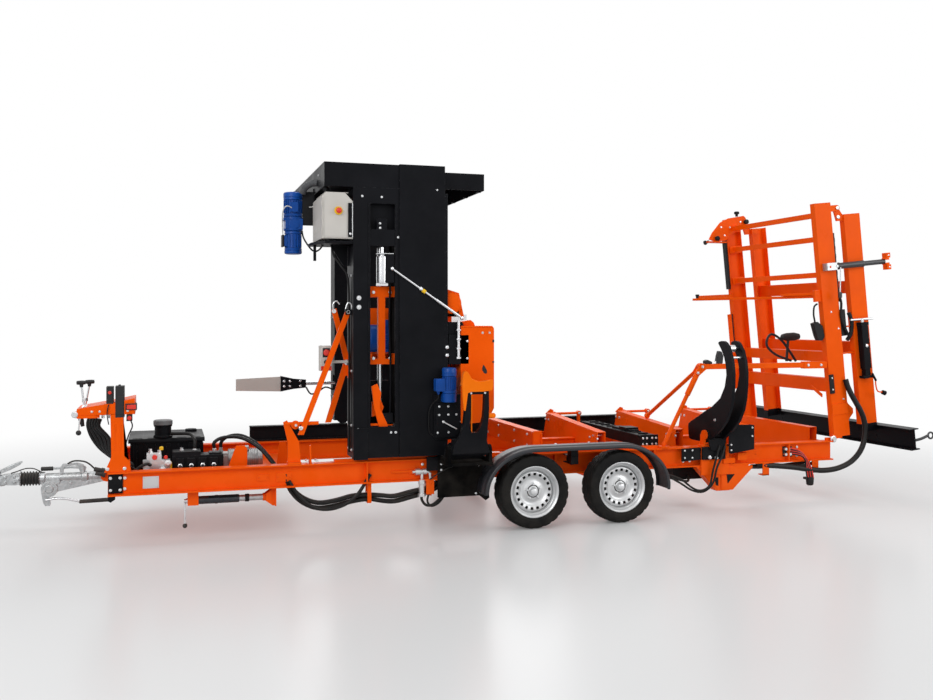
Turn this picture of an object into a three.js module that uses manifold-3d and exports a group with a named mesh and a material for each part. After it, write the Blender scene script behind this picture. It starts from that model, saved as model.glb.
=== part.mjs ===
// Mobile horizontal band sawmill on a two-axle trailer, folded for the road.
// Millimetres, +Z up. X runs from the coupling to the rear, Y from the loading side to the far side.
// The origin is on the ground in the middle of the machine.

import * as THREE from 'three';
import { mergeVertices } from 'three/addons/utils/BufferGeometryUtils.js';
import Module from 'manifold-3d';

const wasm = await Module();
wasm.setup();

// Driving dimensions: fits
const clear = 0.3;
const overrun = 5;
const runningGap = 0.5;

// Driving dimensions: road wheels and axles
const tyreDiameter = 560;
const tyreWidth = 180;
const tyreCrownWidth = 132;
const tyreShoulderDrop = 18;
const tyreFlankDrop = 74;
const rimLipDiameter = 390;
const rimSeatDiameter = 356;
const rimWidth = 160;
const rimLipThickness = 8;
const rimWall = 6;
const rimDiscDish = 16;
const rimDiscThickness = 8;
const rimDiscSetback = 30;
const hubDiameter = 130;
const hubLength = 84;
const hubCapDiameter = 56;
const hubCapStand = 12;
const hubBoreDepth = 60;
const stubDiameter = 40;
const tyreBeamGap = 77;
const frontAxleX = 180;
const axleSpacing = 725;
const axleTubeSize = 90;
const axleArmLength = 150;
const axleArmThickness = 14;
const axleArmTyreGap = 12;

// Driving dimensions: long beams of the trailer
const beamTop = 530;
const beamHeight = 165;
const beamFlangeWidth = 90;
const beamFlangeThickness = 11;
const beamWebThickness = 8;
const beamFrontX = -2850;
const beamLength = 5895;
const nearBeamY = -755;
const farBeamY = 620;

// Driving dimensions: cross members and log bunks
const crossWall = 8;
const crossWidth = 80;
const crossBottomRise = 30;
const bunkWidth = 78;
const bunkFarHeight = 185;
const bunkNearHeight = 125;
const bunkEndInset = 125;
const bunkFirstX = 905;
const bunkSecondX = 1625;
const bunkThirdX = 2320;
const bunkRearHeight = 100;

// Driving dimensions: gantry rails
const nearRailWidth = 40;
const nearRailHeight = 20;
const nearRailFrontX = -1290;
const nearRailLength = 2650;
const farRailHeight = 130;
const farRailWidth = 76;
const farRailWall = 8;
const farRailFlange = 12;
const farRailOffset = 66;
const farRailFrontX = -1780;
const farRailLength = 3500;

// Driving dimensions: mudguards
const fenderReach = 412;
const fenderRise = 340;
const fenderSkin = 6;
const fenderWidth = 205;
const fenderTyreOverhang = 24;
const fenderRearDrop = 34;
const fenderBracketWidth = 60;
const fenderBracketHeight = 65;
const fenderBracketDrop = 5;
const fenderBracketReach = 84;

// Driving dimensions: drawbar, coupling and its levers
const drawbarPivotX = -2898;
const drawbarPivotZ = 396;
const drawbarTubeDiameter = 66;
const drawbarTubeLength = 462;
const drawbarLugThickness = 12;
const drawbarLugReach = 70;
const drawbarEyeDiameter = 84;
const toothedDiscDiameter = 120;
const toothedDiscWidth = 74;
const toothedDiscSetback = 400;
const toothedDiscDrop = 82;
const adjusterArmHeight = 62;
const adjusterArmWidth = 54;
const bellowsDiameter = 110;
const bellowsLength = 142;
const bellowsRings = 5;
const bellowsRingDepth = 12;
const couplingHeadLength = 182;
const couplingHeadWidth = 88;
const couplingHeadHeight = 84;
const couplingBallDiameter = 50;
const couplingHandleLength = 158;
const couplingHandleRise = 62;
const couplingHandleWidth = 46;
const couplingHandleThickness = 14;
const brakeLeverLength = 210;
const brakeLeverWidth = 26;
const brakeLeverThickness = 16;
const brakeLeverGripLength = 78;
const brakeLeverGripDiameter = 36;
const brakePivotSetback = 170;
const brakePivotRise = 26;

// Driving dimensions: front support leg under the near beam
const legPivotX = -2286;
const legTubeDiameter = 58;
const legInnerDiameter = 46;
const legOuterLength = 320;
const legInnerLength = 190;
const legDrop = 72;
const legFootWidth = 124;
const legFootThickness = 22;
const legFootFlare = 46;
const legClampLength = 74;
const legClampWall = 12;
const legBeamInset = 60;
const crankArmLength = 176;
const crankRodDiameter = 14;
const crankBallDiameter = 36;
const crankHubDiameter = 34;
const crankHubLength = 32;

// Driving dimensions: control console at the front end
const consoleSetback = 18;
const consoleColumnDepth = 92;
const consoleColumnWidth = 72;
const consoleColumnHeight = 396;
const consoleFootLength = 152;
const consoleFootHeight = 66;
const consolePanelLength = 372;
const consolePanelWidth = 330;
const consolePanelFrontHeight = 46;
const consolePanelRearHeight = 112;
const consolePanelOverhang = 214;
const consoleSwitchLength = 66;
const consoleSwitchWidth = 110;
const consoleSwitchHeight = 150;
const leverSpacing = 84;
const leverLength = 172;
const leverDiameter = 14;
const leverGripLength = 66;
const leverGripDiameter = 30;
const leverHubDiameter = 34;
const leverInset = 42;
const leverPocketGap = 3;

// Driving dimensions: hydraulic power pack
const trayLength = 1230;
const trayThickness = 8;
const trayRise = 60;
const trayLip = 34;
const tankInset = 40;
const tankLength = 545;
const tankWidth = 600;
const tankHeight = 262;
const tankLidHeight = 30;
const tankLidInset = 14;
const tankY = 0;
const filterDiameter = 122;
const filterHeight = 132;
const filterCapDiameter = 138;
const filterCapHeight = 34;
const filterSideInset = 70;
const filterFrontShare = 0.45;
const pumpSpacing = 60;
const pumpMotorDiameter = 150;
const pumpMotorLength = 250;
const pumpBlockLength = 110;
const pumpBlockSize = 120;
const pumpFootHeight = 26;
const pumpPortDiameter = 30;
const pumpPortHeight = 40;
const pumpY = -330;

// Driving dimensions: gantry frame
const gantryX = -822;
const columnDepth = 345;
const columnNearY = -860;
const columnWidth = 240;
const columnWall = 8;
const columnBottomGap = 12;
const columnTop = 2545;
const columnFootHeight = 228;
const slotFrontInset = 127;
const slotRearInset = 34;
const slotTop = 2120;
const windowBottom = 2240;
const windowTop = 2430;
const coverDepth = 348;
const coverStandOut = 10;
const coverRise = 180;
const coverSheet = 5;
const farTowerFrontX = -228;
const farTowerDepth = 500;
const farTowerWidth = 196;
const farTowerSheet = 6;
const farTowerRailGap = 30;
const farTowerSideGap = 22;
const headerOverhang = 211;
const headerHeight = 175;
const headerSheet = 6;
const canopyLength = 742;
const canopyWidth = 1080;
const canopyHeight = 130;
const rollerDiameter = 110;
const rollerWidth = 56;
const rollerInset = 76;

// Driving dimensions: cabinet and drives on the gantry
const cabinetWidth = 228;
const cabinetDepth = 430;
const cabinetHeight = 336;
const cabinetTopDrop = 44;
const cabinetBevel = 62;
const cabinetSheet = 6;
const doorThickness = 16;
const doorMargin = 4;
const stopPlateDiameter = 62;
const stopPlateThickness = 6;
const stopStemDiameter = 24;
const stopStemLength = 12;
const stopHeadDiameter = 42;
const stopHeadLength = 18;
const stopHeightShare = 0.6;
const stopAcrossShare = 0.52;
const liftMotorDiameter = 148;
const liftMotorHeight = 190;
const liftGearSize = 150;
const liftGearHeight = 110;
const liftLowerDiameter = 132;
const liftLowerHeight = 176;
const liftBracketThickness = 16;
const liftMotorReach = 232;
const liftMotorTopDrop = 6;
const liftMotorY = -330;
const travelMotorDiameter = 108;
const travelMotorHeight = 206;
const travelMotorBottom = 1016;
const travelGearHeight = 52;
const travelMotorOverhang = 12;
const travelPlateWidth = 206;
const travelPlateHeight = 336;
const travelPlateThickness = 16;
const travelBoxSize = 62;
const travelBoxDepth = 52;

// Driving dimensions: transport brace between gantry and trailer
const braceTopZ = 1633;
const braceBottomZ = 742;
const braceReach = 344;
const braceWidth = 40;
const braceThickness = 12;
const braceFaceGap = 26;
const bracePinDiameter = 22;
const dogLength = 128;
const dogHeight = 318;
const dogThickness = 14;
const dogFootLength = 96;
const dogGap = 60;
const dogRodDiameter = 26;
const dogBraceGap = 8;

// Driving dimensions: saw head
const bandWheelDiameter = 520;
const bandWheelWidth = 50;
const bandWheelRim = 22;
const bandWheelDisc = 14;
const bandWheelHubDiameter = 96;
const bandShaftDiameter = 50;
const bladeThickness = 2;
const bladeWidth = 35;
const bandWheelAxleZ = 1215;
const bandWheelNearY = -600;
const bandWheelFarY = 600;
const bandWheelX = 642;
const guardSheet = 4;
const guardX = 532;
const guardDepth = 270;
const guardAir = 34;
const guardSideAir = 6;
const guardBevel = 120;
const guardShaftHole = 90;
const headBeamX = 382;
const headBeamDepth = 100;
const headBeamBottom = 1560;
const headBeamHeight = 120;
const headBeamHalf = 590;
const bearingPlateThickness = 22;
const bearingPlateWidth = 150;
const bearingPlateDrop = 80;
const bearingHousingDiameter = 110;
const bearingHousingLength = 90;
const slotFrameWidth = 155;
const slotFramePost = 53;
const slotFrameInset = 193;
const slotFrameTop = 1824;
const slotFrameBottom = 1245;
const slotBarHeight = 79;
const slotFrameY = -780;
const slotFrameDepth = 40;
const sideArmInner = -560;
const sideArmThickness = 40;
const sideArmHeight = 75;
const motorPlateThickness = 20;
const motorPlateLength = 480;
const motorPlateHeight = 340;
const mainMotorDiameter = 236;
const mainMotorLength = 330;
const mainMotorFootHeight = 22;
const mainMotorZ = 1416;
const mainMotorBoxSize = 110;
const mainMotorBoxHeight = 46;
const mainMotorShaftDiameter = 42;
const mainMotorShaftLength = 70;
const guideArmThickness = 26;
const guideArmWidth = 60;
const guideRollerDiameter = 54;
const guideBladeGap = 2;
const guideBladeAir = 8;
const guideY = -300;

// Driving dimensions: front log loader on the near beam
const frontLoaderX = -338;
const frontLoaderArmSpacing = 240;
const frontLoaderArmThickness = 52;
const frontLoaderPivotY = -1028;
const frontLoaderPivotZ = 612;
const frontLoaderArmRise = 560;
const frontLoaderArmLean = 96;
const frontLoaderArmWidth = 84;
const frontLoaderArmTip = 46;
const frontLoaderBendShare = 0.4;
const frontLoaderTieHeight = 72;
const frontLoaderTieThickness = 16;
const frontLoaderTieDrop = 40;
const loaderPinDiameter = 40;
const frontBracketLength = 352;
const frontBracketDrop = 128;
const frontBracketThickness = 22;
const frontBracketShelf = 26;
const frontBracketShelfDrop = 60;

// Driving dimensions: rear log loader with horns
const rearLoaderX = 1868;
const hornSpacing = 140;
const hornThickness = 34;
const hornPivotY = -806;
const hornPivotZ = 628;
const hornRise = 780;
const hornReach = 262;
const hornBaseInset = 150;
const hornTieThickness = 34;
const hornTieHeight = 85;
const hornEarDiameter = 80;
const hornOuterShares = [[0.57, -0.05], [-0.1, -0.04], [-0.62, 0.12], [-0.96, 0.42], [-1.1, 0.74], [-1, 1]];
const hornInnerShares = [[-0.86, 1], [-0.86, 0.78], [-0.66, 0.5], [-0.3, 0.3], [0.1, 0.22], [0.57, 0.18]];
const rearBracketLength = 260;
const rearBracketDrop = 70;
const rearBracketThickness = 16;
const rearBracketEarThickness = 18;
const outriggerLength = 512;
const outriggerDrop = 208;
const outriggerWidth = 88;
const outriggerFootLength = 120;

// Driving dimensions: prop that the folded bed extension leans on
const propFootX = 1417;
const propApexX = 1765;
const propApexZ = 1188;
const propY = -758;
const propTubeDiameter = 34;
const propBarHeight = 44;
const propBarWidth = 40;
const propEyeDiameter = 60;
const propSecondFootY = -20;
const propPadDiameter = 110;
const propPadThickness = 14;
const propFootBall = 56;

// Driving dimensions: folding bed extension
const hingeBehindBeam = 10;
const hingeAboveBeam = 12;
const hingePinDiameter = 16;
const hingeEyeWall = 5;
const hingeEarThickness = 16;
const hingeEarDiameter = 54;
const foldLean = 5.8;
const postDepth = 165;
const postWidth = 60;
const postWall = 8;
const firstStageLength = 2046;
const postFoot = 14;
const stageGap = 128;
const secondStageLength = 1914;
const stageEndGap = 4;
const rungHeight = 46;
const rungDepth = 46;
const rungTopAt = 1925;
const rungSecondAt = 1716;
const rungThirdAt = 1404;
const rungLowAt = 660;
const rungBaseAt = 396;
const rungBaseHeight = 120;
const secondRungAt = 700;
const secondRungHighAt = 1240;
const secondRungHeight = 110;
const stopBarLength = 620;
const stopBarSize = 34;
const stopBarAt = 1265;
const endRailHeight = 180;
const endRailFlange = 88;
const endRailWall = 9;
const endRailHalfLength = 1210;
const endRailRise = 50;
const endRailOverlap = 30;

// Driving dimensions: support leg and jack carried by the extension
const extensionLegAt = 1490;
const extensionLegLength = 606;
const extensionLegDiameter = 44;
const extensionLegBoxSize = 62;
const extensionLegBoxLength = 130;
const extensionFootWidth = 170;
const extensionFootThickness = 14;
const extensionFootHole = 40;
const jackAt = 780;
const jackTubeSize = 66;
const jackTubeLength = 430;
const jackInnerSize = 50;
const jackInnerLength = 60;
const jackHandleLength = 240;
const jackHandleDiameter = 18;
const jackPlateSize = 110;

// Driving dimensions: hoses slung under the near beam
const hoseBundleDiameter = 64;
const hoseStrapWidth = 30;
const hoseStrapWall = 6;
const hoseStrapGap = 2;
const hoseSteps = 24;

// Counts of facets
const roundSides = 12;
const smallSides = 8;
const wheelSides = 20;
const bandSides = 28;
const archSteps = 7;
const hornSteps = 3;

// Derived places
const beamBottom = beamTop - beamHeight;
const beamRearX = beamFrontX + beamLength;
const beamHalfFlange = beamFlangeWidth / 2;
const nearOuterY = nearBeamY - beamHalfFlange;
const nearInnerY = nearBeamY + beamHalfFlange;
const farInnerY = farBeamY - beamHalfFlange;
const farOuterY = farBeamY + beamHalfFlange;
const wheelTrack = (Math.max(-nearOuterY, farOuterY) + tyreBeamGap) * 2 + tyreWidth;
const wheelZ = tyreDiameter / 2;
const rearAxleX = frontAxleX + axleSpacing;
const nearRailTop = beamTop + nearRailHeight;
const farRailTop = beamTop + clear + farRailHeight;
const farRailY = farBeamY + farRailOffset;

// Materials
function paint(color, roughness, metalness) {
  return new THREE.MeshStandardMaterial({ color, roughness, metalness });
}
const orangePaint = () => paint(0xf4580f, 0.42, 0.1);
const blackPaint = () => paint(0x17181c, 0.45, 0.2);
const zincSteel = () => paint(0xb4b9bd, 0.42, 0.85);
const brightSteel = () => paint(0xc9ccd0, 0.3, 0.9);
const blueMotor = () => paint(0x0b4fa8, 0.4, 0.3);
const greyEnamel = () => paint(0xc9cbca, 0.5, 0.05);
const blackRubber = () => paint(0x141414, 0.85, 0);
const blackPlastic = () => paint(0x1b1c1e, 0.55, 0);
const redPlastic = () => paint(0xd02818, 0.4, 0);
const rimSilver = () => paint(0xc2c5c8, 0.35, 0.75);

// Solids from three.js geometry
function solid(geometry) {
  geometry.deleteAttribute('normal');
  geometry.deleteAttribute('uv');
  const merged = mergeVertices(geometry, clear * 0.001);
  const vertProperties = new Float32Array(merged.attributes.position.array);
  const triVerts = new Uint32Array(merged.index.array);
  return new wasm.Manifold(new wasm.Mesh({ numProp: 3, vertProperties, triVerts }));
}

function block(x0, x1, y0, y1, z0, z1) {
  const geometry = new THREE.BoxGeometry(x1 - x0, y1 - y0, z1 - z0);
  geometry.translate((x0 + x1) / 2, (y0 + y1) / 2, (z0 + z1) / 2);
  return solid(geometry);
}

// A prism whose outline lies in the plane across one axis: y and z for 'x', x and z for 'y', x and y for 'z'
function prism(axis, points, from, to) {
  const options = { depth: to - from, bevelEnabled: false };
  const shape = new THREE.Shape(points.map(([a, b]) => new THREE.Vector2(a, b)));
  const geometry = new THREE.ExtrudeGeometry(shape, options);
  const placing = {
    x: new THREE.Matrix4().set(0, 0, 1, from, 1, 0, 0, 0, 0, 1, 0, 0, 0, 0, 0, 1),
    y: new THREE.Matrix4().set(1, 0, 0, 0, 0, 0, -1, to, 0, 1, 0, 0, 0, 0, 0, 1),
    z: new THREE.Matrix4().set(1, 0, 0, 0, 0, 1, 0, 0, 0, 0, 1, from, 0, 0, 0, 1),
  };
  return solid(geometry.applyMatrix4(placing[axis]));
}

// A round bar along one axis; its centre line is given by its other two coordinates in X, Y, Z order
function bar(axis, a, b, from, to, diameter, sides = roundSides) {
  const geometry = new THREE.CylinderGeometry(diameter / 2, diameter / 2, to - from, sides);
  const middle = (from + to) / 2;
  if (axis === 'x') geometry.rotateZ(-Math.PI / 2).translate(middle, a, b);
  if (axis === 'y') geometry.translate(a, middle, b);
  if (axis === 'z') geometry.rotateX(Math.PI / 2).translate(a, b, middle);
  return solid(geometry);
}

// The hole for a round bar; its flats clear the bar all round
function bore(axis, a, b, from, to, diameter, sides = roundSides) {
  const across = (diameter + runningGap * 2) / Math.cos(Math.PI / sides);
  return bar(axis, a, b, from, to, across, sides);
}

function ball(x, y, z, diameter, sides = smallSides) {
  const geometry = new THREE.SphereGeometry(diameter / 2, sides, sides / 2);
  return solid(geometry.translate(x, y, z));
}

// A round bar between any two points
function strut(start, end, diameter, sides = smallSides) {
  const from = new THREE.Vector3(...start);
  const to = new THREE.Vector3(...end);
  const along = to.clone().sub(from);
  const geometry = new THREE.CylinderGeometry(diameter / 2, diameter / 2, along.length(), sides);
  const turn = new THREE.Quaternion().setFromUnitVectors(
    new THREE.Vector3(0, 1, 0),
    along.clone().normalize(),
  );
  geometry.applyQuaternion(turn);
  const middle = from.add(to).multiplyScalar(0.5);
  return solid(geometry.translate(middle.x, middle.y, middle.z));
}

function join(...pieces) {
  return pieces.reduce((whole, piece) => whole.add(piece));
}

function piece(name, shape, material) {
  const mesh = shape.getMesh();
  const geometry = new THREE.BufferGeometry();
  geometry.setAttribute('position', new THREE.BufferAttribute(mesh.vertProperties, 3));
  geometry.setIndex(new THREE.BufferAttribute(mesh.triVerts, 1));
  geometry.computeVertexNormals();
  const made = new THREE.Mesh(geometry, material);
  made.name = name;
  return made;
}

function at(x, y, z) {
  const group = new THREE.Group();
  group.position.set(x, y, z);
  return group;
}

const sawmill = new THREE.Group();

// Long beams: rolled I sections with the gantry's near rail welded on the near one
function iSection(y, top, height, width, flange, web) {
  const half = width / 2;
  const halfWeb = web / 2;
  const bottom = top - height;
  return [
    [y - half, bottom],
    [y + half, bottom],
    [y + half, bottom + flange],
    [y + halfWeb, bottom + flange],
    [y + halfWeb, top - flange],
    [y + half, top - flange],
    [y + half, top],
    [y - half, top],
    [y - half, top - flange],
    [y - halfWeb, top - flange],
    [y - halfWeb, bottom + flange],
    [y - half, bottom + flange],
  ];
}

function longBeam(y) {
  const section = iSection(y, beamTop, beamHeight, beamFlangeWidth, beamFlangeThickness, beamWebThickness);
  return prism('x', section, beamFrontX, beamRearX);
}

const nearRail = block(
  nearRailFrontX,
  nearRailFrontX + nearRailLength,
  nearBeamY - nearRailWidth / 2,
  nearBeamY + nearRailWidth / 2,
  beamTop - beamFlangeThickness / 2,
  nearRailTop,
);
const nearBeamWelds = [nearRail];
const farBeamWelds = [];

// Far rail: a black I rail standing on the outer flange of the far beam
const farRailSection = iSection(
  farRailY,
  farRailTop,
  farRailHeight,
  farRailWidth,
  farRailFlange,
  farRailWall,
);
const farRail = prism('x', farRailSection, farRailFrontX, farRailFrontX + farRailLength);
sawmill.add(piece('far_rail', farRail, blackPaint()));

// Cross members: upturned channels between the beams, and the bunks that carry the log
const crossFromY = nearInnerY + clear;
const crossToY = farInnerY - clear;
const crossBottom = beamBottom + crossBottomRise;

const nearEnd = crossFromY + bunkEndInset;
const farEnd = crossToY - bunkEndInset / 2;

function bunk(x, nearHeight, farHeight) {
  const lowTop = beamTop - beamFlangeThickness;
  const side = [
    [crossFromY, crossBottom],
    [crossToY, crossBottom],
    [crossToY, lowTop],
    [farEnd, beamTop + farHeight],
    [nearEnd, beamTop + nearHeight],
    [nearEnd, lowTop],
    [crossFromY, lowTop],
  ];
  const top = [
    [nearEnd, beamTop + nearHeight - crossWall],
    [farEnd, beamTop + farHeight - crossWall],
    [farEnd, beamTop + farHeight],
    [nearEnd, beamTop + nearHeight],
  ];
  const frontSide = prism('x', side, x, x + crossWall);
  const rearSide = prism('x', side, x + bunkWidth - crossWall, x + bunkWidth);
  return join(frontSide, rearSide, prism('x', top, x, x + bunkWidth));
}

sawmill.add(piece('bunk_1', bunk(bunkFirstX, bunkNearHeight, bunkFarHeight), orangePaint()));
sawmill.add(piece('bunk_2', bunk(bunkSecondX, bunkNearHeight, bunkFarHeight), orangePaint()));
sawmill.add(piece('bunk_3', bunk(bunkThirdX, bunkNearHeight, bunkFarHeight), orangePaint()));
const rearBunkX = beamRearX - bunkWidth - crossWall;
sawmill.add(piece('rear_bunk', bunk(rearBunkX, bunkRearHeight, bunkRearHeight), orangePaint()));

// Front cross member: a box with two ears that hold the drawbar's pin
const drawbarEarGap = drawbarTubeDiameter / 2 + runningGap;
const frontMemberEnd = beamFrontX + crossWidth;
const earTip = drawbarPivotX - drawbarEyeDiameter / 2;

function drawbarEar(fromY) {
  return join(
    bar('y', drawbarPivotX, drawbarPivotZ, fromY, fromY + drawbarLugThickness, drawbarEyeDiameter),
    block(
      drawbarPivotX,
      frontMemberEnd,
      fromY,
      fromY + drawbarLugThickness,
      drawbarPivotZ - drawbarEyeDiameter / 2,
      drawbarPivotZ + drawbarEyeDiameter / 2,
    ),
  );
}

const frontMember = join(
  block(beamFrontX, beamFrontX + crossWall, crossFromY, crossToY, beamBottom, beamTop),
  block(beamFrontX, frontMemberEnd, crossFromY, crossToY, beamTop - crossWall, beamTop),
  block(beamFrontX, frontMemberEnd, crossFromY, crossToY, beamBottom, beamBottom + crossWall),
  block(
    beamFrontX,
    frontMemberEnd,
    -drawbarEarGap - drawbarLugThickness,
    drawbarEarGap + drawbarLugThickness,
    beamBottom,
    beamTop,
  ),
  drawbarEar(drawbarEarGap),
  drawbarEar(-drawbarEarGap - drawbarLugThickness),
);
const drawbarNotch = block(
  earTip - overrun,
  frontMemberEnd - crossWall,
  -drawbarEarGap,
  drawbarEarGap,
  beamBottom - overrun,
  beamTop + overrun,
);
const drawbarPin = bar(
  'y',
  drawbarPivotX,
  drawbarPivotZ,
  -drawbarEarGap - drawbarLugThickness / 2,
  drawbarEarGap + drawbarLugThickness / 2,
  bracePinDiameter,
  smallSides,
);
const frontCross = frontMember.subtract(drawbarNotch).add(drawbarPin);

// Power pack: a sheet tray welded to the front cross member, with the oil tank, return filter and pump on it
const trayX = frontMemberEnd - overrun;
const trayZ = beamBottom + trayRise;
const trayTop = trayZ + trayThickness;
const tray = join(
  block(trayX, trayX + trayLength, crossFromY, crossToY, trayZ, trayTop),
  block(trayX, trayX + trayLength, crossFromY, crossFromY + trayThickness, trayZ, trayTop + trayLip),
  block(trayX, trayX + trayLength, crossToY - trayThickness, crossToY, trayZ, trayTop + trayLip),
);
sawmill.add(piece('front_cross_member', join(frontCross, tray), orangePaint()));

const tankX = trayX + tankInset;
const tankEndX = tankX + tankLength;
const tankBottom = trayTop + clear;
const tankTop = tankBottom + tankHeight;
const tankNearY = tankY - tankWidth / 2;
const tankLid = prism('x', [
  [tankNearY, tankTop - tankLidHeight],
  [-tankNearY, tankTop - tankLidHeight],
  [-tankNearY - tankLidInset, tankTop],
  [tankNearY + tankLidInset, tankTop],
], tankX, tankEndX);
const tankBody = block(
  tankX + tankLidInset,
  tankEndX - tankLidInset,
  tankNearY + tankLidInset,
  -tankNearY - tankLidInset,
  tankBottom,
  tankTop - tankLidHeight,
);
sawmill.add(piece('oil_tank', join(tankBody, tankLid), blackPaint()));

const filterX = tankX + tankLength * filterFrontShare;
const filterY = tankNearY + filterSideInset;
const filterBottom = tankTop + clear;
const filterTop = filterBottom + filterHeight;
const returnFilter = join(
  bar('z', filterX, filterY, filterBottom, filterTop, filterDiameter),
  bar('z', filterX, filterY, filterTop - filterCapHeight, filterTop, filterCapDiameter),
);
sawmill.add(piece('return_filter', returnFilter, blackPaint()));

const pumpX = tankEndX + pumpSpacing;
const pumpBlockEnd = pumpX + pumpBlockLength;
const pumpEnd = pumpBlockEnd + pumpMotorLength;
const pumpFootTop = trayTop + clear + pumpFootHeight;
const pumpAxisZ = pumpFootTop + pumpMotorDiameter / 2 - overrun;
const pumpUnit = join(
  block(
    pumpX,
    pumpEnd - pumpFootHeight,
    pumpY - pumpBlockSize / 2,
    pumpY + pumpBlockSize / 2,
    trayTop + clear,
    pumpFootTop,
  ),
  block(
    pumpX,
    pumpBlockEnd,
    pumpY - pumpBlockSize / 2,
    pumpY + pumpBlockSize / 2,
    pumpFootTop,
    pumpFootTop + pumpBlockSize,
  ),
  bar('x', pumpY, pumpAxisZ, pumpBlockEnd - overrun, pumpEnd, pumpMotorDiameter),
  bar(
    'z',
    pumpX + pumpBlockLength / 2,
    pumpY,
    pumpFootTop + pumpBlockSize - overrun,
    pumpFootTop + pumpBlockSize + pumpPortHeight,
    pumpPortDiameter,
    smallSides,
  ),
);
sawmill.add(piece('pump_unit', pumpUnit, zincSteel()));

// Control console: a folded sheet column with a wedge-shaped panel that carries the levers
const consoleX = beamFrontX + consoleSetback;
const consoleBase = beamTop + clear;
const consolePanelBottom = consoleBase + consoleColumnHeight;
const consolePanelX = consoleX - consolePanelOverhang;
const consoleNearY = nearBeamY - consoleColumnWidth / 2;
const consoleFarY = nearBeamY + consoleColumnWidth / 2;
const consolePanelNearY = consoleNearY;
const consolePanelFarY = consolePanelNearY + consolePanelWidth;
const consolePanelEndX = consolePanelX + consolePanelLength;
const consolePanelTop = consolePanelBottom + consolePanelRearHeight;
const consoleColumn = prism('y', [
  [consoleX - consoleFootHeight / 2, consoleBase],
  [consoleX + consoleFootLength - consoleFootHeight / 2, consoleBase],
  [consoleX + consoleColumnDepth + consoleFootHeight / 2, consoleBase + consoleFootHeight],
  [consoleX + consoleColumnDepth, consolePanelBottom + overrun],
  [consoleX, consolePanelBottom + overrun],
  [consoleX + consoleFootHeight / 2, consoleBase + consoleFootHeight],
], consoleNearY, consoleFarY);
const consolePanel = prism('y', [
  [consolePanelX, consolePanelBottom],
  [consolePanelEndX, consolePanelBottom],
  [consolePanelEndX, consolePanelTop],
  [consolePanelX, consolePanelBottom + consolePanelFrontHeight],
], consolePanelNearY, consolePanelFarY);
const switchBox = block(
  consoleX + consoleColumnDepth - consoleSwitchLength,
  consoleX + consoleColumnDepth,
  consolePanelNearY,
  consolePanelNearY + consoleSwitchWidth,
  consolePanelBottom + consolePanelFrontHeight,
  consolePanelBottom + consolePanelFrontHeight + consoleSwitchHeight,
);
const leverX = consolePanelX + leverInset;
const leverZ = consolePanelBottom + consolePanelFrontHeight;
const leverPocketHalf = leverHubDiameter / 2 + leverPocketGap;

function leverPocket(y) {
  return block(
    consolePanelX - overrun,
    leverX + leverPocketHalf,
    y - leverPocketHalf,
    y + leverPocketHalf,
    leverZ - leverPocketHalf,
    consolePanelTop + overrun,
  );
}

const leverYs = [1, 2].map((count) => consolePanelNearY + leverSpacing * count);
const leverPin = bar(
  'y',
  leverX,
  leverZ,
  consolePanelNearY + leverSpacing / 2,
  leverYs[1] + leverSpacing / 2,
  leverDiameter,
);
let consoleBody = join(consoleColumn, consolePanel, switchBox);
for (const y of leverYs) consoleBody = consoleBody.subtract(leverPocket(y));
sawmill.add(piece('control_console', consoleBody.add(leverPin), orangePaint()));

leverYs.forEach((y, index) => {
  const hubFrom = -leverHubDiameter / 2;
  const hub = bar('y', 0, 0, hubFrom, leverHubDiameter / 2, leverHubDiameter);
  const stalk = bar('z', 0, 0, leverHubDiameter / 2 - overrun, leverLength, leverDiameter, smallSides);
  const grip = bar(
    'y',
    0,
    leverLength,
    -leverGripLength / 2,
    leverGripLength / 2,
    leverGripDiameter,
    smallSides,
  );
  const hole = bore('y', 0, 0, hubFrom - overrun, leverHubDiameter / 2 + overrun, leverDiameter);
  const lever = at(leverX, y, leverZ);
  lever.add(piece(`control_lever_${index + 1}`, join(hub, stalk, grip).subtract(hole), zincSteel()));
  sawmill.add(lever);
});

// Dog on the near beam that the gantry's transport brace is bolted to
const columnFrontX = gantryX - columnDepth;
const braceTopX = columnFrontX - braceFaceGap;
const braceBottomX = braceTopX - braceReach;
const dogEndX = braceBottomX - dogGap + dogLength / 2;
const dogX = dogEndX - dogLength;
const dogBase = beamTop + clear;
const dogNearY = nearBeamY - dogThickness;
const dogPlate = prism('y', [
  [dogEndX - dogFootLength, dogBase],
  [dogEndX, dogBase],
  [dogEndX - dogThickness, dogBase + dogHeight / 2],
  [dogX + dogThickness * 2, dogBase + dogHeight],
  [dogX, dogBase + dogHeight - dogThickness],
  [dogEndX - dogFootLength, dogBase + dogHeight / 2],
], dogNearY, nearBeamY);
const dogFoot = block(
  dogEndX - dogFootLength,
  dogEndX,
  nearOuterY,
  nearInnerY,
  dogBase,
  dogBase + dogThickness,
);
const dogRod = bar(
  'x',
  nearBeamY - dogThickness / 2,
  dogBase + dogHeight - dogRodDiameter,
  dogX + dogThickness,
  dogX + dogLength * 2,
  dogRodDiameter,
  smallSides,
);
sawmill.add(piece('transport_dog', join(dogPlate, dogFoot, dogRod), orangePaint()));

// Axles: a square tube under the beams with an arm and a stub at each end
const rimOuterY = -rimWidth / 2;
const discY = rimOuterY + rimDiscSetback;
const capY = discY - hubCapStand;
const hubInnerY = capY + hubLength;
const hubBoreEndY = hubInnerY - hubBoreDepth;
const stubEnd = wheelTrack / 2 - hubBoreEndY - clear;
const armInner = wheelTrack / 2 - tyreWidth / 2 - axleArmTyreGap - axleArmThickness;

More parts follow.
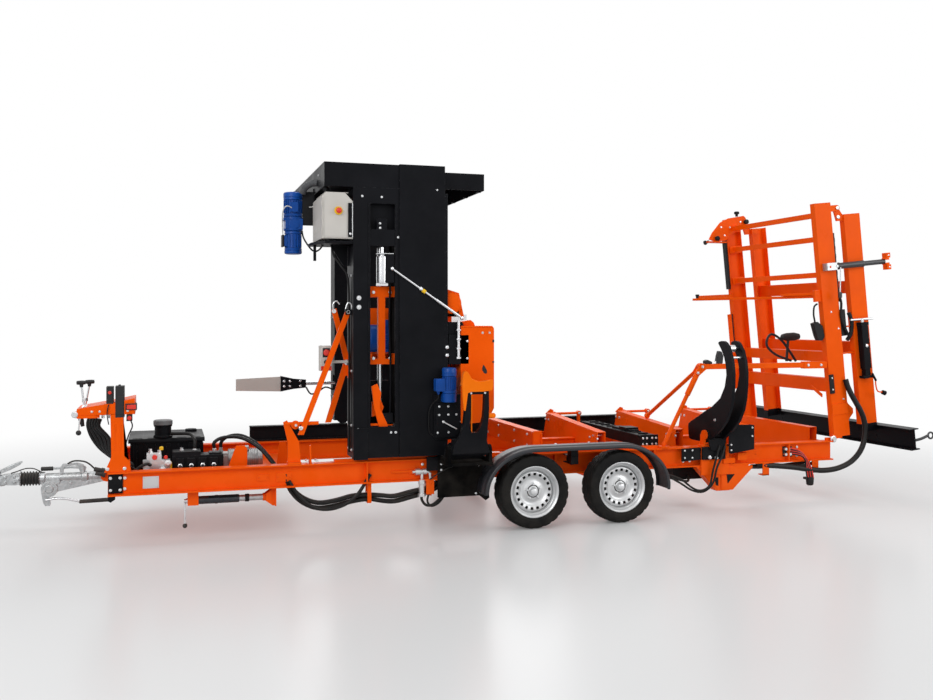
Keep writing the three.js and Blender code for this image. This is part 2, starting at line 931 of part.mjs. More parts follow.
function axle(x) {
  const top = beamBottom - clear;
  const tube = block(
    x - axleTubeSize / 2,
    x + axleTubeSize / 2,
    -armInner - overrun,
    armInner + overrun,
    top - axleTubeSize,
    top,
  );
  const arms = [-1, 1].map((side) => {
    const inner = side * armInner;
    const outer = side * (armInner + axleArmThickness);
    return join(
      block(
        x - axleArmLength / 2,
        x + axleArmLength / 2,
        Math.min(inner, outer),
        Math.max(inner, outer),
        wheelZ - axleTubeSize / 2,
        top,
      ),
      bar(
        'y',
        x,
        wheelZ,
        Math.min(inner, side * stubEnd),
        Math.max(inner, side * stubEnd),
        stubDiameter,
      ),
    );
  });
  return join(tube, ...arms);
}

sawmill.add(piece('front_axle', axle(frontAxleX), blackPaint()));
sawmill.add(piece('rear_axle', axle(rearAxleX), blackPaint()));

// Road wheels: a steel rim with its hub and cap, and a tyre seated between the rim's lips
const halfFacet = Math.PI / wheelSides;
const treadRadius = tyreDiameter / 2 / Math.cos(halfFacet);
const beadHalf = rimWidth / 2 - rimLipThickness - clear;
const beadRadius = rimSeatDiameter / 2 + clear;
const tyreProfile = [
  [beadRadius, -beadHalf],
  [rimLipDiameter / 2 + clear, -beadHalf],
  [treadRadius - tyreFlankDrop, -tyreWidth / 2],
  [treadRadius - tyreShoulderDrop, -tyreWidth / 2],
  [treadRadius, -tyreCrownWidth / 2],
  [treadRadius, tyreCrownWidth / 2],
  [treadRadius - tyreShoulderDrop, tyreWidth / 2],
  [treadRadius - tyreFlankDrop, tyreWidth / 2],
  [rimLipDiameter / 2 + clear, beadHalf],
  [beadRadius, beadHalf],
  [beadRadius, -beadHalf],
];
const rimProfile = [
  [0, capY],
  [hubCapDiameter / 2, capY],
  [hubCapDiameter / 2, discY],
  [hubDiameter / 2, discY],
  [(hubDiameter + rimSeatDiameter) / 4, discY - rimDiscDish],
  [rimSeatDiameter / 2 - rimWall, discY],
  [rimSeatDiameter / 2 - rimWall, rimOuterY],
  [rimLipDiameter / 2, rimOuterY],
  [rimLipDiameter / 2, rimOuterY + rimLipThickness],
  [rimSeatDiameter / 2, rimOuterY + rimLipThickness],
  [rimSeatDiameter / 2, -rimOuterY - rimLipThickness],
  [rimLipDiameter / 2, -rimOuterY - rimLipThickness],
  [rimLipDiameter / 2, -rimOuterY],
  [rimSeatDiameter / 2 - rimWall, -rimOuterY],
  [rimSeatDiameter / 2 - rimWall, discY + rimDiscThickness],
  [(hubDiameter + rimSeatDiameter) / 4, discY + rimDiscThickness - rimDiscDish],
  [hubDiameter / 2, discY + rimDiscThickness],
  [hubDiameter / 2, hubInnerY],
  [stubDiameter / 2 + runningGap, hubInnerY],
  [stubDiameter / 2 + runningGap, hubBoreEndY],
  [0, hubBoreEndY],
];

function turned(profile, sides, start = 0) {
  const points = profile.map(([radius, y]) => new THREE.Vector2(radius, y));
  return solid(new THREE.LatheGeometry(points, sides, start));
}

function roadWheel(name, x, side) {
  const wheel = at(x, (side * wheelTrack) / 2, wheelZ);
  wheel.rotation.z = side > 0 ? Math.PI : 0;
  wheel.add(piece(`tyre_${name}`, turned(tyreProfile, wheelSides, halfFacet), blackRubber()));
  wheel.add(piece(`rim_${name}`, turned(rimProfile, wheelSides, halfFacet), rimSilver()));
  return wheel;
}

sawmill.add(roadWheel('near_front', frontAxleX, -1));
sawmill.add(roadWheel('near_rear', rearAxleX, -1));
sawmill.add(roadWheel('far_front', frontAxleX, 1));
sawmill.add(roadWheel('far_rear', rearAxleX, 1));

// Mudguards: one moulded arch over both wheels on a bracket from the beam between the tyres
function archPoints(reach, rise) {
  const drop = Math.asin(fenderRearDrop / fenderRise);
  const points = [];
  for (let step = 0; step <= archSteps; step += 1) {
    const angle = (Math.PI / 2) * (step / archSteps);
    points.push([frontAxleX - reach * Math.cos(angle), wheelZ + rise * Math.sin(angle)]);
  }
  for (let step = 0; step <= archSteps; step += 1) {
    const angle = Math.PI / 2 - (Math.PI / 2 + drop) * (step / archSteps);
    points.push([rearAxleX + reach * Math.cos(angle), wheelZ + rise * Math.sin(angle)]);
  }
  return points;
}

function fender(name, side, beamEdge) {
  const outer = wheelTrack / 2 + tyreWidth / 2 + fenderTyreOverhang;
  const inner = outer - fenderWidth;
  const skin = [
    ...archPoints(fenderReach, fenderRise),
    ...archPoints(fenderReach - fenderSkin, fenderRise - fenderSkin).reverse(),
  ];
  const fromY = side > 0 ? inner : -outer;
  const arch = prism('y', skin, fromY, fromY + fenderWidth);
  const top = wheelZ + fenderRise;
  const middle = (frontAxleX + rearAxleX) / 2;
  const bracketFar = side * (inner + fenderBracketReach);
  const bracketNear = beamEdge + side * clear;
  const bracketTop = beamTop - fenderBracketDrop;
  const bracket = block(
    middle - fenderBracketWidth / 2,
    middle + fenderBracketWidth / 2,
    Math.min(bracketNear, bracketFar),
    Math.max(bracketNear, bracketFar),
    bracketTop - fenderBracketHeight,
    bracketTop,
  );
  const riser = block(
    middle - fenderBracketWidth / 2,
    middle + fenderBracketWidth / 2,
    Math.min(side * (inner + fenderSkin), bracketFar),
    Math.max(side * (inner + fenderSkin), bracketFar),
    bracketTop - fenderBracketHeight,
    top - fenderSkin / 2,
  );
  return piece(name, join(arch, bracket, riser), blackPlastic());
}

sawmill.add(fender('near_fender', -1, nearOuterY));
sawmill.add(fender('far_fender', 1, farOuterY));

// Drawbar: a height-adjusting arm with the overrun tube, its bellows and the ball coupling in one unit
const drawbar = at(drawbarPivotX, 0, drawbarPivotZ);
const discX = -toothedDiscSetback;
const discZ = -toothedDiscDrop;
const tubeFrontX = -drawbarTubeLength;
const bellowsFrontX = tubeFrontX - bellowsLength;
const headEndX = bellowsFrontX - couplingHeadLength;
const eyeEnd = drawbarTubeDiameter / 2;
const drawbarSteel = join(
  bar('y', 0, 0, -eyeEnd, eyeEnd, drawbarEyeDiameter),
  bar('x', 0, 0, bellowsFrontX - overrun, 0, drawbarTubeDiameter),
  strut([0, 0, -overrun], [discX, 0, discZ], adjusterArmHeight, roundSides),
  bar('y', discX, discZ, -toothedDiscWidth / 2, toothedDiscWidth / 2, toothedDiscDiameter),
  block(
    discX - adjusterArmWidth / 2,
    discX + adjusterArmWidth / 2,
    -adjusterArmWidth / 2,
    adjusterArmWidth / 2,
    discZ,
    0,
  ),
  block(
    discX - toothedDiscDiameter / 2,
    discX - toothedDiscDiameter / 2 + drawbarLugReach,
    -drawbarLugThickness / 2,
    drawbarLugThickness / 2,
    discZ - toothedDiscDiameter / 2 - drawbarLugReach,
    discZ,
  ),
  block(
    headEndX + couplingHeadHeight / 2,
    bellowsFrontX,
    -couplingHeadWidth / 2,
    couplingHeadWidth / 2,
    -couplingHeadHeight / 2,
    couplingHeadHeight / 2,
  ),
  bar(
    'z',
    headEndX + couplingHeadWidth / 2,
    0,
    -couplingHeadHeight / 2,
    couplingHeadHeight / 2,
    couplingHeadWidth,
  ),
);
const ballSocket = join(
  ball(headEndX + couplingHeadWidth / 2, 0, -couplingBallDiameter / 2, couplingBallDiameter, roundSides),
  bar(
    'z',
    headEndX + couplingHeadWidth / 2,
    0,
    -couplingHeadHeight,
    -couplingBallDiameter / 2,
    couplingBallDiameter,
  ),
);
const eyeBore = bore('y', 0, 0, -drawbarTubeDiameter, drawbarTubeDiameter, bracePinDiameter, smallSides);
drawbar.add(piece('drawbar', drawbarSteel.subtract(ballSocket).subtract(eyeBore), zincSteel()));

const bellowsFrom = bellowsFrontX + clear;
const bellowsPitch = bellowsLength / bellowsRings;
const bellowsInner = drawbarTubeDiameter / 2 + clear;
const bellowsProfile = [[bellowsInner, bellowsFrom]];
for (let ring = 0; ring < bellowsRings; ring += 1) {
  const from = bellowsFrom + ring * bellowsPitch;
  bellowsProfile.push([bellowsDiameter / 2 - bellowsRingDepth, from]);
  bellowsProfile.push([bellowsDiameter / 2, from + bellowsPitch / 2]);
}
bellowsProfile.push([bellowsDiameter / 2 - bellowsRingDepth, bellowsFrom + bellowsLength]);
bellowsProfile.push([bellowsInner, bellowsFrom + bellowsLength]);
bellowsProfile.push([bellowsInner, bellowsFrom]);
const bellows = turned(bellowsProfile, roundSides);
const bellowsMesh = piece('drawbar_bellows', bellows, blackRubber());
bellowsMesh.rotation.z = -Math.PI / 2;
drawbar.add(bellowsMesh);

const handleX = headEndX + couplingHeadWidth / 2;
const handle = at(handleX, 0, couplingHeadHeight / 2 + couplingHandleThickness);
const handleShape = join(
  bar('y', 0, 0, -couplingHandleWidth / 2, couplingHandleWidth / 2, couplingHandleThickness * 2 - clear * 2),
  prism('y', [
    [0, -couplingHandleThickness / 2],
    [couplingHandleLength, couplingHandleRise],
    [couplingHandleLength, couplingHandleRise + couplingHandleThickness],
    [0, couplingHandleThickness],
  ], -couplingHandleWidth / 2, couplingHandleWidth / 2),
);
handle.add(piece('coupling_handle', handleShape, brightSteel()));
drawbar.add(handle);

const brakePivotZ = drawbarTubeDiameter / 2 + brakePivotRise;
const brakeEyeDiameter = (brakePivotRise - clear) * 2;
const brakeLever = at(-brakePivotSetback, 0, brakePivotZ);
const brakeShape = join(
  bar('y', 0, 0, -brakeLeverWidth / 2, brakeLeverWidth / 2, brakeEyeDiameter),
  block(
    -brakeLeverLength,
    0,
    -brakeLeverWidth / 2,
    brakeLeverWidth / 2,
    0,
    brakeLeverThickness,
  ),
  bar(
    'x',
    0,
    brakeLeverThickness / 2,
    -brakeLeverLength - brakeLeverGripLength,
    -brakeLeverLength + overrun,
    brakeLeverGripDiameter,
    smallSides,
  ),
);
brakeLever.add(piece('handbrake_lever', brakeShape, zincSteel()));
drawbar.add(brakeLever);
sawmill.add(drawbar);

// Front support leg: a screw leg folded up under the near beam, with its crank
const legY = nearBeamY + legBeamInset;
const legZ = beamBottom - legDrop;
const legClampHalf = legTubeDiameter / 2 + runningGap;
const clampOuter = legClampHalf + legClampWall;

function clampCheek(fromY) {
  return block(
    legPivotX - legClampLength / 2,
    legPivotX + legClampLength / 2,
    fromY,
    fromY + legClampWall,
    legZ - legTubeDiameter / 2,
    beamBottom,
  );
}

const legClamp = join(
  block(
    legPivotX - legClampLength / 2,
    legPivotX + legClampLength / 2,
    legY - clampOuter,
    legY + clampOuter,
    beamBottom - legClampWall,
    beamBottom + overrun,
  ),
  clampCheek(legY - clampOuter),
  clampCheek(legY + legClampHalf),
  bar('y', legPivotX, legZ, legY - clampOuter, legY + clampOuter, bracePinDiameter, smallSides),
);
nearBeamWelds.push(legClamp);

const leg = at(legPivotX, legY, legZ);
const legEnd = legOuterLength + legInnerLength;
const legFoot = prism('y', [
  [legEnd - overrun, -legInnerDiameter / 2],
  [legEnd + legFootFlare, -legFootWidth / 2],
  [legEnd + legFootFlare + legFootThickness, -legFootWidth / 2],
  [legEnd + legFootFlare + legFootThickness, legFootWidth / 2],
  [legEnd + legFootFlare, legFootWidth / 2],
  [legEnd - overrun, legInnerDiameter / 2],
], -legFootWidth / 2, legFootWidth / 2);
const legShape = join(
  bar('x', 0, 0, -legTubeDiameter / 2, legOuterLength, legTubeDiameter),
  bar('x', 0, 0, legOuterLength - overrun, legEnd, legInnerDiameter),
  legFoot,
).subtract(bore('y', 0, 0, -legTubeDiameter, legTubeDiameter, bracePinDiameter, smallSides));
leg.add(piece('front_leg', legShape, zincSteel()));

const crankX = -legTubeDiameter / 2 - clear;
const crankRodX = crankX - crankHubLength + crankRodDiameter / 2;
const crankShape = join(
  bar('x', 0, 0, crankX - crankHubLength, crankX, crankHubDiameter),
  bar('z', crankRodX, 0, -crankArmLength, 0, crankRodDiameter, smallSides),
  ball(crankRodX, 0, -crankArmLength, crankBallDiameter),
);
leg.add(piece('front_leg_crank', crankShape, zincSteel()));
sawmill.add(leg);

// Gantry: everything that travels along the rails rides in this group
const gantry = at(gantryX, 0, 0);
const columnFarY = columnNearY + columnWidth;
const columnBottom = nearRailTop + columnBottomGap;
const slotBottom = columnBottom + columnFootHeight;
const slotX0 = -columnDepth + slotFrontInset;
const slotX1 = -slotRearInset;
const coverTop = columnTop + coverRise;

function roller(x, y, railTop, pinFrom, pinTo) {
  const z = railTop + clear + rollerDiameter / 2;
  return {
    wheel: bar('y', x, z, y - rollerWidth / 2, y + rollerWidth / 2, rollerDiameter),
    pin: bar('y', x, z, pinFrom, pinTo, bracePinDiameter, smallSides),
  };
}

// Near column: a folded sheet post, open towards the bed, with a slot for the saw head's lifting frame
const columnShell = block(-columnDepth, 0, columnNearY, columnFarY, columnBottom, columnTop).subtract(
  block(
    -columnDepth + columnWall,
    -columnWall,
    columnNearY + columnWall,
    columnFarY + overrun,
    columnBottom - overrun,
    columnTop + overrun,
  ),
);
const slotCut = join(
  block(slotX0, slotX1, columnNearY - overrun, columnNearY + columnWall + overrun, slotBottom, slotTop),
  block(slotX0, slotX1, columnNearY - overrun, columnNearY + columnWall + overrun, windowBottom, windowTop),
);
const columnRollerX = -columnDepth + rollerInset;
const columnRoller = roller(columnRollerX, nearBeamY, nearRailTop, columnNearY, columnFarY);
const braceX = -columnDepth - braceFaceGap;
const braceY = dogNearY - dogBraceGap - braceThickness / 2;
const braceLugs = [-1, 1].map((side) => {
  const inner = braceY + side * (braceThickness / 2 + runningGap);
  const outer = inner + side * braceThickness;
  return block(
    braceX - braceWidth / 2,
    -columnDepth + columnWall,
    Math.min(inner, outer),
    Math.max(inner, outer),
    braceTopZ - braceWidth / 2,
    braceTopZ + braceWidth / 2,
  );
});
const bracePin = bar(
  'y',
  braceX,
  braceTopZ,
  braceY - braceThickness * 2,
  braceY + braceThickness * 2,
  bracePinDiameter,
  smallSides,
);
const nearColumn = join(
  columnShell.subtract(slotCut),
  columnRoller.pin,
  columnRoller.wheel,
  ...braceLugs,
  bracePin,
);
gantry.add(piece('near_column', nearColumn, blackPaint()));

// Near cover: the tall sheet box behind the column, open at the bottom over its roller
const coverX0 = clear;
const coverX1 = coverX0 + coverDepth;
const coverNearY = columnNearY - coverStandOut;
const coverBottom = columnBottom;
const coverRoller = roller(
  coverX1 - rollerInset,
  nearBeamY,
  nearRailTop,
  coverNearY + coverSheet / 2,
  columnFarY - coverSheet / 2,
);
const nearCover = block(coverX0, coverX1, coverNearY, columnFarY, coverBottom, coverTop)
  .subtract(block(
    coverX0 + coverSheet,
    coverX1 - coverSheet,
    coverNearY + coverSheet,
    columnFarY - coverSheet,
    coverBottom - overrun,
    coverTop - coverSheet,
  ))
  .add(coverRoller.pin)
  .add(coverRoller.wheel);
gantry.add(piece('near_cover', nearCover, blackPaint()));

// Far tower: a sheet box over the far rail
const farTowerNearY = farOuterY - farTowerSideGap + farTowerSheet;
const farTowerFarY = farTowerNearY + farTowerWidth;
const farTowerBottom = farRailTop + farTowerRailGap;
const farTowerRearX = farTowerFrontX + farTowerDepth;
const farRollers = [farTowerFrontX + rollerInset, farTowerRearX - rollerInset].map((x) => roller(
  x,
  farRailY,
  farRailTop,
  farTowerNearY + farTowerSheet / 2,
  farTowerFarY - farTowerSheet / 2,
));
let farTower = block(farTowerFrontX, farTowerRearX, farTowerNearY, farTowerFarY, farTowerBottom, columnTop)
  .subtract(block(
    farTowerFrontX + farTowerSheet,
    farTowerRearX - farTowerSheet,
    farTowerNearY + farTowerSheet,
    farTowerFarY - farTowerSheet,
    farTowerBottom - overrun,
    columnTop - farTowerSheet,
  ));
for (const made of farRollers) farTower = farTower.add(made.pin).add(made.wheel);
gantry.add(piece('far_tower', farTower, blackPaint()));

// Header: an open-bottomed sheet box across both towers, with the rear canopy tray on its back
const headerX0 = -columnDepth - headerOverhang;
const headerZ0 = columnTop + clear;
const headerZ1 = headerZ0 + headerHeight;
const headerFarY = farTowerFarY;
const canopyZ1 = headerZ1;
const canopyZ0 = canopyZ1 - canopyHeight;
const canopyNearY = columnFarY + clear + headerSheet;
const headerShell = block(headerX0, 0, columnNearY, headerFarY, headerZ0, headerZ1).subtract(block(
  headerX0 + headerSheet,
  -headerSheet,
  columnNearY + headerSheet,
  headerFarY - headerSheet,
  headerZ0 - overrun,
  headerZ1 - headerSheet,
));
const canopyShell = block(
  -headerSheet,
  canopyLength,
  canopyNearY,
  canopyNearY + canopyWidth,
  canopyZ0,
  canopyZ1,
).subtract(block(
  0,
  canopyLength - headerSheet,
  canopyNearY + headerSheet,
  canopyNearY + canopyWidth - headerSheet,
  canopyZ0 - overrun,
  canopyZ1 - headerSheet,
));
gantry.add(piece('header_canopy', join(headerShell, canopyShell), blackPaint()));

// Control cabinet on the column's front face, with its hinged door and stop button
const cabinetX1 = -columnDepth - clear;
const cabinetX0 = cabinetX1 - cabinetWidth;
const cabinetZ1 = headerZ0 - cabinetTopDrop;
const cabinetZ0 = cabinetZ1 - cabinetHeight;
const cabinetY0 = columnNearY + doorThickness;
const cabinetY1 = cabinetY0 + cabinetDepth;
const cabinetOutline = [
  [cabinetX0, cabinetZ0],
  [cabinetX1, cabinetZ0],
  [cabinetX1, cabinetZ1 - cabinetBevel],
  [cabinetX1 - cabinetBevel, cabinetZ1],
  [cabinetX0 + cabinetBevel / 2, cabinetZ1],
  [cabinetX0, cabinetZ1 - cabinetBevel / 2],
];
const cabinetCentreX = (cabinetX0 + cabinetX1) / 2;
const cabinetCentreZ = (cabinetZ0 + cabinetZ1) / 2;
const cabinetShrink = (cabinetWidth - cabinetSheet * 2) / cabinetWidth;
const cabinetHollow = cabinetOutline.map(([x, z]) => [
  cabinetCentreX + (x - cabinetCentreX) * cabinetShrink,
  cabinetCentreZ + (z - cabinetCentreZ) * cabinetShrink,
]);
const cabinet = prism('y', cabinetOutline, cabinetY0, cabinetY1).subtract(
  prism('y', cabinetHollow, cabinetY0 - overrun, cabinetY1 - cabinetSheet),
);
gantry.add(piece('control_cabinet', cabinet, greyEnamel()));

const door = at(cabinetX0, cabinetY0 - clear - doorThickness, cabinetZ0);
const doorOutline = cabinetOutline.map(([x, z]) => [
  x === cabinetX1 ? cabinetWidth - doorMargin : x - cabinetX0,
  z - cabinetZ0,
]);
const stopX = cabinetWidth * stopAcrossShare;
const stopZ = cabinetHeight * stopHeightShare;
const stopPlate = bar('y', stopX, stopZ, -stopPlateThickness, overrun, stopPlateDiameter);
const stopHole = bore('y', stopX, stopZ, -overrun * 2, doorThickness + overrun, stopStemDiameter);
const doorShape = prism('y', doorOutline, 0, doorThickness).add(stopPlate).subtract(stopHole);
door.add(piece('cabinet_door', doorShape, greyEnamel()));
const stopButton = at(stopX, 0, stopZ);
const stopShape = join(
  bar('y', 0, 0, -stopPlateThickness - stopStemLength, doorThickness / 2, stopStemDiameter),
  bar(
    'y',
    0,
    0,
    -stopPlateThickness - stopStemLength - stopHeadLength,
    -stopPlateThickness - stopStemLength + overrun / 2,
    stopHeadDiameter,
  ),
);
stopButton.add(piece('stop_button', stopShape, redPlastic()));
door.add(stopButton);
gantry.add(door);

// Lifting drive: an upright gearmotor hung from the header's front face
const liftX = headerX0 - liftMotorReach + liftGearSize / 2;
const liftTop = headerZ0 + liftBracketThickness - liftMotorTopDrop;
const liftGearTop = liftTop - liftMotorHeight;
const liftGearBottom = liftGearTop - liftGearHeight;
const liftDrive = join(
  bar('z', liftX, liftMotorY, liftGearTop - overrun, liftTop, liftMotorDiameter),
  block(
    liftX - liftGearSize / 2,
    liftX + liftGearSize / 2,
    liftMotorY - liftGearSize / 2,
    liftMotorY + liftGearSize / 2,
    liftGearBottom,
    liftGearTop,
  ),
  bar(
    'z',
    liftX,
    liftMotorY,
    liftGearBottom - liftLowerHeight,
    liftGearBottom + overrun,
    liftLowerDiameter,
  ),
  block(
    liftX,
    headerX0 - clear,
    liftMotorY - liftGearSize / 4,
    liftMotorY + liftGearSize / 4,
    liftTop - liftBracketThickness,
    liftTop + liftBracketThickness * 2,
  ),
);
gantry.add(piece('lift_drive', liftDrive, blueMotor()));

// Travel drive: a small upright motor on a bolted plate at the cover's rear corner
const travelX = coverX1 + travelMotorOverhang;
const travelY = coverNearY - clear - travelPlateThickness - travelMotorDiameter / 2;
const travelTop = travelMotorBottom + travelMotorHeight;
const travelPlateX0 = travelX - travelPlateWidth / 2;
const travelDrive = join(
  bar('z', travelX, travelY, travelMotorBottom, travelTop, travelMotorDiameter),
  block(
    travelX - travelMotorDiameter / 2,
    travelX + travelMotorDiameter / 2,
    travelY,
    coverNearY - clear,
    travelMotorBottom - travelGearHeight,
    travelMotorBottom + overrun,
  ),
  block(
    travelX - travelMotorDiameter / 2 - travelBoxDepth,
    travelX,
    travelY - travelBoxSize / 2,
    travelY + travelBoxSize / 2,
    travelMotorBottom + travelBoxSize / 2,
    travelMotorBottom + travelBoxSize * 2,
  ),
  block(
    travelPlateX0,
    travelPlateX0 + travelPlateWidth,
    coverNearY - clear - travelPlateThickness,
    coverNearY - clear,
    travelMotorBottom - travelPlateHeight,
    travelMotorBottom,
  ),
);
gantry.add(piece('travel_drive', travelDrive, blueMotor()));

// Transport brace: a flat bar pinned between the column's two lugs, its free end beside the dog
const brace = at(braceX, braceY, braceTopZ);
const braceDrop = braceTopZ - braceBottomZ;
const braceSlope = Math.atan2(braceReach, braceDrop);
const braceBend = braceWidth / 2 / Math.cos(braceSlope);
const braceShape = join(
  prism('y', [
    [-braceBend, 0],
    [-braceReach - braceBend, -braceDrop],
    [-braceReach + braceBend, -braceDrop],
    [braceBend, 0],
  ], -braceThickness / 2, braceThickness / 2),
  bar('y', 0, 0, -braceThickness / 2, braceThickness / 2, braceWidth),
).subtract(bore('y', 0, 0, -braceThickness, braceThickness, bracePinDiameter, smallSides));
brace.add(piece('transport_brace', braceShape, orangePaint()));
gantry.add(brace);

// Saw head: everything that is raised and lowered between the towers
const head = at(0, 0, 0);
const slotFrameX0 = -slotFrameInset;
const slotFrameX1 = slotFrameX0 + slotFrameWidth;
const slotPostX0 = slotFrameX0 + (slotFrameWidth - slotFramePost) / 2;
const sideArmOuter = sideArmInner - sideArmThickness;
const headBeamX1 = headBeamX + headBeamDepth;
const headBeamTop = headBeamBottom + headBeamHeight;
const bearingZ0 = bandWheelAxleZ - bearingPlateDrop;

function bearingPlate(y) {
  return join(
    block(
      headBeamX,
      headBeamX + bearingPlateThickness,
      y - bearingPlateWidth / 2,
      y + bearingPlateWidth / 2,
      bearingZ0,
      headBeamTop,
    ),
    bar(
      'x',
      y,
      bandWheelAxleZ,
      headBeamX,
      headBeamX + bearingHousingLength,
      bearingHousingDiameter,
    ),
  );
}

const bearingBore = (y) => bore(
  'x',
  y,
  bandWheelAxleZ,
  headBeamX - overrun,
  headBeamX + bearingHousingLength + overrun,
  bandShaftDiameter,
);

const slotArm = (bottom, height) => block(
  slotFrameX0,
  slotFrameX1,
  slotFrameY,
  sideArmInner,
  bottom,
  bottom + height,
);
const sideArm = (bottom) => block(
  slotFrameX0,
  headBeamX + bearingPlateThickness,
  sideArmOuter,
  sideArmInner,
  bottom,
  bottom + sideArmHeight,
);
const motorPlateX0 = headBeamX - motorPlateLength;
const motorPlateZ0 = mainMotorZ - motorPlateHeight / 2;
const motorPlateY1 = headBeamHalf - bearingPlateThickness;
const motorPlateY0 = motorPlateY1 - motorPlateThickness;

// Slide shoes that bear on the inside of the near column and on the far tower
const columnShoe = (x0, x1, bottom) => block(
  x0,
  x1,
  slotFrameY,
  slotFrameY + slotFrameDepth,
  bottom,
  bottom + slotBarHeight,
);
const columnShoes = [slotFrameBottom, slotFrameTop - slotBarHeight].flatMap((bottom) => [
  columnShoe(-columnDepth + columnWall + clear, slotFrameX0 + overrun, bottom),
  columnShoe(slotFrameX1 - overrun, -columnWall - clear, bottom),
]);
const towerShoes = [motorPlateZ0, headBeamTop - slotBarHeight].map((bottom) => block(
  motorPlateX0,
  motorPlateX0 + slotBarHeight,
  motorPlateY1 - overrun,
  farTowerNearY - clear,
  bottom,
  bottom + slotBarHeight,
));
const headFrame = join(
  ...columnShoes,
  ...towerShoes,
  slotArm(slotFrameTop - slotBarHeight, slotBarHeight),
  slotArm(slotFrameBottom, slotBarHeight / 2),
  block(
    slotPostX0,
    slotPostX0 + slotFramePost,
    slotFrameY,
    slotFrameY + slotFrameDepth,
    slotFrameBottom,
    slotFrameTop,
  ),
  sideArm(slotFrameTop - slotBarHeight),
  sideArm(slotFrameBottom),
  block(
    headBeamX,
    headBeamX + bearingPlateThickness,
    sideArmOuter,
    sideArmInner,
    slotFrameBottom,
    slotFrameTop,
  ),
  block(headBeamX, headBeamX1, -headBeamHalf, headBeamHalf, headBeamBottom, headBeamTop),
  bearingPlate(bandWheelNearY),
  bearingPlate(bandWheelFarY),
  block(
    motorPlateX0,
    headBeamX + bearingPlateThickness,
    motorPlateY0,
    motorPlateY1,
    motorPlateZ0,
    headBeamTop,
  ),
).subtract(bearingBore(bandWheelNearY)).subtract(bearingBore(bandWheelFarY));
head.add(piece('head_frame', headFrame, orangePaint()));

// Band wheels: crowned cast wheels on stub shafts in the head's bearings
const bandRadius = bandWheelDiameter / 2;
const bandShaftFrom = headBeamX - bandWheelX;

function bandWheel(name, y) {
  const half = bandWheelWidth / 2;
  const profile = [
    [0, bandShaftFrom],
    [bandShaftDiameter / 2, bandShaftFrom],
    [bandShaftDiameter / 2, -half],
    [bandWheelHubDiameter / 2, -half],
    [bandWheelHubDiameter / 2, -bandWheelDisc / 2],
    [bandRadius - bandWheelRim, -bandWheelDisc / 2],
    [bandRadius - bandWheelRim, -half],
    [bandRadius, -half],
    [bandRadius, half],
    [bandRadius - bandWheelRim, half],
    [bandRadius - bandWheelRim, bandWheelDisc / 2],
    [bandWheelHubDiameter / 2, bandWheelDisc / 2],
    [bandWheelHubDiameter / 2, half],
    [0, half],
  ];
  const wheel = at(bandWheelX, y, bandWheelAxleZ);
  const mesh = piece(name, turned(profile, bandSides, Math.PI / bandSides), zincSteel());
  mesh.rotation.z = -Math.PI / 2;
  wheel.add(mesh);
  return wheel;
}

head.add(bandWheel('near_band_wheel', bandWheelNearY));
head.add(bandWheel('far_band_wheel', bandWheelFarY));

// Blade: an endless band round both wheels
function bladeLoop(radius) {
  const points = [];
  for (let step = 0; step <= bandSides / 2; step += 1) {
    const angle = Math.PI / 2 + Math.PI * (step / (bandSides / 2));
    points.push([bandWheelNearY + radius * Math.cos(angle), bandWheelAxleZ + radius * Math.sin(angle)]);
  }
  for (let step = 0; step <= bandSides / 2; step += 1) {
    const angle = -Math.PI / 2 + Math.PI * (step / (bandSides / 2));
    points.push([bandWheelFarY + radius * Math.cos(angle), bandWheelAxleZ + radius * Math.sin(angle)]);
  }
  return points;
}

const bladeX0 = bandWheelX - bandWheelWidth / 2;
const bladeInner = (bandRadius + clear) / Math.cos(Math.PI / bandSides);
const blade = prism('x', bladeLoop(bladeInner + bladeThickness), bladeX0, bladeX0 + bladeWidth).subtract(
  prism('x', bladeLoop(bladeInner), bladeX0 - overrun, bladeX0 + bladeWidth + overrun),
);
head.add(piece('saw_blade', blade, brightSteel()));

// Wheel guards: bevelled sheet boxes, open towards the log and along the blade's lower run
const guardX1 = guardX + guardDepth;
const guardZ0 = bandWheelAxleZ - bandRadius - bladeThickness - guardAir;
const guardZ1 = bandWheelAxleZ + bandRadius + bladeThickness + guardAir;
const collarFrom = headBeamX + bearingHousingLength + clear;

function guard(name, wheelY, side) {
  const outer = Math.abs(wheelY) + bandRadius + bladeThickness + guardSideAir + guardSheet;
  const inner = outer - bandWheelDiameter - guardSideAir;
  const y0 = side > 0 ? inner : -outer;
  const y1 = side > 0 ? outer : -inner;
  const shape = (grow, x0, x1, from, to) => prism('y', [
    [x0, guardZ0 + grow],
    [x1 - guardBevel / 2 + grow / 2, guardZ0 + grow],
    [x1, guardZ0 + guardBevel + grow / 2],
    [x1, guardZ1 - grow],
    [x0, guardZ1 - grow],
  ], from, to);
  const hollowY0 = side > 0 ? y0 - overrun : y0 + guardSheet;
  const hollowY1 = side > 0 ? y1 - guardSheet : y1 + overrun;
  const hollow = shape(guardSheet, guardX + guardSheet, guardX1 - guardSheet, hollowY0, hollowY1);
  const shell = shape(0, guardX, guardX1, y0, y1).subtract(hollow);
  const hole = bar('x', wheelY, bandWheelAxleZ, guardX - overrun, guardX + guardSheet + overrun, guardShaftHole);
  const collarX = guardX + guardSheet;
  const collar = bar('x', wheelY, bandWheelAxleZ, collarFrom, collarX, bearingHousingDiameter)
    .subtract(bar('x', wheelY, bandWheelAxleZ, collarFrom - overrun, guardX + overrun * 2, guardShaftHole));
  return piece(name, shell.subtract(hole).add(collar), orangePaint());
}

head.add(guard('near_wheel_guard', bandWheelNearY, -1));
head.add(guard('far_wheel_guard', bandWheelFarY, 1));

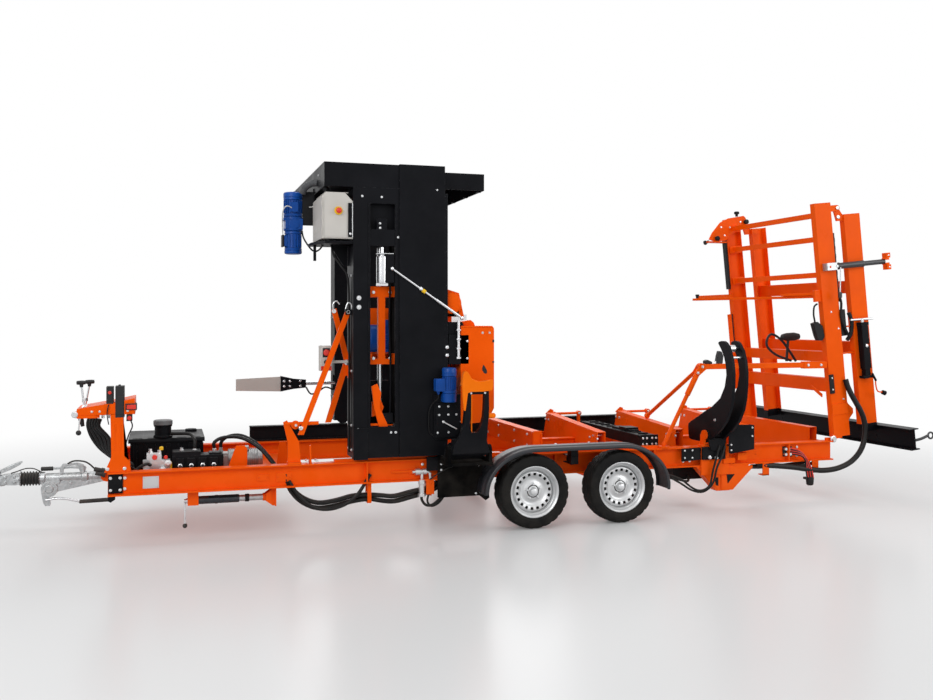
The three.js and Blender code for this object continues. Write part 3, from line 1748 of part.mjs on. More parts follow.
// Main motor: a foot-mounted motor on the plate at the far end of the head, its shaft towards the wheels
const motorFootY = motorPlateY0 - clear;
const motorY = motorFootY - mainMotorFootHeight - mainMotorDiameter / 2 + overrun;
const motorX1 = headBeamX - mainMotorShaftLength / 2;
const motorX0 = motorX1 - mainMotorLength;
const mainMotor = join(
  bar('x', motorY, mainMotorZ, motorX0, motorX1, mainMotorDiameter),
  block(
    motorX0 + mainMotorBoxSize / 2,
    motorX1 - mainMotorBoxSize / 2,
    motorY,
    motorFootY,
    mainMotorZ - mainMotorBoxSize,
    mainMotorZ + mainMotorBoxSize,
  ),
  block(
    motorX0 + mainMotorBoxSize,
    motorX0 + mainMotorBoxSize * 2,
    motorY - mainMotorBoxSize / 2,
    motorY + mainMotorBoxSize / 2,
    mainMotorZ,
    mainMotorZ + mainMotorDiameter / 2 + mainMotorBoxHeight,
  ),
  bar('x', motorY, mainMotorZ, motorX1 - overrun, motorX1 + mainMotorShaftLength, mainMotorShaftDiameter),
);
head.add(piece('main_motor', mainMotor, blueMotor()));

// Blade guide: an arm behind the blade that carries a roller just above the cutting run
const guideX0 = headBeamX1 + clear;
const guideArmX0 = bladeX0 + bladeWidth + guideBladeAir;
const guideArmX1 = guideArmX0 + guideArmThickness;
const bladeLowTop = bandWheelAxleZ - bladeInner;
const guideZ = bladeLowTop + guideBladeGap + guideRollerDiameter / 2;
const guideArm = join(
  block(
    guideX0,
    guideArmX1,
    guideY - guideArmWidth / 2,
    guideY + guideArmWidth / 2,
    headBeamBottom,
    headBeamBottom + guideArmWidth,
  ),
  block(
    guideArmX0,
    guideArmX1,
    guideY - guideArmWidth / 2,
    guideY + guideArmWidth / 2,
    guideZ,
    headBeamBottom + guideArmWidth,
  ),
  bar('x', guideY, guideZ, bladeX0, guideArmX1, guideRollerDiameter),
);
head.add(piece('blade_guide', guideArm, zincSteel()));
gantry.add(head);
sawmill.add(gantry);

// Front log loader: a bracket on the beam and twin arms that swing outwards on a long pin
const frontBracketX0 = frontLoaderX - frontBracketLength / 2;
const frontBracketX1 = frontBracketX0 + frontBracketLength;
const shelfZ1 = frontLoaderPivotZ - frontBracketShelfDrop;
const earY0 = frontLoaderPivotY - frontLoaderArmWidth / 2;
const frontBracketY0 = nearOuterY - clear - frontBracketThickness;

function loaderEar(x0) {
  return join(
    block(
      x0,
      x0 + frontBracketThickness,
      frontLoaderPivotY,
      frontBracketY0 + overrun,
      shelfZ1 - frontBracketShelf,
      shelfZ1,
    ),
    bar(
      'x',
      frontLoaderPivotY,
      frontLoaderPivotZ,
      x0,
      x0 + frontBracketThickness,
      frontLoaderArmWidth,
    ),
    block(
      x0,
      x0 + frontBracketThickness,
      earY0,
      frontLoaderPivotY + frontLoaderArmWidth / 2,
      shelfZ1 - frontBracketShelf,
      frontLoaderPivotZ,
    ),
  );
}

const earOffset = frontLoaderArmSpacing / 2 + frontLoaderArmThickness / 2 + runningGap;
const frontBracket = join(
  block(
    frontBracketX0,
    frontBracketX1,
    frontBracketY0,
    nearOuterY - clear,
    beamBottom - frontBracketDrop,
    shelfZ1,
  ),
  block(
    frontBracketX0,
    frontBracketX1,
    earY0,
    frontBracketY0 + overrun,
    shelfZ1 - frontBracketShelf - frontBracketThickness,
    shelfZ1 - frontBracketShelf,
  ),
  loaderEar(frontLoaderX - earOffset - frontBracketThickness),
  loaderEar(frontLoaderX + earOffset),
  bar(
    'x',
    frontLoaderPivotY,
    frontLoaderPivotZ,
    frontLoaderX - earOffset - overrun,
    frontLoaderX + earOffset + overrun,
    loaderPinDiameter,
  ),
);
sawmill.add(piece('front_loader_bracket', frontBracket, blackPaint()));

const loader = at(frontLoaderX, frontLoaderPivotY, frontLoaderPivotZ);
const armHalf = frontLoaderArmWidth / 2;
const armBend = frontLoaderArmLean * frontLoaderBendShare;
const armBase = bar(
  'x',
  0,
  0,
  -frontLoaderArmThickness / 2,
  frontLoaderArmThickness / 2,
  frontLoaderArmWidth,
);
const armBlade = prism('x', [
  [armHalf, 0],
  [armHalf - armBend, frontLoaderArmRise / 2],
  [-frontLoaderArmLean + frontLoaderArmTip / 2, frontLoaderArmRise],
  [-frontLoaderArmLean - frontLoaderArmTip / 2, frontLoaderArmRise],
  [-armHalf - armBend, frontLoaderArmRise / 2],
  [-armHalf, 0],
], -frontLoaderArmThickness / 2, frontLoaderArmThickness / 2);
const tieTop = frontLoaderArmRise - frontLoaderTieDrop;
const tieHalf = frontLoaderArmSpacing / 2 + frontLoaderArmThickness / 2;
const tie = block(
  -tieHalf,
  tieHalf,
  -frontLoaderArmLean - frontLoaderTieThickness,
  -frontLoaderArmLean + frontLoaderTieThickness,
  tieTop - frontLoaderTieHeight,
  tieTop,
);
const pinBore = bore('x', 0, 0, -tieHalf - overrun, tieHalf + overrun, loaderPinDiameter);
const spacerTube = bar('x', 0, 0, -tieHalf, tieHalf, loaderPinDiameter + frontBracketShelf);
const arms = [-1, 1].map((side) => {
  const offset = (side * frontLoaderArmSpacing) / 2;
  return armBase.add(armBlade).translate([offset, 0, 0]);
});
const frontLoader = join(...arms, tie, spacerTube).subtract(pinBore);
loader.add(piece('front_loader_arm', frontLoader, blackPaint()));
sawmill.add(loader);

// Rear log loader: two curved horns on a pin over the beam's outer edge
const rearLoader = at(rearLoaderX, hornPivotY, hornPivotZ);
const hornOffset = hornSpacing / 2;
const hornVector = ([reach, rise]) => new THREE.Vector2(reach * hornReach, rise * hornRise);
const hornShape = new THREE.Shape();
hornShape.moveTo(...hornVector(hornOuterShares[0]).toArray());
hornShape.splineThru(hornOuterShares.slice(1).map(hornVector));
hornShape.lineTo(...hornVector(hornInnerShares[0]).toArray());
hornShape.splineThru(hornInnerShares.slice(1).map(hornVector));
const hornPoints = hornShape.extractPoints(hornSteps).shape.map((point) => [point.x, point.y]);
const horn = prism('x', hornPoints, -hornThickness / 2, hornThickness / 2);
const hornTubeHalf = hornOffset + hornThickness / 2;
const hornTube = bar('x', 0, 0, -hornTubeHalf, hornTubeHalf, loaderPinDiameter + frontBracketShelf);
const hornBore = bore('x', 0, 0, -hornTubeHalf - overrun, hornTubeHalf + overrun, loaderPinDiameter);
const hornTie = block(
  -hornTubeHalf,
  hornTubeHalf,
  hornBaseInset - hornTieThickness,
  hornBaseInset,
  0,
  hornTieHeight,
);
const horns = join(
  horn.translate([-hornOffset, 0, 0]),
  horn.translate([hornOffset, 0, 0]),
  hornTube,
  hornTie,
).subtract(hornBore);
rearLoader.add(piece('rear_loader_horns', horns, blackPaint()));
sawmill.add(rearLoader);

const hornEarOffset = hornTubeHalf + runningGap;
const rearBracketY0 = nearOuterY - rearBracketThickness;

function hornEar(x0) {
  return join(
    bar('x', hornPivotY, hornPivotZ, x0, x0 + rearBracketEarThickness, hornEarDiameter),
    block(
      x0,
      x0 + rearBracketEarThickness,
      rearBracketY0,
      nearBeamY,
      beamTop - overrun,
      hornPivotZ,
    ),
  );
}

const rearBracketX0 = rearLoaderX - rearBracketLength / 2;
const rearBracket = join(
  block(
    rearBracketX0,
    rearBracketX0 + rearBracketLength,
    rearBracketY0,
    nearOuterY + overrun,
    beamBottom - rearBracketDrop,
    beamTop + rearBracketThickness,
  ),
  block(
    rearBracketX0,
    rearBracketX0 + rearBracketLength,
    rearBracketY0,
    nearBeamY,
    beamTop - overrun,
    beamTop + rearBracketThickness,
  ),
  hornEar(rearLoaderX - hornEarOffset - rearBracketEarThickness),
  hornEar(rearLoaderX + hornEarOffset),
  bar(
    'x',
    hornPivotY,
    hornPivotZ,
    rearLoaderX - hornEarOffset - overrun,
    rearLoaderX + hornEarOffset + overrun,
    loaderPinDiameter,
  ),
);
nearBeamWelds.push(rearBracket);

// Outrigger bracket: a tapered plate box welded under the near beam
const outriggerX0 = rearLoaderX - outriggerLength / 3;
const outrigger = prism('y', [
  [outriggerX0, beamBottom + overrun],
  [outriggerX0 + outriggerLength / 2 - outriggerFootLength / 2, beamBottom - outriggerDrop],
  [outriggerX0 + outriggerLength / 2 + outriggerFootLength / 2, beamBottom - outriggerDrop],
  [outriggerX0 + outriggerLength, beamBottom + overrun],
], nearBeamY - outriggerWidth / 2, nearBeamY + outriggerWidth / 2);
const outriggerHollow = block(
  outriggerX0 + outriggerLength / 3,
  outriggerX0 + (outriggerLength * 2) / 3,
  nearBeamY - outriggerWidth,
  nearBeamY + outriggerWidth / 4,
  beamBottom - outriggerDrop / 2,
  beamBottom - rearBracketThickness,
);
nearBeamWelds.push(outrigger.subtract(outriggerHollow));

// Prop: two struts to an apex, and a bar back to the folded extension, which leans on its end
const lean = THREE.MathUtils.degToRad(foldLean);
const hingeX = beamRearX + hingeBehindBeam;
const hingeZ = beamTop + hingeAboveBeam;
const propBarEnd = hingeX + (hingeAboveBeam - (propApexZ - hingeZ) * Math.sin(lean)) / Math.cos(lean)
  - propBarHeight / 2 * Math.tan(lean) - clear;
const bunkSlope = (bunkFarHeight - bunkNearHeight) / (farEnd - nearEnd);
const bunkUnderFoot = beamTop + bunkNearHeight + bunkSlope * (propSecondFootY - nearEnd);
const secondFootZ = bunkUnderFoot + clear + propFootBall / 2 / Math.cos(Math.atan(bunkSlope));
const secondFootX = bunkSecondX + bunkWidth / 2;
const prop = join(
  strut([propFootX, propY, beamTop + propPadThickness], [propApexX, propY, propApexZ], propTubeDiameter),
  strut(
    [secondFootX, propSecondFootY, secondFootZ],
    [propApexX, propY, propApexZ],
    propTubeDiameter,
  ),
  ball(secondFootX, propSecondFootY, secondFootZ, propFootBall),
  bar(
    'z',
    propFootX,
    propY,
    beamTop + clear,
    beamTop + clear + propPadThickness,
    propPadDiameter,
    smallSides,
  ),
  bar('y', propApexX, propApexZ, propY - propBarWidth / 2, propY + propBarWidth / 2, propEyeDiameter),
  block(
    propApexX,
    propBarEnd,
    propY - propBarWidth / 2,
    propY + propBarWidth / 2,
    propApexZ - propBarHeight / 2,
    propApexZ + propBarHeight / 2,
  ),
);
sawmill.add(piece('extension_prop', prop, orangePaint()));

// Folding extension, first stage: drawn upright along its own length and leaned forward about the hinge
const firstStage = at(hingeX, 0, hingeZ);
firstStage.rotation.y = -lean;
const postFront = hingeAboveBeam;
const postRear = postFront + postDepth;
const nearPostY0 = nearBeamY - postWidth / 2;
const farPostY0 = farBeamY - postWidth / 2;
const farPostY1 = farPostY0 + postWidth;

function post(y0, openSide, from, to, front) {
  const rear = front + postDepth;
  const body = block(front, rear, y0, y0 + postWidth, from, to);
  const hollowY0 = openSide > 0 ? y0 + postWall : y0 - overrun;
  const hollow = block(
    front + postWall,
    rear - postWall,
    hollowY0,
    hollowY0 + postWidth - postWall + overrun,
    from - overrun,
    to + overrun,
  );
  return body.subtract(hollow);
}

function rung(front, depth, z, height) {
  return block(
    front,
    front + depth,
    nearPostY0 + postWall / 2,
    farPostY1 - postWall / 2,
    z,
    z + height,
  );
}

const rungFront = postFront + (postDepth - rungDepth) / 2;
const hingeEye = hingePinDiameter + hingeEyeWall * 2;
const baseEar = (y) => join(
  bar('y', 0, 0, y, y + hingeEarThickness, hingeEye),
  block(0, postFront + postDepth / 2, y, y + hingeEarThickness, 0, postFoot * 3),
);
const baseBore = bore('y', 0, 0, nearPostY0 - overrun, farPostY1 + overrun, hingePinDiameter);
const stageHingeU = postRear + stageGap / 2;
const stageHingeV = firstStageLength - hingeEarDiameter;
const stageEar = (y) => join(
  bar('y', stageHingeU, stageHingeV, y, y + hingeEarThickness, hingeEarDiameter),
  block(
    postRear - overrun,
    stageHingeU,
    y,
    y + hingeEarThickness,
    stageHingeV - hingeEarDiameter / 2,
    stageHingeV + hingeEarDiameter / 2,
  ),
);
const stagePin = (from, to) => bar('y', stageHingeU, stageHingeV, from, to, bracePinDiameter, smallSides);
const innerEarNearY = nearPostY0 + hingeEarThickness + runningGap;
const innerEarFarY = farPostY1 - hingeEarThickness * 2 - runningGap;
const legPinU = postFront + extensionLegBoxSize;
const extensionLegY0 = nearPostY0 - clear - extensionLegBoxSize;
const firstFrame = join(
  post(nearPostY0, 1, postFoot, firstStageLength, postFront),
  post(farPostY0, -1, postFoot, firstStageLength, postFront),
  rung(rungFront, rungDepth, rungTopAt, rungHeight),
  rung(rungFront, rungDepth, rungSecondAt, rungHeight),
  rung(rungFront, rungDepth, rungThirdAt, rungHeight),
  rung(rungFront, rungDepth, rungLowAt, rungHeight * 2),
  rung(rungFront, rungDepth, rungBaseAt, rungBaseHeight),
  baseEar(nearPostY0),
  baseEar(farPostY1 - hingeEarThickness),
  stageEar(nearPostY0),
  stageEar(farPostY1 - hingeEarThickness),
  stagePin(nearPostY0, innerEarNearY + hingeEarThickness),
  stagePin(innerEarFarY, farPostY1),
  bar('y', legPinU, extensionLegAt, extensionLegY0, nearPostY0 + overrun, bracePinDiameter, smallSides),
  block(
    postFront - stopBarSize,
    postFront + overrun,
    farPostY0,
    farPostY0 + stopBarLength,
    stopBarAt,
    stopBarAt + stopBarSize,
  ),
).subtract(baseBore);
firstStage.add(piece('extension_frame', firstFrame, orangePaint()));

// Chassis side of that hinge: an ear and a pin on the end of each long beam
function chassisHinge(earY, pinFrom, pinTo) {
  return join(
    bar('y', hingeX, hingeZ, earY, earY + hingeEarThickness, hingeEye),
    block(
      beamRearX - hingeEarDiameter,
      hingeX,
      earY,
      earY + hingeEarThickness,
      beamTop - overrun,
      hingeZ + hingeEye / 2,
    ),
    bar('y', hingeX, hingeZ, pinFrom, pinTo, hingePinDiameter),
  );
}
nearBeamWelds.push(chassisHinge(innerEarNearY, nearPostY0, innerEarNearY + overrun));
farBeamWelds.push(chassisHinge(innerEarFarY, innerEarFarY, farPostY1));

// Folding extension, second stage: hung from the first stage's top, with the black end rail across its foot
const secondStage = at(stageHingeU, 0, stageHingeV);
const secondFront = stageGap / 2;
const secondTop = stageHingeV - firstStageLength - stageEndGap;
const secondFoot = secondTop - secondStageLength;
const innerEar = (y) => prism('y', [
  [-hingeEarDiameter / 2, 0],
  [hingeEarDiameter / 2, 0],
  [secondFront - runningGap, secondTop],
  [secondFront + postDepth / 2, secondTop],
  [secondFront + postDepth / 2, secondTop - hingeEarDiameter],
  [0, secondTop - hingeEarDiameter],
], y, y + hingeEarThickness);
const innerEye = (y) => bar('y', 0, 0, y, y + hingeEarThickness, hingeEarDiameter);
const innerEarBore = bore(
  'y',
  0,
  0,
  nearPostY0 - overrun,
  farPostY1 + overrun,
  bracePinDiameter,
  smallSides,
);
const secondRung = (z) => rung(secondFront + (postDepth - rungDepth) / 2, rungDepth, z, secondRungHeight);
const endRailU = secondFront + postDepth - endRailOverlap;
const endRailTop = secondFoot + endRailRise;
const endRail = prism('y', [
  [endRailU, endRailTop - endRailHeight],
  [endRailU + endRailFlange, endRailTop - endRailHeight],
  [endRailU + endRailFlange, endRailTop - endRailHeight + endRailWall],
  [endRailU + (endRailFlange + endRailWall) / 2, endRailTop - endRailHeight + endRailWall],
  [endRailU + (endRailFlange + endRailWall) / 2, endRailTop - endRailWall],
  [endRailU + endRailFlange, endRailTop - endRailWall],
  [endRailU + endRailFlange, endRailTop],
  [endRailU, endRailTop],
  [endRailU, endRailTop - endRailWall],
  [endRailU + (endRailFlange - endRailWall) / 2, endRailTop - endRailWall],
  [endRailU + (endRailFlange - endRailWall) / 2, endRailTop - endRailHeight + endRailWall],
  [endRailU, endRailTop - endRailHeight + endRailWall],
], -endRailHalfLength, endRailHalfLength);
const jackZ = jackAt - stageHingeV;
const jackU = secondFront + postDepth / 2;
const jackY0 = nearPostY0 - clear - jackTubeSize;
const secondFrame = join(
  post(nearPostY0, 1, secondFoot, secondTop, secondFront),
  post(farPostY0, -1, secondFoot, secondTop, secondFront),
  innerEar(innerEarNearY),
  innerEar(innerEarFarY),
  innerEye(innerEarNearY),
  innerEye(innerEarFarY),
  secondRung(secondRungAt - stageHingeV),
  secondRung(secondRungHighAt - stageHingeV),
  bar('y', jackU, jackZ, jackY0, nearPostY0 + overrun, bracePinDiameter, smallSides),
  endRail,
).subtract(innerEarBore);
secondStage.add(piece('extension_end_frame', secondFrame, orangePaint()));

// Jack on the end frame's near post: a box tube with its foot below and a tee handle on top
const jack = at(jackU, 0, jackZ);
const jackHalf = jackTubeSize / 2;
const jackMidY = jackY0 + jackHalf;
const jackTop = jackTubeLength / 2;
const jackTee = jackTop + jackHalf;
const jackShape = join(
  block(-jackHalf, jackHalf, jackY0, jackY0 + jackTubeSize, -jackTop, jackTop),
  block(
    -jackInnerSize / 2,
    jackInnerSize / 2,
    jackMidY - jackInnerSize / 2,
    jackMidY + jackInnerSize / 2,
    -jackTop - jackInnerLength,
    overrun - jackTop,
  ),
  block(
    -jackPlateSize / 2,
    jackPlateSize / 2,
    jackMidY - jackHalf,
    jackMidY + jackHalf,
    -jackTop - jackInnerLength - extensionFootThickness,
    -jackTop - jackInnerLength,
  ),
  bar('z', 0, jackMidY, jackTop - overrun, jackTee, jackHandleDiameter, smallSides),
  bar('x', jackMidY, jackTee, -jackHandleLength / 2, jackHandleLength / 2, jackHandleDiameter, smallSides),
).subtract(bore('y', 0, 0, jackY0 - overrun, nearPostY0, bracePinDiameter, smallSides));
jack.add(piece('extension_jack', jackShape, zincSteel()));
secondStage.add(jack);
firstStage.add(secondStage);

// Support leg of the extension: a box on the near post with its tube and forked foot
const extensionLeg = at(legPinU, 0, extensionLegAt);
const extensionLegMidY = extensionLegY0 + extensionLegBoxSize / 2;
const legBoxHalf = extensionLegBoxSize / 2;
const footU = extensionLegLength - extensionFootThickness;
const forkFoot = block(
  footU,
  extensionLegLength,
  extensionLegY0,
  extensionLegY0 + extensionLegBoxSize,
  -extensionFootWidth / 2,
  extensionFootWidth / 2,
);
const forkNotch = block(
  footU - overrun,
  extensionLegLength + extensionFootHole,
  extensionLegY0 - overrun,
  extensionLegY0 + extensionLegBoxSize + overrun,
  -extensionFootHole / 2,
  extensionFootHole / 2,
);
const forkProngs = [-1, 1].map((side) => block(
  extensionLegLength - overrun,
  extensionLegLength + extensionFootHole,
  extensionLegY0,
  extensionLegY0 + extensionLegBoxSize,
  side > 0 ? extensionFootWidth / 2 - extensionFootHole : -extensionFootWidth / 2,
  side > 0 ? extensionFootWidth / 2 : extensionFootHole - extensionFootWidth / 2,
));
const extensionLegShape = join(
  block(
    -legBoxHalf,
    extensionLegBoxLength - legBoxHalf,
    extensionLegY0,
    extensionLegY0 + extensionLegBoxSize,
    -legBoxHalf,
    legBoxHalf,
  ),
  forkFoot,
  ...forkProngs,
).subtract(forkNotch).add(
  bar('x', extensionLegMidY, 0, legBoxHalf, footU + overrun, extensionLegDiameter),
).subtract(bore('y', 0, 0, extensionLegY0 - overrun, nearPostY0, bracePinDiameter, smallSides));
extensionLeg.add(piece('extension_leg', extensionLegShape, orangePaint()));
firstStage.add(extensionLeg);
sawmill.add(firstStage);

// Hoses from the power pack to the loader, slung as one bundle in two straps under the near beam
const hoseRoute = [
  [-1600, -728, 318],
  [-1520, -728, 262],
  [-1407, -728, 214],
  [-1280, -728, 222],
  [-1150, -728, 250],
  [-1028, -728, 256],
  [-930, -728, 242],
  [-830, -728, 232],
  [-700, -728, 258],
  [-600, -728, 285],
  [-530, -728, 288],
].map(([x, y, z]) => new THREE.Vector3(x, y, z));
const hosePath = new THREE.CatmullRomCurve3(hoseRoute);
const hoseSection = new THREE.Shape(Array.from({ length: smallSides }, (_, side) => {
  const angle = (Math.PI * 2 * side) / smallSides;
  return new THREE.Vector2(Math.cos(angle), Math.sin(angle)).multiplyScalar(hoseBundleDiameter / 2);
}));
const hoseBundle = solid(new THREE.ExtrudeGeometry(hoseSection, {
  steps: hoseSteps,
  bevelEnabled: false,
  extrudePath: hosePath,
}));
sawmill.add(piece('hose_bundle', hoseBundle, blackRubber()));
const hoseStrap = ([x, y, z]) => {
  const half = hoseBundleDiameter / 2 + hoseStrapGap;
  const outer = half + hoseStrapWall;
  return block(
    x - hoseStrapWidth / 2,
    x + hoseStrapWidth / 2,
    y - outer,
    y + outer,
    z - outer,
    beamBottom + overrun,
  )
    .subtract(block(x - hoseStrapWidth, x + hoseStrapWidth, y - half, y + half, z - half, z + half))
    .subtract(block(
      x - hoseStrapWidth,
      x + hoseStrapWidth,
      y - half,
      y + half,
      z + outer,
      beamBottom - hoseStrapWall,
    ));
};
const strapPlaces = [hoseRoute[5], hoseRoute.at(-1).clone().lerp(hoseRoute.at(-2), 0.5)];
nearBeamWelds.push(...strapPlaces.map((place) => hoseStrap(place.toArray())));

sawmill.add(piece('near_beam', join(longBeam(nearBeamY), ...nearBeamWelds), orangePaint()));
sawmill.add(piece('far_beam', join(longBeam(farBeamY), ...farBeamWelds), orangePaint()));

export default sawmill;
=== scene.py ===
import math

import bmesh
import bpy
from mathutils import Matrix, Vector


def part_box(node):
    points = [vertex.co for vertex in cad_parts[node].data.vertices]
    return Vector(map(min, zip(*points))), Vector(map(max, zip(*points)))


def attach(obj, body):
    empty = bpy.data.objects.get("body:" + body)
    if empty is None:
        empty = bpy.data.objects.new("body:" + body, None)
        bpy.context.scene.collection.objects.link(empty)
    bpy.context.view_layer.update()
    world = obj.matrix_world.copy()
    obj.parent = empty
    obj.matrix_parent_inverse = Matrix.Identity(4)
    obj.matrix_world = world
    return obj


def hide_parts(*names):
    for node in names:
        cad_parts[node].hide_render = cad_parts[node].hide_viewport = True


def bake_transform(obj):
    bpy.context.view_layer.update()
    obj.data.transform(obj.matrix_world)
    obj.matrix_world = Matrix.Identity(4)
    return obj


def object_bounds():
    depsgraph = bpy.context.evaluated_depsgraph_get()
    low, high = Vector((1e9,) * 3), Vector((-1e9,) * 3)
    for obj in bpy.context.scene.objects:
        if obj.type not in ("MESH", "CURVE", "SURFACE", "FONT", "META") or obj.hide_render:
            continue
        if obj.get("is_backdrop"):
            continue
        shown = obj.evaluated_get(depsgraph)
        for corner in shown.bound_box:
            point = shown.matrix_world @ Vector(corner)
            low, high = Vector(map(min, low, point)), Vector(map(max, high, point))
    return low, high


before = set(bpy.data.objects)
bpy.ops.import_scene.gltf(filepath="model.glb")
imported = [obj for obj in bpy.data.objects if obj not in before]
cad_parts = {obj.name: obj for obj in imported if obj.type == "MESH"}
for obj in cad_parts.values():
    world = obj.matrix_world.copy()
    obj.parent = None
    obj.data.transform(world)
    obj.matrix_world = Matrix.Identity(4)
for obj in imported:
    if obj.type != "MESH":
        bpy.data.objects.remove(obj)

cad_low, cad_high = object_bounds()

# Camera and studio: the view of the photograph from the loading side, level, at a standing person's
# height, over a plain pale floor with large soft lamps.
picture_width = 933
focal_pixels = 960
horizon_above_middle = 29
camera_data = bpy.data.cameras.new("studio_camera")
camera_data.lens = 36 * focal_pixels / picture_width
camera_data.shift_y = -horizon_above_middle / picture_width
camera_data.clip_end = 200
camera = bpy.data.objects.new("studio_camera", camera_data)
camera.location = (-2.471, -7.78, 1.567)
camera.rotation_euler = (math.radians(90), 0, math.radians(-17.4))
bpy.context.scene.collection.objects.link(camera)
bpy.context.scene.camera = camera
bpy.context.scene.view_settings.view_transform = "Standard"


def soft_lamp(name, place, aim, size, power):
    """A square soft box that looks at a point."""
    data = bpy.data.lights.new(name, "AREA")
    data.size = size
    data.energy = power
    lamp = bpy.data.objects.new(name, data)
    lamp.location = place
    lamp.rotation_euler = (Vector(aim) - Vector(place)).to_track_quat("-Z", "Y").to_euler()
    bpy.context.scene.collection.objects.link(lamp)


soft_lamp("lamp_front_left", (-6.5, -7.5, 5.5), (-0.5, -0.5, 1), 5, 350)
soft_lamp("lamp_front_right", (6.5, -7, 4), (1, -0.5, 1), 5, 225)
soft_lamp("lamp_above", (0.5, 0.5, 8.5), (0.3, 0, 0.5), 7, 300)
soft_lamp("lamp_back", (2, 8.5, 5), (0.5, 0, 1.2), 5, 170)


def new_material(name):
    """An empty node material with its output and a Principled shader joined to it."""
    made = bpy.data.materials.new(name)
    made.use_nodes = True
    tree = made.node_tree
    tree.nodes.clear()
    output = tree.nodes.new("ShaderNodeOutputMaterial")
    shader = tree.nodes.new("ShaderNodeBsdfPrincipled")
    tree.links.new(shader.outputs["BSDF"], output.inputs["Surface"])
    return made, tree, shader, output


def node(tree, kind, values=None, links=None, **settings):
    """One node with its settings, its constant sockets and its incoming links."""
    made = tree.nodes.new(kind)
    for key, value in settings.items():
        setattr(made, key, value)
    for socket, value in (values or {}).items():
        made.inputs[socket].default_value = value
    for socket, source in (links or {}).items():
        tree.links.new(source, made.inputs[socket])
    return made


def maths(tree, operation, first, second, **settings):
    """One sum, product or comparison of two sockets, or of a socket and a number."""
    made = node(tree, "ShaderNodeMath", operation=operation, **settings)
    for place, value in enumerate((first, second)):
        if isinstance(value, bpy.types.NodeSocket):
            tree.links.new(value, made.inputs[place])
        else:
            made.inputs[place].default_value = value
    return made.outputs[0]


def ramp(tree, source, low, high, start=0, end=1, **settings):
    """Maps a socket's values between low and high to those between start and end."""
    limits = {1: low, 2: high, 3: start, 4: end}
    return node(tree, "ShaderNodeMapRange", limits, {0: source}, **settings).outputs[0]


world = bpy.data.worlds.new("studio_world")
world.use_nodes = True
bpy.context.scene.world = world
sky = world.node_tree
sky.nodes.clear()
rays = sky.nodes.new("ShaderNodeLightPath")
seen = maths(sky, "MAXIMUM", rays.outputs["Is Camera Ray"], rays.outputs["Is Glossy Ray"])
seen = maths(sky, "MAXIMUM", seen, rays.outputs["Is Transmission Ray"])
ambient = node(sky, "ShaderNodeBackground", {"Color": (0.96, 0.98, 1, 1), "Strength": 0.36})
backdrop = node(sky, "ShaderNodeBackground", {"Color": (1, 1, 1, 1), "Strength": 1})
mixed = node(sky, "ShaderNodeMixShader", links={0: seen, 1: ambient.outputs[0], 2: backdrop.outputs[0]})
world_out = sky.nodes.new("ShaderNodeOutputWorld")
sky.links.new(mixed.outputs[0], world_out.inputs["Surface"])

floor_paint, tree, shader, output = new_material("studio_floor")
shader.inputs["Base Color"].default_value = (0.74, 0.74, 0.74, 1)
shader.inputs["Roughness"].default_value = 0.24
shader.inputs["IOR"].default_value = 1.22
rays = tree.nodes.new("ShaderNodeLightPath")
glow = node(tree, "ShaderNodeEmission", {"Color": (1, 1, 1, 1), "Strength": 1})
place = tree.nodes.new("ShaderNodeTexCoord")
away = node(
    tree, "ShaderNodeVectorMath", {1: (0.3, -0.6, 0)}, {0: place.outputs["Object"]}, operation="DISTANCE")
away = ramp(tree, away.outputs["Value"], 3.2, 9, 0.12, interpolation_type="SMOOTHSTEP")
part = maths(tree, "MULTIPLY", away, rays.outputs["Is Camera Ray"])
mixed = node(tree, "ShaderNodeMixShader", links={0: part, 1: shader.outputs[0], 2: glow.outputs[0]})
tree.links.new(mixed.outputs[0], output.inputs["Surface"])
floor_mesh = bpy.data.meshes.new("studio_floor")
floor_mesh.from_pydata([(-60, -30, 0), (60, -30, 0), (60, 90, 0), (-60, 90, 0)], [], [(0, 1, 2, 3)])
floor_mesh.materials.append(floor_paint)
floor = bpy.data.objects.new("studio_floor", floor_mesh)
bpy.context.scene.collection.objects.link(floor)
floor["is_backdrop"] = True

# Trailer beams and log bunks: hot-rolled I-beams and folded box bunks of structural steel, welded up and
# sprayed in one orange coat over primer, with the zinc-plated bolts left bare.


def effect_group(name, inputs, outputs):
    """A shader node group with named sockets; returns the tree, its input node and its output node."""
    group = bpy.data.node_groups.new(name, "ShaderNodeTree")
    for label, value in inputs.items():
        socket = group.interface.new_socket(name=label, in_out="INPUT", socket_type="NodeSocketFloat")
        socket.default_value = value
    for label, kind in outputs.items():
        group.interface.new_socket(name=label, in_out="OUTPUT", socket_type=kind)
    return group, group.nodes.new("NodeGroupInput"), group.nodes.new("NodeGroupOutput")


# Edge wear: where a corner has lost its coat, broken up by noise, and the normal of the rounded corner
edge_wear, given, out = effect_group(
    "edge_wear", {"Radius": 0.003, "Amount": 0.5, "Scale": 40},
    {"Wear": "NodeSocketFloat", "Rounded": "NodeSocketVector"})
rounded = node(edge_wear, "ShaderNodeBevel", links={"Radius": given.outputs["Radius"]}, samples=4)
surface = edge_wear.nodes.new("ShaderNodeNewGeometry")
facing = node(
    edge_wear, "ShaderNodeVectorMath", links={0: rounded.outputs["Normal"], 1: surface.outputs["Normal"]},
    operation="DOT_PRODUCT")
corner = ramp(edge_wear, facing.outputs["Value"], 0.995, 0.8)
place = edge_wear.nodes.new("ShaderNodeTexCoord")
chips = node(
    edge_wear, "ShaderNodeTexNoise", {"Detail": 5, "Roughness": 0.7},
    {"Vector": place.outputs["Object"], "Scale": given.outputs["Scale"]})
broken = ramp(edge_wear, chips.outputs["Fac"], 0.47, 0.62)
worn = maths(edge_wear, "MULTIPLY", corner, broken)
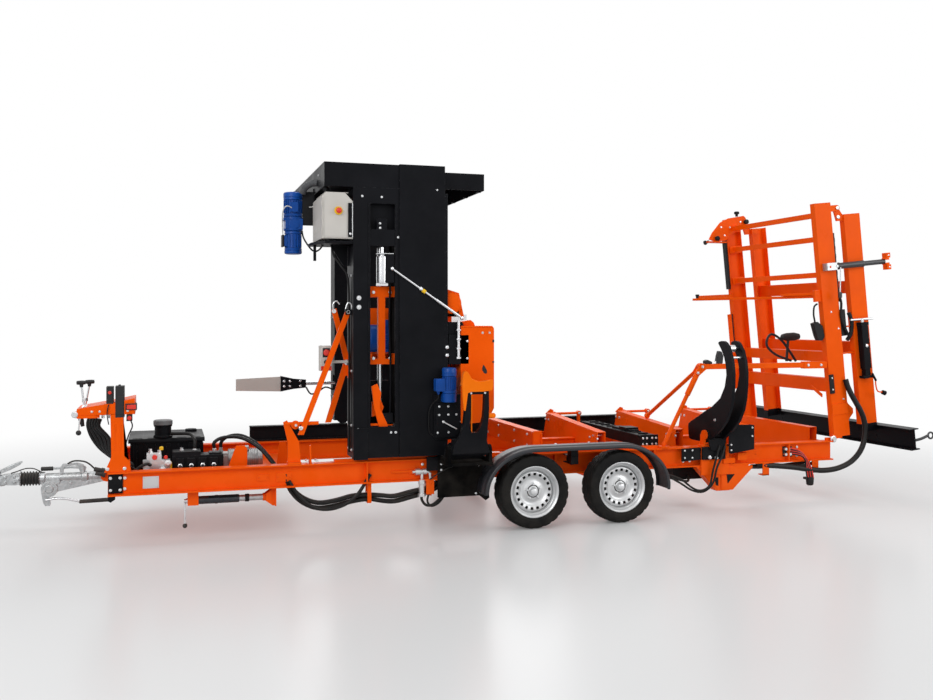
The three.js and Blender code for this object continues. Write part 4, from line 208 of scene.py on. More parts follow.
worn = maths(edge_wear, "MULTIPLY", worn, given.outputs["Amount"])
edge_wear.links.new(worn, out.inputs["Wear"])
edge_wear.links.new(rounded.outputs["Normal"], out.inputs["Rounded"])

# Road dust: gathers on faces that look up and low down on the trailer
road_dust, given, out = effect_group(
    "road_dust", {"Amount": 0.3, "Scale": 6}, {"Dust": "NodeSocketFloat"})
place = road_dust.nodes.new("ShaderNodeTexCoord")
surface = road_dust.nodes.new("ShaderNodeNewGeometry")
upward = node(road_dust, "ShaderNodeSeparateXYZ", links={0: surface.outputs["Normal"]})
height = node(road_dust, "ShaderNodeSeparateXYZ", links={0: place.outputs["Object"]})
low = ramp(road_dust, height.outputs["Z"], 0.75, 0.05, 0.06, 0.85)
flat = ramp(road_dust, upward.outputs["Z"], 0.2, 1, 0, 0.55)
lying = maths(road_dust, "ADD", low, flat)
drift = node(
    road_dust, "ShaderNodeTexNoise", {"Detail": 8, "Roughness": 0.65},
    {"Vector": place.outputs["Object"], "Scale": given.outputs["Scale"]})
patch = ramp(road_dust, drift.outputs["Fac"], 0.35, 0.72)
dusty = maths(road_dust, "MULTIPLY", lying, patch)
dusty = maths(road_dust, "MULTIPLY", dusty, given.outputs["Amount"], use_clamp=True)
road_dust.links.new(dusty, out.inputs["Dust"])

# Coat grain: the fine waviness of a sprayed coat, and slow changes of its tone
coat_grain, given, out = effect_group(
    "coat_grain", {"Fine": 300, "Broad": 3}, {"Height": "NodeSocketFloat", "Tone": "NodeSocketFloat"})
place = coat_grain.nodes.new("ShaderNodeTexCoord")
fine = node(
    coat_grain, "ShaderNodeTexNoise", {"Detail": 3},
    {"Vector": place.outputs["Object"], "Scale": given.outputs["Fine"]})
broad = node(
    coat_grain, "ShaderNodeTexNoise", {"Detail": 6, "Roughness": 0.6},
    {"Vector": place.outputs["Object"], "Scale": given.outputs["Broad"]})
coat_grain.links.new(fine.outputs["Fac"], out.inputs["Height"])
coat_grain.links.new(broad.outputs["Fac"], out.inputs["Tone"])

dust_colour = (0.42, 0.36, 0.29, 1)
usual_slot = {}


def mixed_colour(tree, share, first, second):
    """Mixes two colours, each a socket or a constant, by a mask."""
    made = node(tree, "ShaderNodeMix", data_type="RGBA")
    for place, value in ((6, first), (7, second)):
        if isinstance(value, tuple):
            made.inputs[place].default_value = value
        else:
            tree.links.new(value, made.inputs[place])
    tree.links.new(share, made.inputs[0])
    return made.outputs[2]


def coated(name, colour, roughness=0.4, metal=0, wear=0.5, bare=(0.36, 0.34, 0.32, 1), dust=0.3,
           radius=0.003, fine=260, height=0.12, tone=0.14, coat=0, rough_change=0.16, ior=1.4, slot=None):
    """A sprayed, moulded or plated surface: its colour with worn corners, dust, tone and grain."""
    made, tree, shader, _ = new_material(name)
    usual_slot[name] = slot
    wear_node = node(tree, "ShaderNodeGroup", node_tree=edge_wear)
    wear_node.inputs["Radius"].default_value = radius
    wear_node.inputs["Amount"].default_value = wear
    dust_node = node(tree, "ShaderNodeGroup", node_tree=road_dust)
    dust_node.inputs["Amount"].default_value = dust
    grain = node(tree, "ShaderNodeGroup", node_tree=coat_grain)
    grain.inputs["Fine"].default_value = fine
    dark = tuple(c * (1 - tone) for c in colour[:3]) + (1,)
    light = tuple(min(1, c * (1 + tone)) for c in colour[:3]) + (1,)
    shader.inputs["IOR"].default_value = ior
    tint = ramp(tree, grain.outputs["Tone"], 0.3, 0.7)
    ground = mixed_colour(tree, tint, dark, light)
    chipped = mixed_colour(tree, wear_node.outputs["Wear"], ground, bare)
    dusted = mixed_colour(tree, dust_node.outputs["Dust"], chipped, dust_colour)
    tree.links.new(dusted, shader.inputs["Base Color"])
    rough = ramp(
        tree, grain.outputs["Tone"], 0.3, 0.7, roughness - rough_change / 2, roughness + rough_change / 2)
    matt = maths(tree, "MULTIPLY", dust_node.outputs["Dust"], 0.4)
    rough = maths(tree, "ADD", rough, matt, use_clamp=True)
    tree.links.new(rough, shader.inputs["Roughness"])
    if metal:
        shader.inputs["Metallic"].default_value = metal
    if coat:
        shader.inputs["Coat Weight"].default_value = coat
        shader.inputs["Coat Roughness"].default_value = 0.12
    bump = node(
        tree, "ShaderNodeBump", {"Strength": height, "Distance": 0.001},
        {"Height": grain.outputs["Height"], "Normal": wear_node.outputs["Rounded"]})
    tree.links.new(bump.outputs["Normal"], shader.inputs["Normal"])
    return made


orange_coat = coated(
    "orange_coat", (0.98, 0.104, 0.001, 1), 0.33, wear=0.4, bare=(0.5, 0.16, 0.05, 1), dust=0.06,
    tone=0.1, ior=1.15)
black_coat = coated(
    "black_coat", (0.0062, 0.0066, 0.0085, 1), 0.38, wear=0.6, bare=(0.16, 0.16, 0.17, 1), dust=0.05,
    tone=0.25, ior=1.16)
zinc_bolt = coated(
    "zinc_bolt", (0.68, 0.69, 0.7, 1), 0.3, metal=0.85, wear=0, dust=0.15, radius=0.0008, tone=0.1,
    slot="front_leg_crank")

# Directions: the side with the saw head's guard is the near one, the drawbar is at the front
NEAR, FAR, UP, DOWN, FRONT, REAR = (0, -1, 0), (0, 1, 0), (0, 0, 1), (0, 0, -1), (-1, 0, 0), (1, 0, 0)


def across_of(ahead):
    """Two directions square to a given one."""
    side = ahead.cross(Vector(UP) if abs(ahead.z) < 0.9 else Vector(REAR)).normalized()
    return side, ahead.cross(side)


class Piece:
    """Gathers the plates, rods, hoses and bolts of one piece and makes one mesh object of them."""

    def __init__(self):
        self.points, self.faces = [], []

    def add(self, points, faces):
        first = len(self.points)
        self.points += [tuple(p) for p in points]
        self.faces += [tuple(first + i for i in f) for f in faces]
        return self

    def block(self, x0, x1, y0, y1, z0, z1):
        points = [(x, y, z) for z in (z0, z1) for y in (y0, y1) for x in (x0, x1)]
        faces = [(0, 2, 3, 1), (4, 5, 7, 6), (0, 1, 5, 4), (2, 6, 7, 3), (0, 4, 6, 2), (1, 3, 7, 5)]
        return self.add(points, faces)

    def blocks(self, *boxes):
        for box in boxes:
            self.block(*box)
        return self

    def plate(self, axis, outline, start, end):
        """A plate cut to an outline; axis names the direction of its thickness."""
        def at(p, q, depth):
            return {"x": (depth, p, q), "y": (p, depth, q), "z": (p, q, depth)}[axis]
        n = len(outline)
        points = [at(p, q, start) for p, q in outline] + [at(p, q, end) for p, q in outline]
        sides = [(i, (i + 1) % n, n + (i + 1) % n, n + i) for i in range(n)]
        return self.add(points, [tuple(range(n))[::-1], tuple(range(n, 2 * n)), *sides])

    def plates(self, axis, outline, *layers):
        """The same outline cut from several plates; each layer is its start and end."""
        for start, end in layers:
            self.plate(axis, outline, start, end)
        return self

    def rod(self, start, end, diameter, sides=16):
        return self.tube([start, end], diameter, sides, smooth=0)

    def tube(self, path, diameter, sides=10, smooth=4):
        """A round bar, tube or hose along a path; smooth adds points between the given ones."""
        line = [Vector(p) for p in path]
        if smooth:
            line = smooth_line(line, smooth)
        points, side = [], None
        for i, p in enumerate(line):
            ahead = (line[min(i + 1, len(line) - 1)] - line[max(i - 1, 0)]).normalized()
            if side is None:
                side = across_of(ahead)[0]
            side = (side - ahead * side.dot(ahead)).normalized()
            up = ahead.cross(side)
            for k in range(sides):
                turn = math.tau * k / sides
                points.append(p + diameter / 2 * (math.cos(turn) * side + math.sin(turn) * up))
        return self.rings(points, sides)

    def rings(self, points, sides):
        """Skins rings of points, one after the other, and closes both ends."""
        last = len(points) - sides
        faces = [
            (i + k, i + (k + 1) % sides, i + (k + 1) % sides + sides, i + k + sides)
            for i in range(0, last, sides) for k in range(sides)]
        faces += [tuple(range(sides))[::-1], tuple(range(last, last + sides))]
        return self.add(points, faces)

    def turned(self, centre, axis, profile, sides=32):
        """A turned part: profile lists (along, radius) from one end to the other."""
        ahead = Vector(axis).normalized()
        side, up = across_of(ahead)
        points = []
        for along, radius in profile:
            for k in range(sides):
                turn = math.tau * k / sides
                points.append(
                    Vector(centre) + along * ahead + max(radius, 1e-5)
                    * (math.cos(turn) * side + math.sin(turn) * up))
        return self.rings(points, sides)

    def stepped(self, place, axis, *steps, sides=6):
        """A turned part or a nut in steps, each its radius and its end, with a 2 mm bevel between them."""
        profile, start = [], 0
        for radius, *end in steps:
            profile += [(start, radius), *((e, radius) for e in end)]
            start = profile[-1][0] + 0.002
        return self.turned(place, axis, profile, sides)

    def ball(self, centre, diameter, sides=14):
        steps = sides // 2
        profile = [
            (-diameter / 2 * math.cos(math.pi * i / steps), diameter / 2 * math.sin(math.pi * i / steps))
            for i in range(steps + 1)]
        return self.turned(centre, UP, profile, sides)

    def bolt(self, place, axis, size=0.019):
        """A washer and a hexagon head; place is on the surface and axis points out of it."""
        ahead = Vector(axis).normalized()
        self.turned(place, ahead, [(0, size * 0.66), (size * 0.13, size * 0.66)], 14)
        self.turned(
            place, ahead,
            [(size * 0.1, size * 0.56), (size * 0.5, size * 0.56), (size * 0.56, size * 0.46)], 6)
        return self

    def bolts(self, places, axis, size=0.019):
        for place in places:
            self.bolt(place, axis, size)
        return self

    def make(self, name, body, finish, replaces=None, slot=None, bevel=0.0015, angle=34):
        """Makes the object and hides the CAD node it replaces; the slot is looked up but not kept."""
        mesh = bpy.data.meshes.new(name)
        mesh.from_pydata(self.points, [], self.faces)
        work = bmesh.new()
        work.from_mesh(mesh)
        bmesh.ops.remove_doubles(work, verts=work.verts, dist=2e-6)
        bmesh.ops.recalc_face_normals(work, faces=work.faces)
        work.to_mesh(mesh)
        work.free()
        mesh.materials.append(finish)
        mesh.shade_smooth()
        mesh.set_sharp_from_angle(angle=math.radians(angle))
        made = bpy.data.objects.new(name, mesh)
        bpy.context.scene.collection.objects.link(made)
        if bevel:
            softened = made.modifiers.new("softened", "BEVEL")
            softened.width = bevel
            softened.segments = 2
            softened.limit_method = "ANGLE"
            softened.angle_limit = math.radians(angle)
            softened.harden_normals = True
        if body:
            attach(made, body)
        slot or replaces or usual_slot[finish.name]
        if replaces:
            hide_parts(replaces)
        return made


def smooth_line(line, steps):
    """A Catmull-Rom line through the given points."""
    found = []
    for i in range(len(line) - 1):
        a, b, c, d = line[max(i - 1, 0)], line[i], line[i + 1], line[min(i + 2, len(line) - 1)]
        for k in range(steps):
            t = k / steps
            found.append(
                0.5 * (2 * b + (c - a) * t + (2 * a - 5 * b + 4 * c - d) * t ** 2
                       + (3 * b - a - 3 * c + d) * t ** 3))
    return [*found, line[-1]]


def dress(finish, *names):
    """Gives CAD nodes their finish."""
    for name in names:
        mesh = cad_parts[name].data
        if mesh.materials:
            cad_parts[name].material_slots[0].link = "OBJECT"
            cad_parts[name].material_slots[0].material = finish
        else:
            mesh.materials.append(finish)


dress(
    orange_coat, "near_beam", "far_beam", "bunk_1", "bunk_2", "bunk_3", "rear_bunk", "front_cross_member")
dress(black_coat, "far_rail")
web_face = -0.7592
beam_top, beam_bottom, beam_edge = 0.53, 0.365, -0.8

beam_bolts = Piece()
for x in (-2.8, -2.74, -0.62, -0.56, 1.6, 1.66, 2.05, 2.62, 2.7):
    beam_bolts.bolts([(x, web_face, 0.41), (x, web_face, 0.485)], NEAR, 0.017)
bunk_places = (0.945, 1.665, 2.36)
for x in bunk_places:
    for y in (-0.6, -0.45, 0.45, 0.52):
        beam_bolts.bolt((x - 0.0405, y, 0.6 if y < 0 else 0.655), FRONT, 0.018)
beam_bolts.make("beam_bolts", "bed", zinc_bolt, bevel=0)

blank_plate = Piece()
blank_plate.block(-2.622, -2.516, web_face - 0.003, web_face, 0.405, 0.488)
blank_plate.bolts(
    [(x, web_face - 0.003, z) for x in (-2.612, -2.526) for z in (0.413, 0.48)], NEAR, 0.007)
bare_plate = coated(
    "bare_plate", (0.62, 0.63, 0.64, 1), 0.36, metal=0.8, wear=0.1, dust=0.2, radius=0.001)
blank_plate.make("blank_plate", "bed", bare_plate, slot="near_beam", bevel=0.0006)

orange_plates = Piece()
for x0, x1, z0, z1 in (
        (-1.845, -1.762, 0.418, 0.466), (-1.71, -1.6, 0.405, 0.472), (2.07, 2.16, 0.43, 0.475),
        (2.19, 2.3, 0.4, 0.48)):
    orange_plates.block(x0, x1, web_face - 0.005, web_face, z0, z1)
    orange_plates.bolts(
        [(x, web_face - 0.005, (z0 + z1) / 2) for x in (x0 + 0.012, x1 - 0.012)], NEAR, 0.009)
for x0 in (-0.6, 2.338, 2.832):
    orange_plates.blocks(
        (x0, x0 + 0.062, -0.797, -0.789, 0.262, beam_bottom + 0.012),
        (x0, x0 + 0.062, -0.797, -0.728, 0.262, 0.27))
    orange_plates.bolt((x0 + 0.031, -0.797, 0.345), NEAR, 0.013)
for x in (-1.05, 0.45, 1.32, 2.6):
    orange_plates.block(
        x - 0.005, x + 0.005, beam_edge + 0.002, web_face, beam_bottom + 0.01, beam_top - 0.01)
orange_plates.make("beam_plates", "bed", orange_coat, slot="near_beam", bevel=0.001)

# Bed between the bunks: a black double beam that carries the log turner, a low cross channel, flat arms and
# the round stop bars of the far side, all bolted to the long beams.
turner_beam = Piece()
for x0 in (1.268, 1.352):
    turner_beam.blocks(
        (x0, x0 + 0.066, -0.66, 0.575, 0.531, 0.622),
        (x0 - 0.006, x0 + 0.072, -0.664, -0.656, 0.525, 0.628))
turner_beam.blocks(
    (1.272, 1.414, -0.58, 0.35, 0.585, 0.612), (1.3, 1.386, -0.4, -0.05, 0.61, 0.64),
    (1.285, 1.4, -0.36, -0.22, 0.636, 0.655))
for k in range(9):
    turner_beam.rod((1.3, -0.55 + k * 0.12, 0.626), (1.386, -0.55 + k * 0.12, 0.626), 0.016, 10)
turner_beam.make("turner_beam", "bed", black_coat, slot="far_rail")

bed_steel = Piece()
bed_steel.plate(
    "y", [(0.33, 0.53), (0.41, 0.53), (0.41, 0.538), (0.338, 0.538), (0.338, 0.672), (0.41, 0.672),
          (0.41, 0.68), (0.33, 0.68)], -0.6, 0.575)
bed_steel.block(0.335, 0.41, -0.608, -0.598, 0.525, 0.685)
bed_steel.plate("x", [(-0.62, 0.53), (-0.44, 0.53), (-0.6, 0.665), (-0.62, 0.665)], 0.4, 0.41)
for x0, x1, y in ((0.55, 0.9, -0.12), (1, 1.26, 0.18), (1.42, 1.62, 0.18), (1.72, 2.31, -0.3)):
    bed_steel.blocks(
        (x0, x1, y - 0.012, y + 0.012, 0.47, 0.56), (x0, x1, y - 0.035, y + 0.035, 0.553, 0.563))
for x in bunk_places:
    bed_steel.plate(
        "y", [(x - 0.045, 0.66), (x + 0.2, 0.555), (x + 0.2, 0.535), (x - 0.04, 0.535)], 0.3, 0.312)
    bed_steel.rod((x + 0.03, 0.545, 0.7), (x + 0.3, 0.545, 0.7), 0.024)
    for end in (x + 0.045, x + 0.3):
        bed_steel.rod((end, 0.522, 0.7), (end, 0.568, 0.7), 0.044)
    bed_steel.plate(
        "y", [(x - 0.03, 0.7), (x + 0.02, 0.745), (x + 0.05, 0.735), (x + 0.045, 0.66)], 0.556, 0.568)
    bed_steel.block(x + 0.29, x + 0.31, 0.53, 0.566, 0.55, 0.7)
bed_steel.make("bed_steel", "bed", orange_coat, slot="bunk_1")

bed_bolts = Piece()
for x in bunk_places:
    bed_bolts.bolts([(x + 0.045, 0.522, 0.7), (x + 0.3, 0.522, 0.7)], NEAR, 0.02)
    bed_bolts.rod((x - 0.05, -0.52, 0.62), (x + 0.05, -0.52, 0.62), 0.02, 12)
bed_bolts.bolts([(x, -0.664, z) for x in (1.283, 1.319, 1.367, 1.403) for z in (0.55, 0.6)], NEAR, 0.014)
bed_bolts.bolts([(0.328, y, z) for y in (-0.5, -0.2, 0.2, 0.5) for z in (0.56, 0.65)], FRONT, 0.018)
bed_bolts.make("bed_bolts", "bed", zinc_bolt, bevel=0)

# Road wheels: tubeless trailer tyres with grooved tread on pressed steel rims in silver lacquer, with a
# ring of holes, five wheel bolts and a pressed-in hub cap.
tyre_rubber = coated(
    "tyre_rubber", (0.0055, 0.0056, 0.006, 1), 0.66, wear=0.2, bare=(0.03, 0.029, 0.028, 1), dust=0.07,
    radius=0.004, fine=90, height=0.25, tone=0.2, ior=1.22)
rim_silver = coated(
    "rim_silver", (0.6, 0.61, 0.62, 1), 0.36, metal=0.7, wear=0.25, bare=(0.4, 0.4, 0.4, 1), dust=0.2,
    radius=0.0015, coat=0.3)
hub_dark = coated("hub_dark", (0.012, 0.012, 0.0125, 1), 0.55, metal=0.2, dust=0.1, radius=0.002, ior=1.3)
front_wheel_x, rear_wheel_x, wheel_z, wheel_half_track = 0.18, 0.905, 0.28, 0.967
wheel_places = {
    "near_front": (front_wheel_x, -1), "near_rear": (rear_wheel_x, -1), "far_front": (front_wheel_x, 1),
    "far_rear": (rear_wheel_x, 1)}
bolt_circle, bolt_count, valve_circle = 0.056, 5, 0.149
tread_sides = 96
half_section = [
    (0, 0.28, 0), (0.01, 0.28, 0), (0.011, 0.2735, 0), (0.018, 0.2735, 0), (0.019, 0.2798, 0),
    (0.036, 0.2796, 0), (0.037, 0.273, 0), (0.044, 0.273, 0), (0.045, 0.2788, 0), (0.06, 0.2778, 1),
    (0.074, 0.2748, 1), (0.083, 0.269, 1), (0.0875, 0.26, 1), (0.0895, 0.248, 0), (0.09, 0.23, 0),
    (0.089, 0.2285, 0), (0.0885, 0.213, 0), (0.087, 0.2115, 0), (0.083, 0.1975, 0), (0.0775, 0.1945, 0),
    (0.076, 0.186, 0), (0.07, 0.1795, 0)]


def tyre_mesh(centre, side):
    """The tyre's section swept round the hub; every fourth field of the tread's edge is cut lower."""
    piece = Piece()
    rows = [(-a, r, g) for a, r, g in half_section[::-1]] + half_section[1:]
    points, faces = [], []
    for along, radius, grooved in rows:
        for k in range(tread_sides):
            turn = math.tau * k / tread_sides
            r = radius - (0.006 if grooved and k % 4 == 0 else 0)
            points.append(
                (centre[0] + r * math.cos(turn), centre[1] + along * side, centre[2] + r
                 * math.sin(turn)))
    for i in range(len(rows) - 1):
        for k in range(tread_sides):
            a, b = i * tread_sides + k, i * tread_sides + (k + 1) % tread_sides
            faces.append((a, b, b + tread_sides, a + tread_sides))
    last = (len(rows) - 1) * tread_sides
    for k in range(tread_sides):
        j = (k + 1) % tread_sides
        faces.append((last + k, last + j, j, k))
    return piece.add(points, faces)


rim_sides = 72
rim_outline = [
    (0.07, 0.1955), (0.078, 0.195), (0.079, 0.19), (0.074, 0.182), (0.066, 0.176), (0.045, 0.166),
    (0.02, 0.162), (-0.04, 0.162), (-0.066, 0.176), (-0.078, 0.192), (-0.074, 0.193), (-0.06, 0.172),
    (-0.036, 0.158), (0.016, 0.158), (0.04, 0.161), (0.056, 0.17)]
disc_outline = [
    (0.03, 0.1585), (0.041, 0.15), (0.0455, 0.145), (0.046, 0.141), (0.043, 0.12), (0.033, 0.108),
    (0.026, 0.099), (0.024, 0.085), (0.03, 0.07), (0.035, 0.061), (0.0355, 0.032), (0.0355, 0)]


def rim_mesh(centre, side):
    """The barrel, and the disc with a hole in every second pair of its outer ring's fields."""
    piece = Piece()

    def ring(rows, closed, skip=None):
        points = [
            (centre[0] + r * math.cos(math.tau * k / rim_sides), centre[1] + side * a, centre[2] + r
             * math.sin(math.tau * k / rim_sides)) for a, r in rows for k in range(rim_sides)]
        faces = []
        for i in range(len(rows) - (0 if closed else 1)):
            for k in range(rim_sides):
                if skip and skip(i, k):
                    continue
                a, b = i * rim_sides + k, i * rim_sides + (k + 1) % rim_sides
                c, d = (b + rim_sides) % len(points), (a + rim_sides) % len(points)
                faces.append((a, b, c, d))
        piece.add(points, faces)

    ring(rim_outline, True)
    back = [(a - 0.005, r) for a, r in disc_outline]

    def hole(i, k):
        return i == 3 and k % 4 in (0, 1)

    ring([*disc_outline[:-1]], False, hole)
    ring([*back[:-1]], False, hole)
    for k in range(0, rim_sides, 4):
        walls = []
        for row in (3, 4):
            for a_row in (disc_outline, back):
                a, r = a_row[row]
                for j in (k, k + 2):
                    turn = math.tau * j / rim_sides
                    walls.append(
                        (centre[0] + r * math.cos(turn), centre[1] + side * a, centre[2] + r
                         * math.sin(turn)))
        piece.add(walls, [(0, 1, 3, 2), (4, 5, 7, 6), (0, 2, 6, 4), (1, 3, 7, 5)])
    return piece


for name, (wheel_x, side) in wheel_places.items():
    centre = (wheel_x, side * wheel_half_track, wheel_z)
    body = name + "_wheel"
    tyre_mesh(centre, side).make("tyre_of_" + name, body, tyre_rubber, "tyre_" + name, bevel=0, angle=26)
    rim_mesh(centre, side).make("rim_of_" + name, body, rim_silver, "rim_" + name, bevel=0, angle=40)
    out = (0, side, 0)
    hub = Piece()
    hub.turned(centre, out, [(-0.07, 0.062), (0, 0.066), (0.0305, 0.06), (0.0305, 0)], 28)
    hub.turned(centre, out, [(-0.05, 0.15), (0.008, 0.15), (0.012, 0.146), (0.012, 0.062)], 40)
    hub.make("hub_of_" + name, body, hub_dark, slot="rim_" + name, bevel=0.001)
    bright = Piece()
    bright.turned(
        centre, out,
        [(0.035, 0.034), (0.046, 0.033), (0.062, 0.029), (0.07, 0.022), (0.073, 0.01), (0.0735, 0)], 28)
    bright.turned(centre, out, [(0.0345, 0.041), (0.038, 0.041), (0.039, 0.036)], 28)
    ring = Piece()
    ring.turned(centre, out, [(0.0352, 0.049), (0.0372, 0.048), (0.0374, 0.04), (0.0355, 0.039)], 32)
    ring.make("hub_ring_of_" + name, body, hub_dark, slot="rim_" + name, bevel=0)
    for k in range(bolt_count):
        turn = math.tau * (k + 0.3) / bolt_count
        place = (
            wheel_x + bolt_circle * math.cos(turn), side * (wheel_half_track + 0.035), wheel_z
            + bolt_circle * math.sin(turn))
        bright.turned(
            place, out,
            [(-0.006, 0.0125), (0.003, 0.0125), (0.006, 0.0095), (0.018, 0.0093), (0.021, 0.007)], 6)
    turn = math.radians(200)
    valve = (
        wheel_x + valve_circle * math.cos(turn), side * (wheel_half_track + 0.036), wheel_z + valve_circle
        * math.sin(turn))
    bright.rod(valve, (valve[0], valve[1] + side * 0.026, valve[2]), 0.008, 10)
    bright.make("wheel_bolts_of_" + name, body, zinc_bolt, slot="rim_" + name, bevel=0.0006)

dress(orange_coat, "front_axle", "rear_axle")

# Mudguards: one black moulded arch over both wheels on each side, with a rolled rim, a raised band along
# its middle and a flat inner flange, screwed to brackets on the beam.
moulded_black = coated(
    "moulded_black", (0.02, 0.0215, 0.027, 1), 0.4, wear=0.1, bare=(0.06, 0.06, 0.06, 1), dust=0.07,
    radius=0.003, fine=700, height=0.3, tone=0.18)
arch_steps = 22
fender_reach, fender_rise, fender_drop = 0.412, 0.34, 0.034


def arch_line(inset):
    """The line of the mudguard over both wheels, at a distance inside its outer face."""
    reach, rise = fender_reach - inset, fender_rise - inset
    drop = math.asin(fender_drop / fender_rise)
    line = []
    for i in range(arch_steps + 1):
        turn = math.pi / 2 * i / arch_steps
        line.append((front_wheel_x - reach * math.cos(turn), wheel_z + rise * math.sin(turn)))
    for i in range(arch_steps + 1):
        turn = math.pi / 2 - (math.pi / 2 + drop) * i / arch_steps
        line.append((rear_wheel_x + reach * math.cos(turn), wheel_z + rise * math.sin(turn)))
    return line


for name, side in (("near", -1), ("far", 1)):
    outer, inner = 1.081, 0.876
    across = [
        (outer - 0.004, 0.03), (outer, 0.026), (outer, 0.01), (outer - 0.006, 0.002), (outer - 0.022, 0),
        (outer - 0.05, 0), (outer - 0.056, -0.007), (outer - 0.12, -0.007), (outer - 0.126, 0),
        (inner + 0.004, 0), (inner, 0.004), (inner, 0.022), (inner + 0.005, 0.022),
        (inner + 0.006, 0.006), (outer - 0.13, 0.005), (outer - 0.026, 0.006), (outer - 0.006, 0.012)]
    across = [(y, inset + 0.007) for y, inset in across]
    lines = [arch_line(inset) for _, inset in across]
    count, steps = len(across), len(lines[0])
    points = [
        (lines[j][i][0], side * across[j][0], lines[j][i][1]) for i in range(steps) for j in range(count)]
    faces = [
        (i * count + j, i * count + (j + 1) % count, (i + 1) * count + (j + 1) % count, (i + 1) * count
         + j) for i in range(steps - 1) for j in range(count)]
    faces += [tuple(range(count)), tuple(range((steps - 1) * count, steps * count))[::-1]]
    arch = Piece().add(points, faces)
    arch.make(f"{name}_mudguard", "bed", moulded_black, f"{name}_fender", bevel=0, angle=50)
    bracket = Piece()
    beam_side = 0.8 if side < 0 else 0.665
    reach = sorted((side * beam_side, side * 0.96))
    bracket.blocks(
        (0.512, 0.572, reach[0], reach[1], 0.46, 0.468), (0.512, 0.572, reach[0], reach[1], 0.517, 0.525),
        (0.54, 0.546, reach[0], reach[1], 0.468, 0.517))
    rise = sorted((side * 0.884, side * 0.96))
    bracket.block(0.512, 0.572, rise[0], rise[1], 0.46, 0.606)
    bracket.make(f"{name}_mudguard_bracket", "bed", black_coat, slot=f"{name}_fender")
    screws = Piece().bolts([(x, side * 0.92, 0.6135) for x in (0.4, 0.68)], UP, 0.018)
    screws.make(f"{name}_mudguard_screws", "bed", zinc_bolt, slot=f"{name}_fender", bevel=0)

# Drawbar: a hot-dip galvanised tube with a cast coupling head, rubber bellows over the overrun brake, a
# toothed height joint, hand lever and brake lever, hinged on a pin in the front cross member.
galvanised, tree, shader, _ = new_material("galvanised")
place = tree.nodes.new("ShaderNodeTexCoord")
spangle = node(
    tree, "ShaderNodeTexVoronoi", {"Scale": 75, "Randomness": 1}, {"Vector": place.outputs["Object"]})
cells = node(tree, "ShaderNodeSeparateColor", links={0: spangle.outputs["Color"]})
clouds = node(
    tree, "ShaderNodeTexNoise", {"Scale": 9, "Detail": 6, "Roughness": 0.6},
    {"Vector": place.outputs["Object"]})
flake = maths(tree, "MULTIPLY", cells.outputs[0], clouds.outputs["Fac"])
tone = mixed_colour(tree, flake, (0.4, 0.42, 0.43, 1), (0.72, 0.735, 0.75, 1))
zinc_wear = node(tree, "ShaderNodeGroup", node_tree=edge_wear)
zinc_wear.inputs["Radius"].default_value = 0.004
zinc_wear.inputs["Amount"].default_value = 0.5
zinc_dust = node(tree, "ShaderNodeGroup", node_tree=road_dust)
zinc_dust.inputs["Amount"].default_value = 0.3
dulled = mixed_colour(tree, zinc_dust.outputs["Dust"], tone, dust_colour)
tree.links.new(dulled, shader.inputs["Base Color"])
tree.links.new(ramp(tree, flake, 0, 1, 0.3, 0.52), shader.inputs["Roughness"])
shader.inputs["Metallic"].default_value = 0.7
relief = node(
    tree, "ShaderNodeBump", {"Strength": 0.2, "Distance": 0.001},
    {"Height": clouds.outputs["Fac"], "Normal": zinc_wear.outputs["Rounded"]})
tree.links.new(relief.outputs["Normal"], shader.inputs["Normal"])

bright_steel = coated(
    "bright_steel", (0.74, 0.75, 0.77, 1), 0.2, metal=0.95, wear=0, dust=0.12, radius=0.001, tone=0.08,
    fine=500, height=0.08, slot="front_leg_crank")
grip_black = coated(
    "grip_black", (0.012, 0.012, 0.013, 1), 0.55, wear=0.1, dust=0.15, radius=0.002, fine=500,
    height=0.25, tone=0.2, slot="drawbar_bellows")
bellows_rubber = coated(
    "bellows_rubber", (0.014, 0.014, 0.015, 1), 0.62, wear=0.15, dust=0.25, radius=0.003, fine=300,
    height=0.2, tone=0.2, slot="drawbar_bellows")
bar_z = 0.396
head_x = -3.64

drawbar = Piece()
drawbar.turned(
    (head_x, 0, bar_z), UP,
    [(0, 0), (-0.0035, 0.0125), (-0.0125, 0.0215), (-0.025, 0.025), (-0.04, 0.025), (-0.042, 0.027),
     (-0.042, 0.042), (-0.036, 0.044), (0.008, 0.044), (0.026, 0.037), (0.036, 0.024), (0.039, 0.01),
     (0.04, 0)], 30)
drawbar.plate(
    "y", [(-3.632, 0.362), (-3.52, 0.356), (-3.5, 0.362), (-3.5, 0.432), (-3.53, 0.44), (-3.61, 0.434),
          (-3.632, 0.428)], -0.04, 0.04)
drawbar.turned((0, 0, bar_z), REAR, [(-3.545, 0.03), (-3.535, 0.042), (-3.503, 0.043), (-3.5, 0.04)], 26)
for y, facing_side in ((-0.0395, NEAR), (0.0395, FAR)):
    drawbar.bolts([(x, y, z) for x in (-3.595, -3.535) for z in (0.378, 0.418)], facing_side, 0.017)
drawbar.turned(
    (0, 0, bar_z), REAR,
    [(-3.372, 0.028), (-3.365, 0.045), (-3.33, 0.046), (-3.322, 0.034), (-3.08, 0.033), (-3.07, 0.04),
     (-3.035, 0.04), (-3.025, 0.033), (-2.9, 0.033)], 28)
drawbar.turned(
    (-2.898, 0, bar_z), FAR, [(-0.033, 0.03), (-0.032, 0.042), (0.032, 0.042), (0.033, 0.03)], 26)
drawbar.block(-3.355, -3.225, -0.036, 0.036, 0.352, 0.398)
drawbar.plates(
    "y",
    [(-3.325, 0.345), (-3.245, 0.292), (-2.885, 0.362), (-2.885, 0.42), (-2.93, 0.428), (-3.18, 0.378)],
    (-0.026, -0.018), (0.018, 0.026))
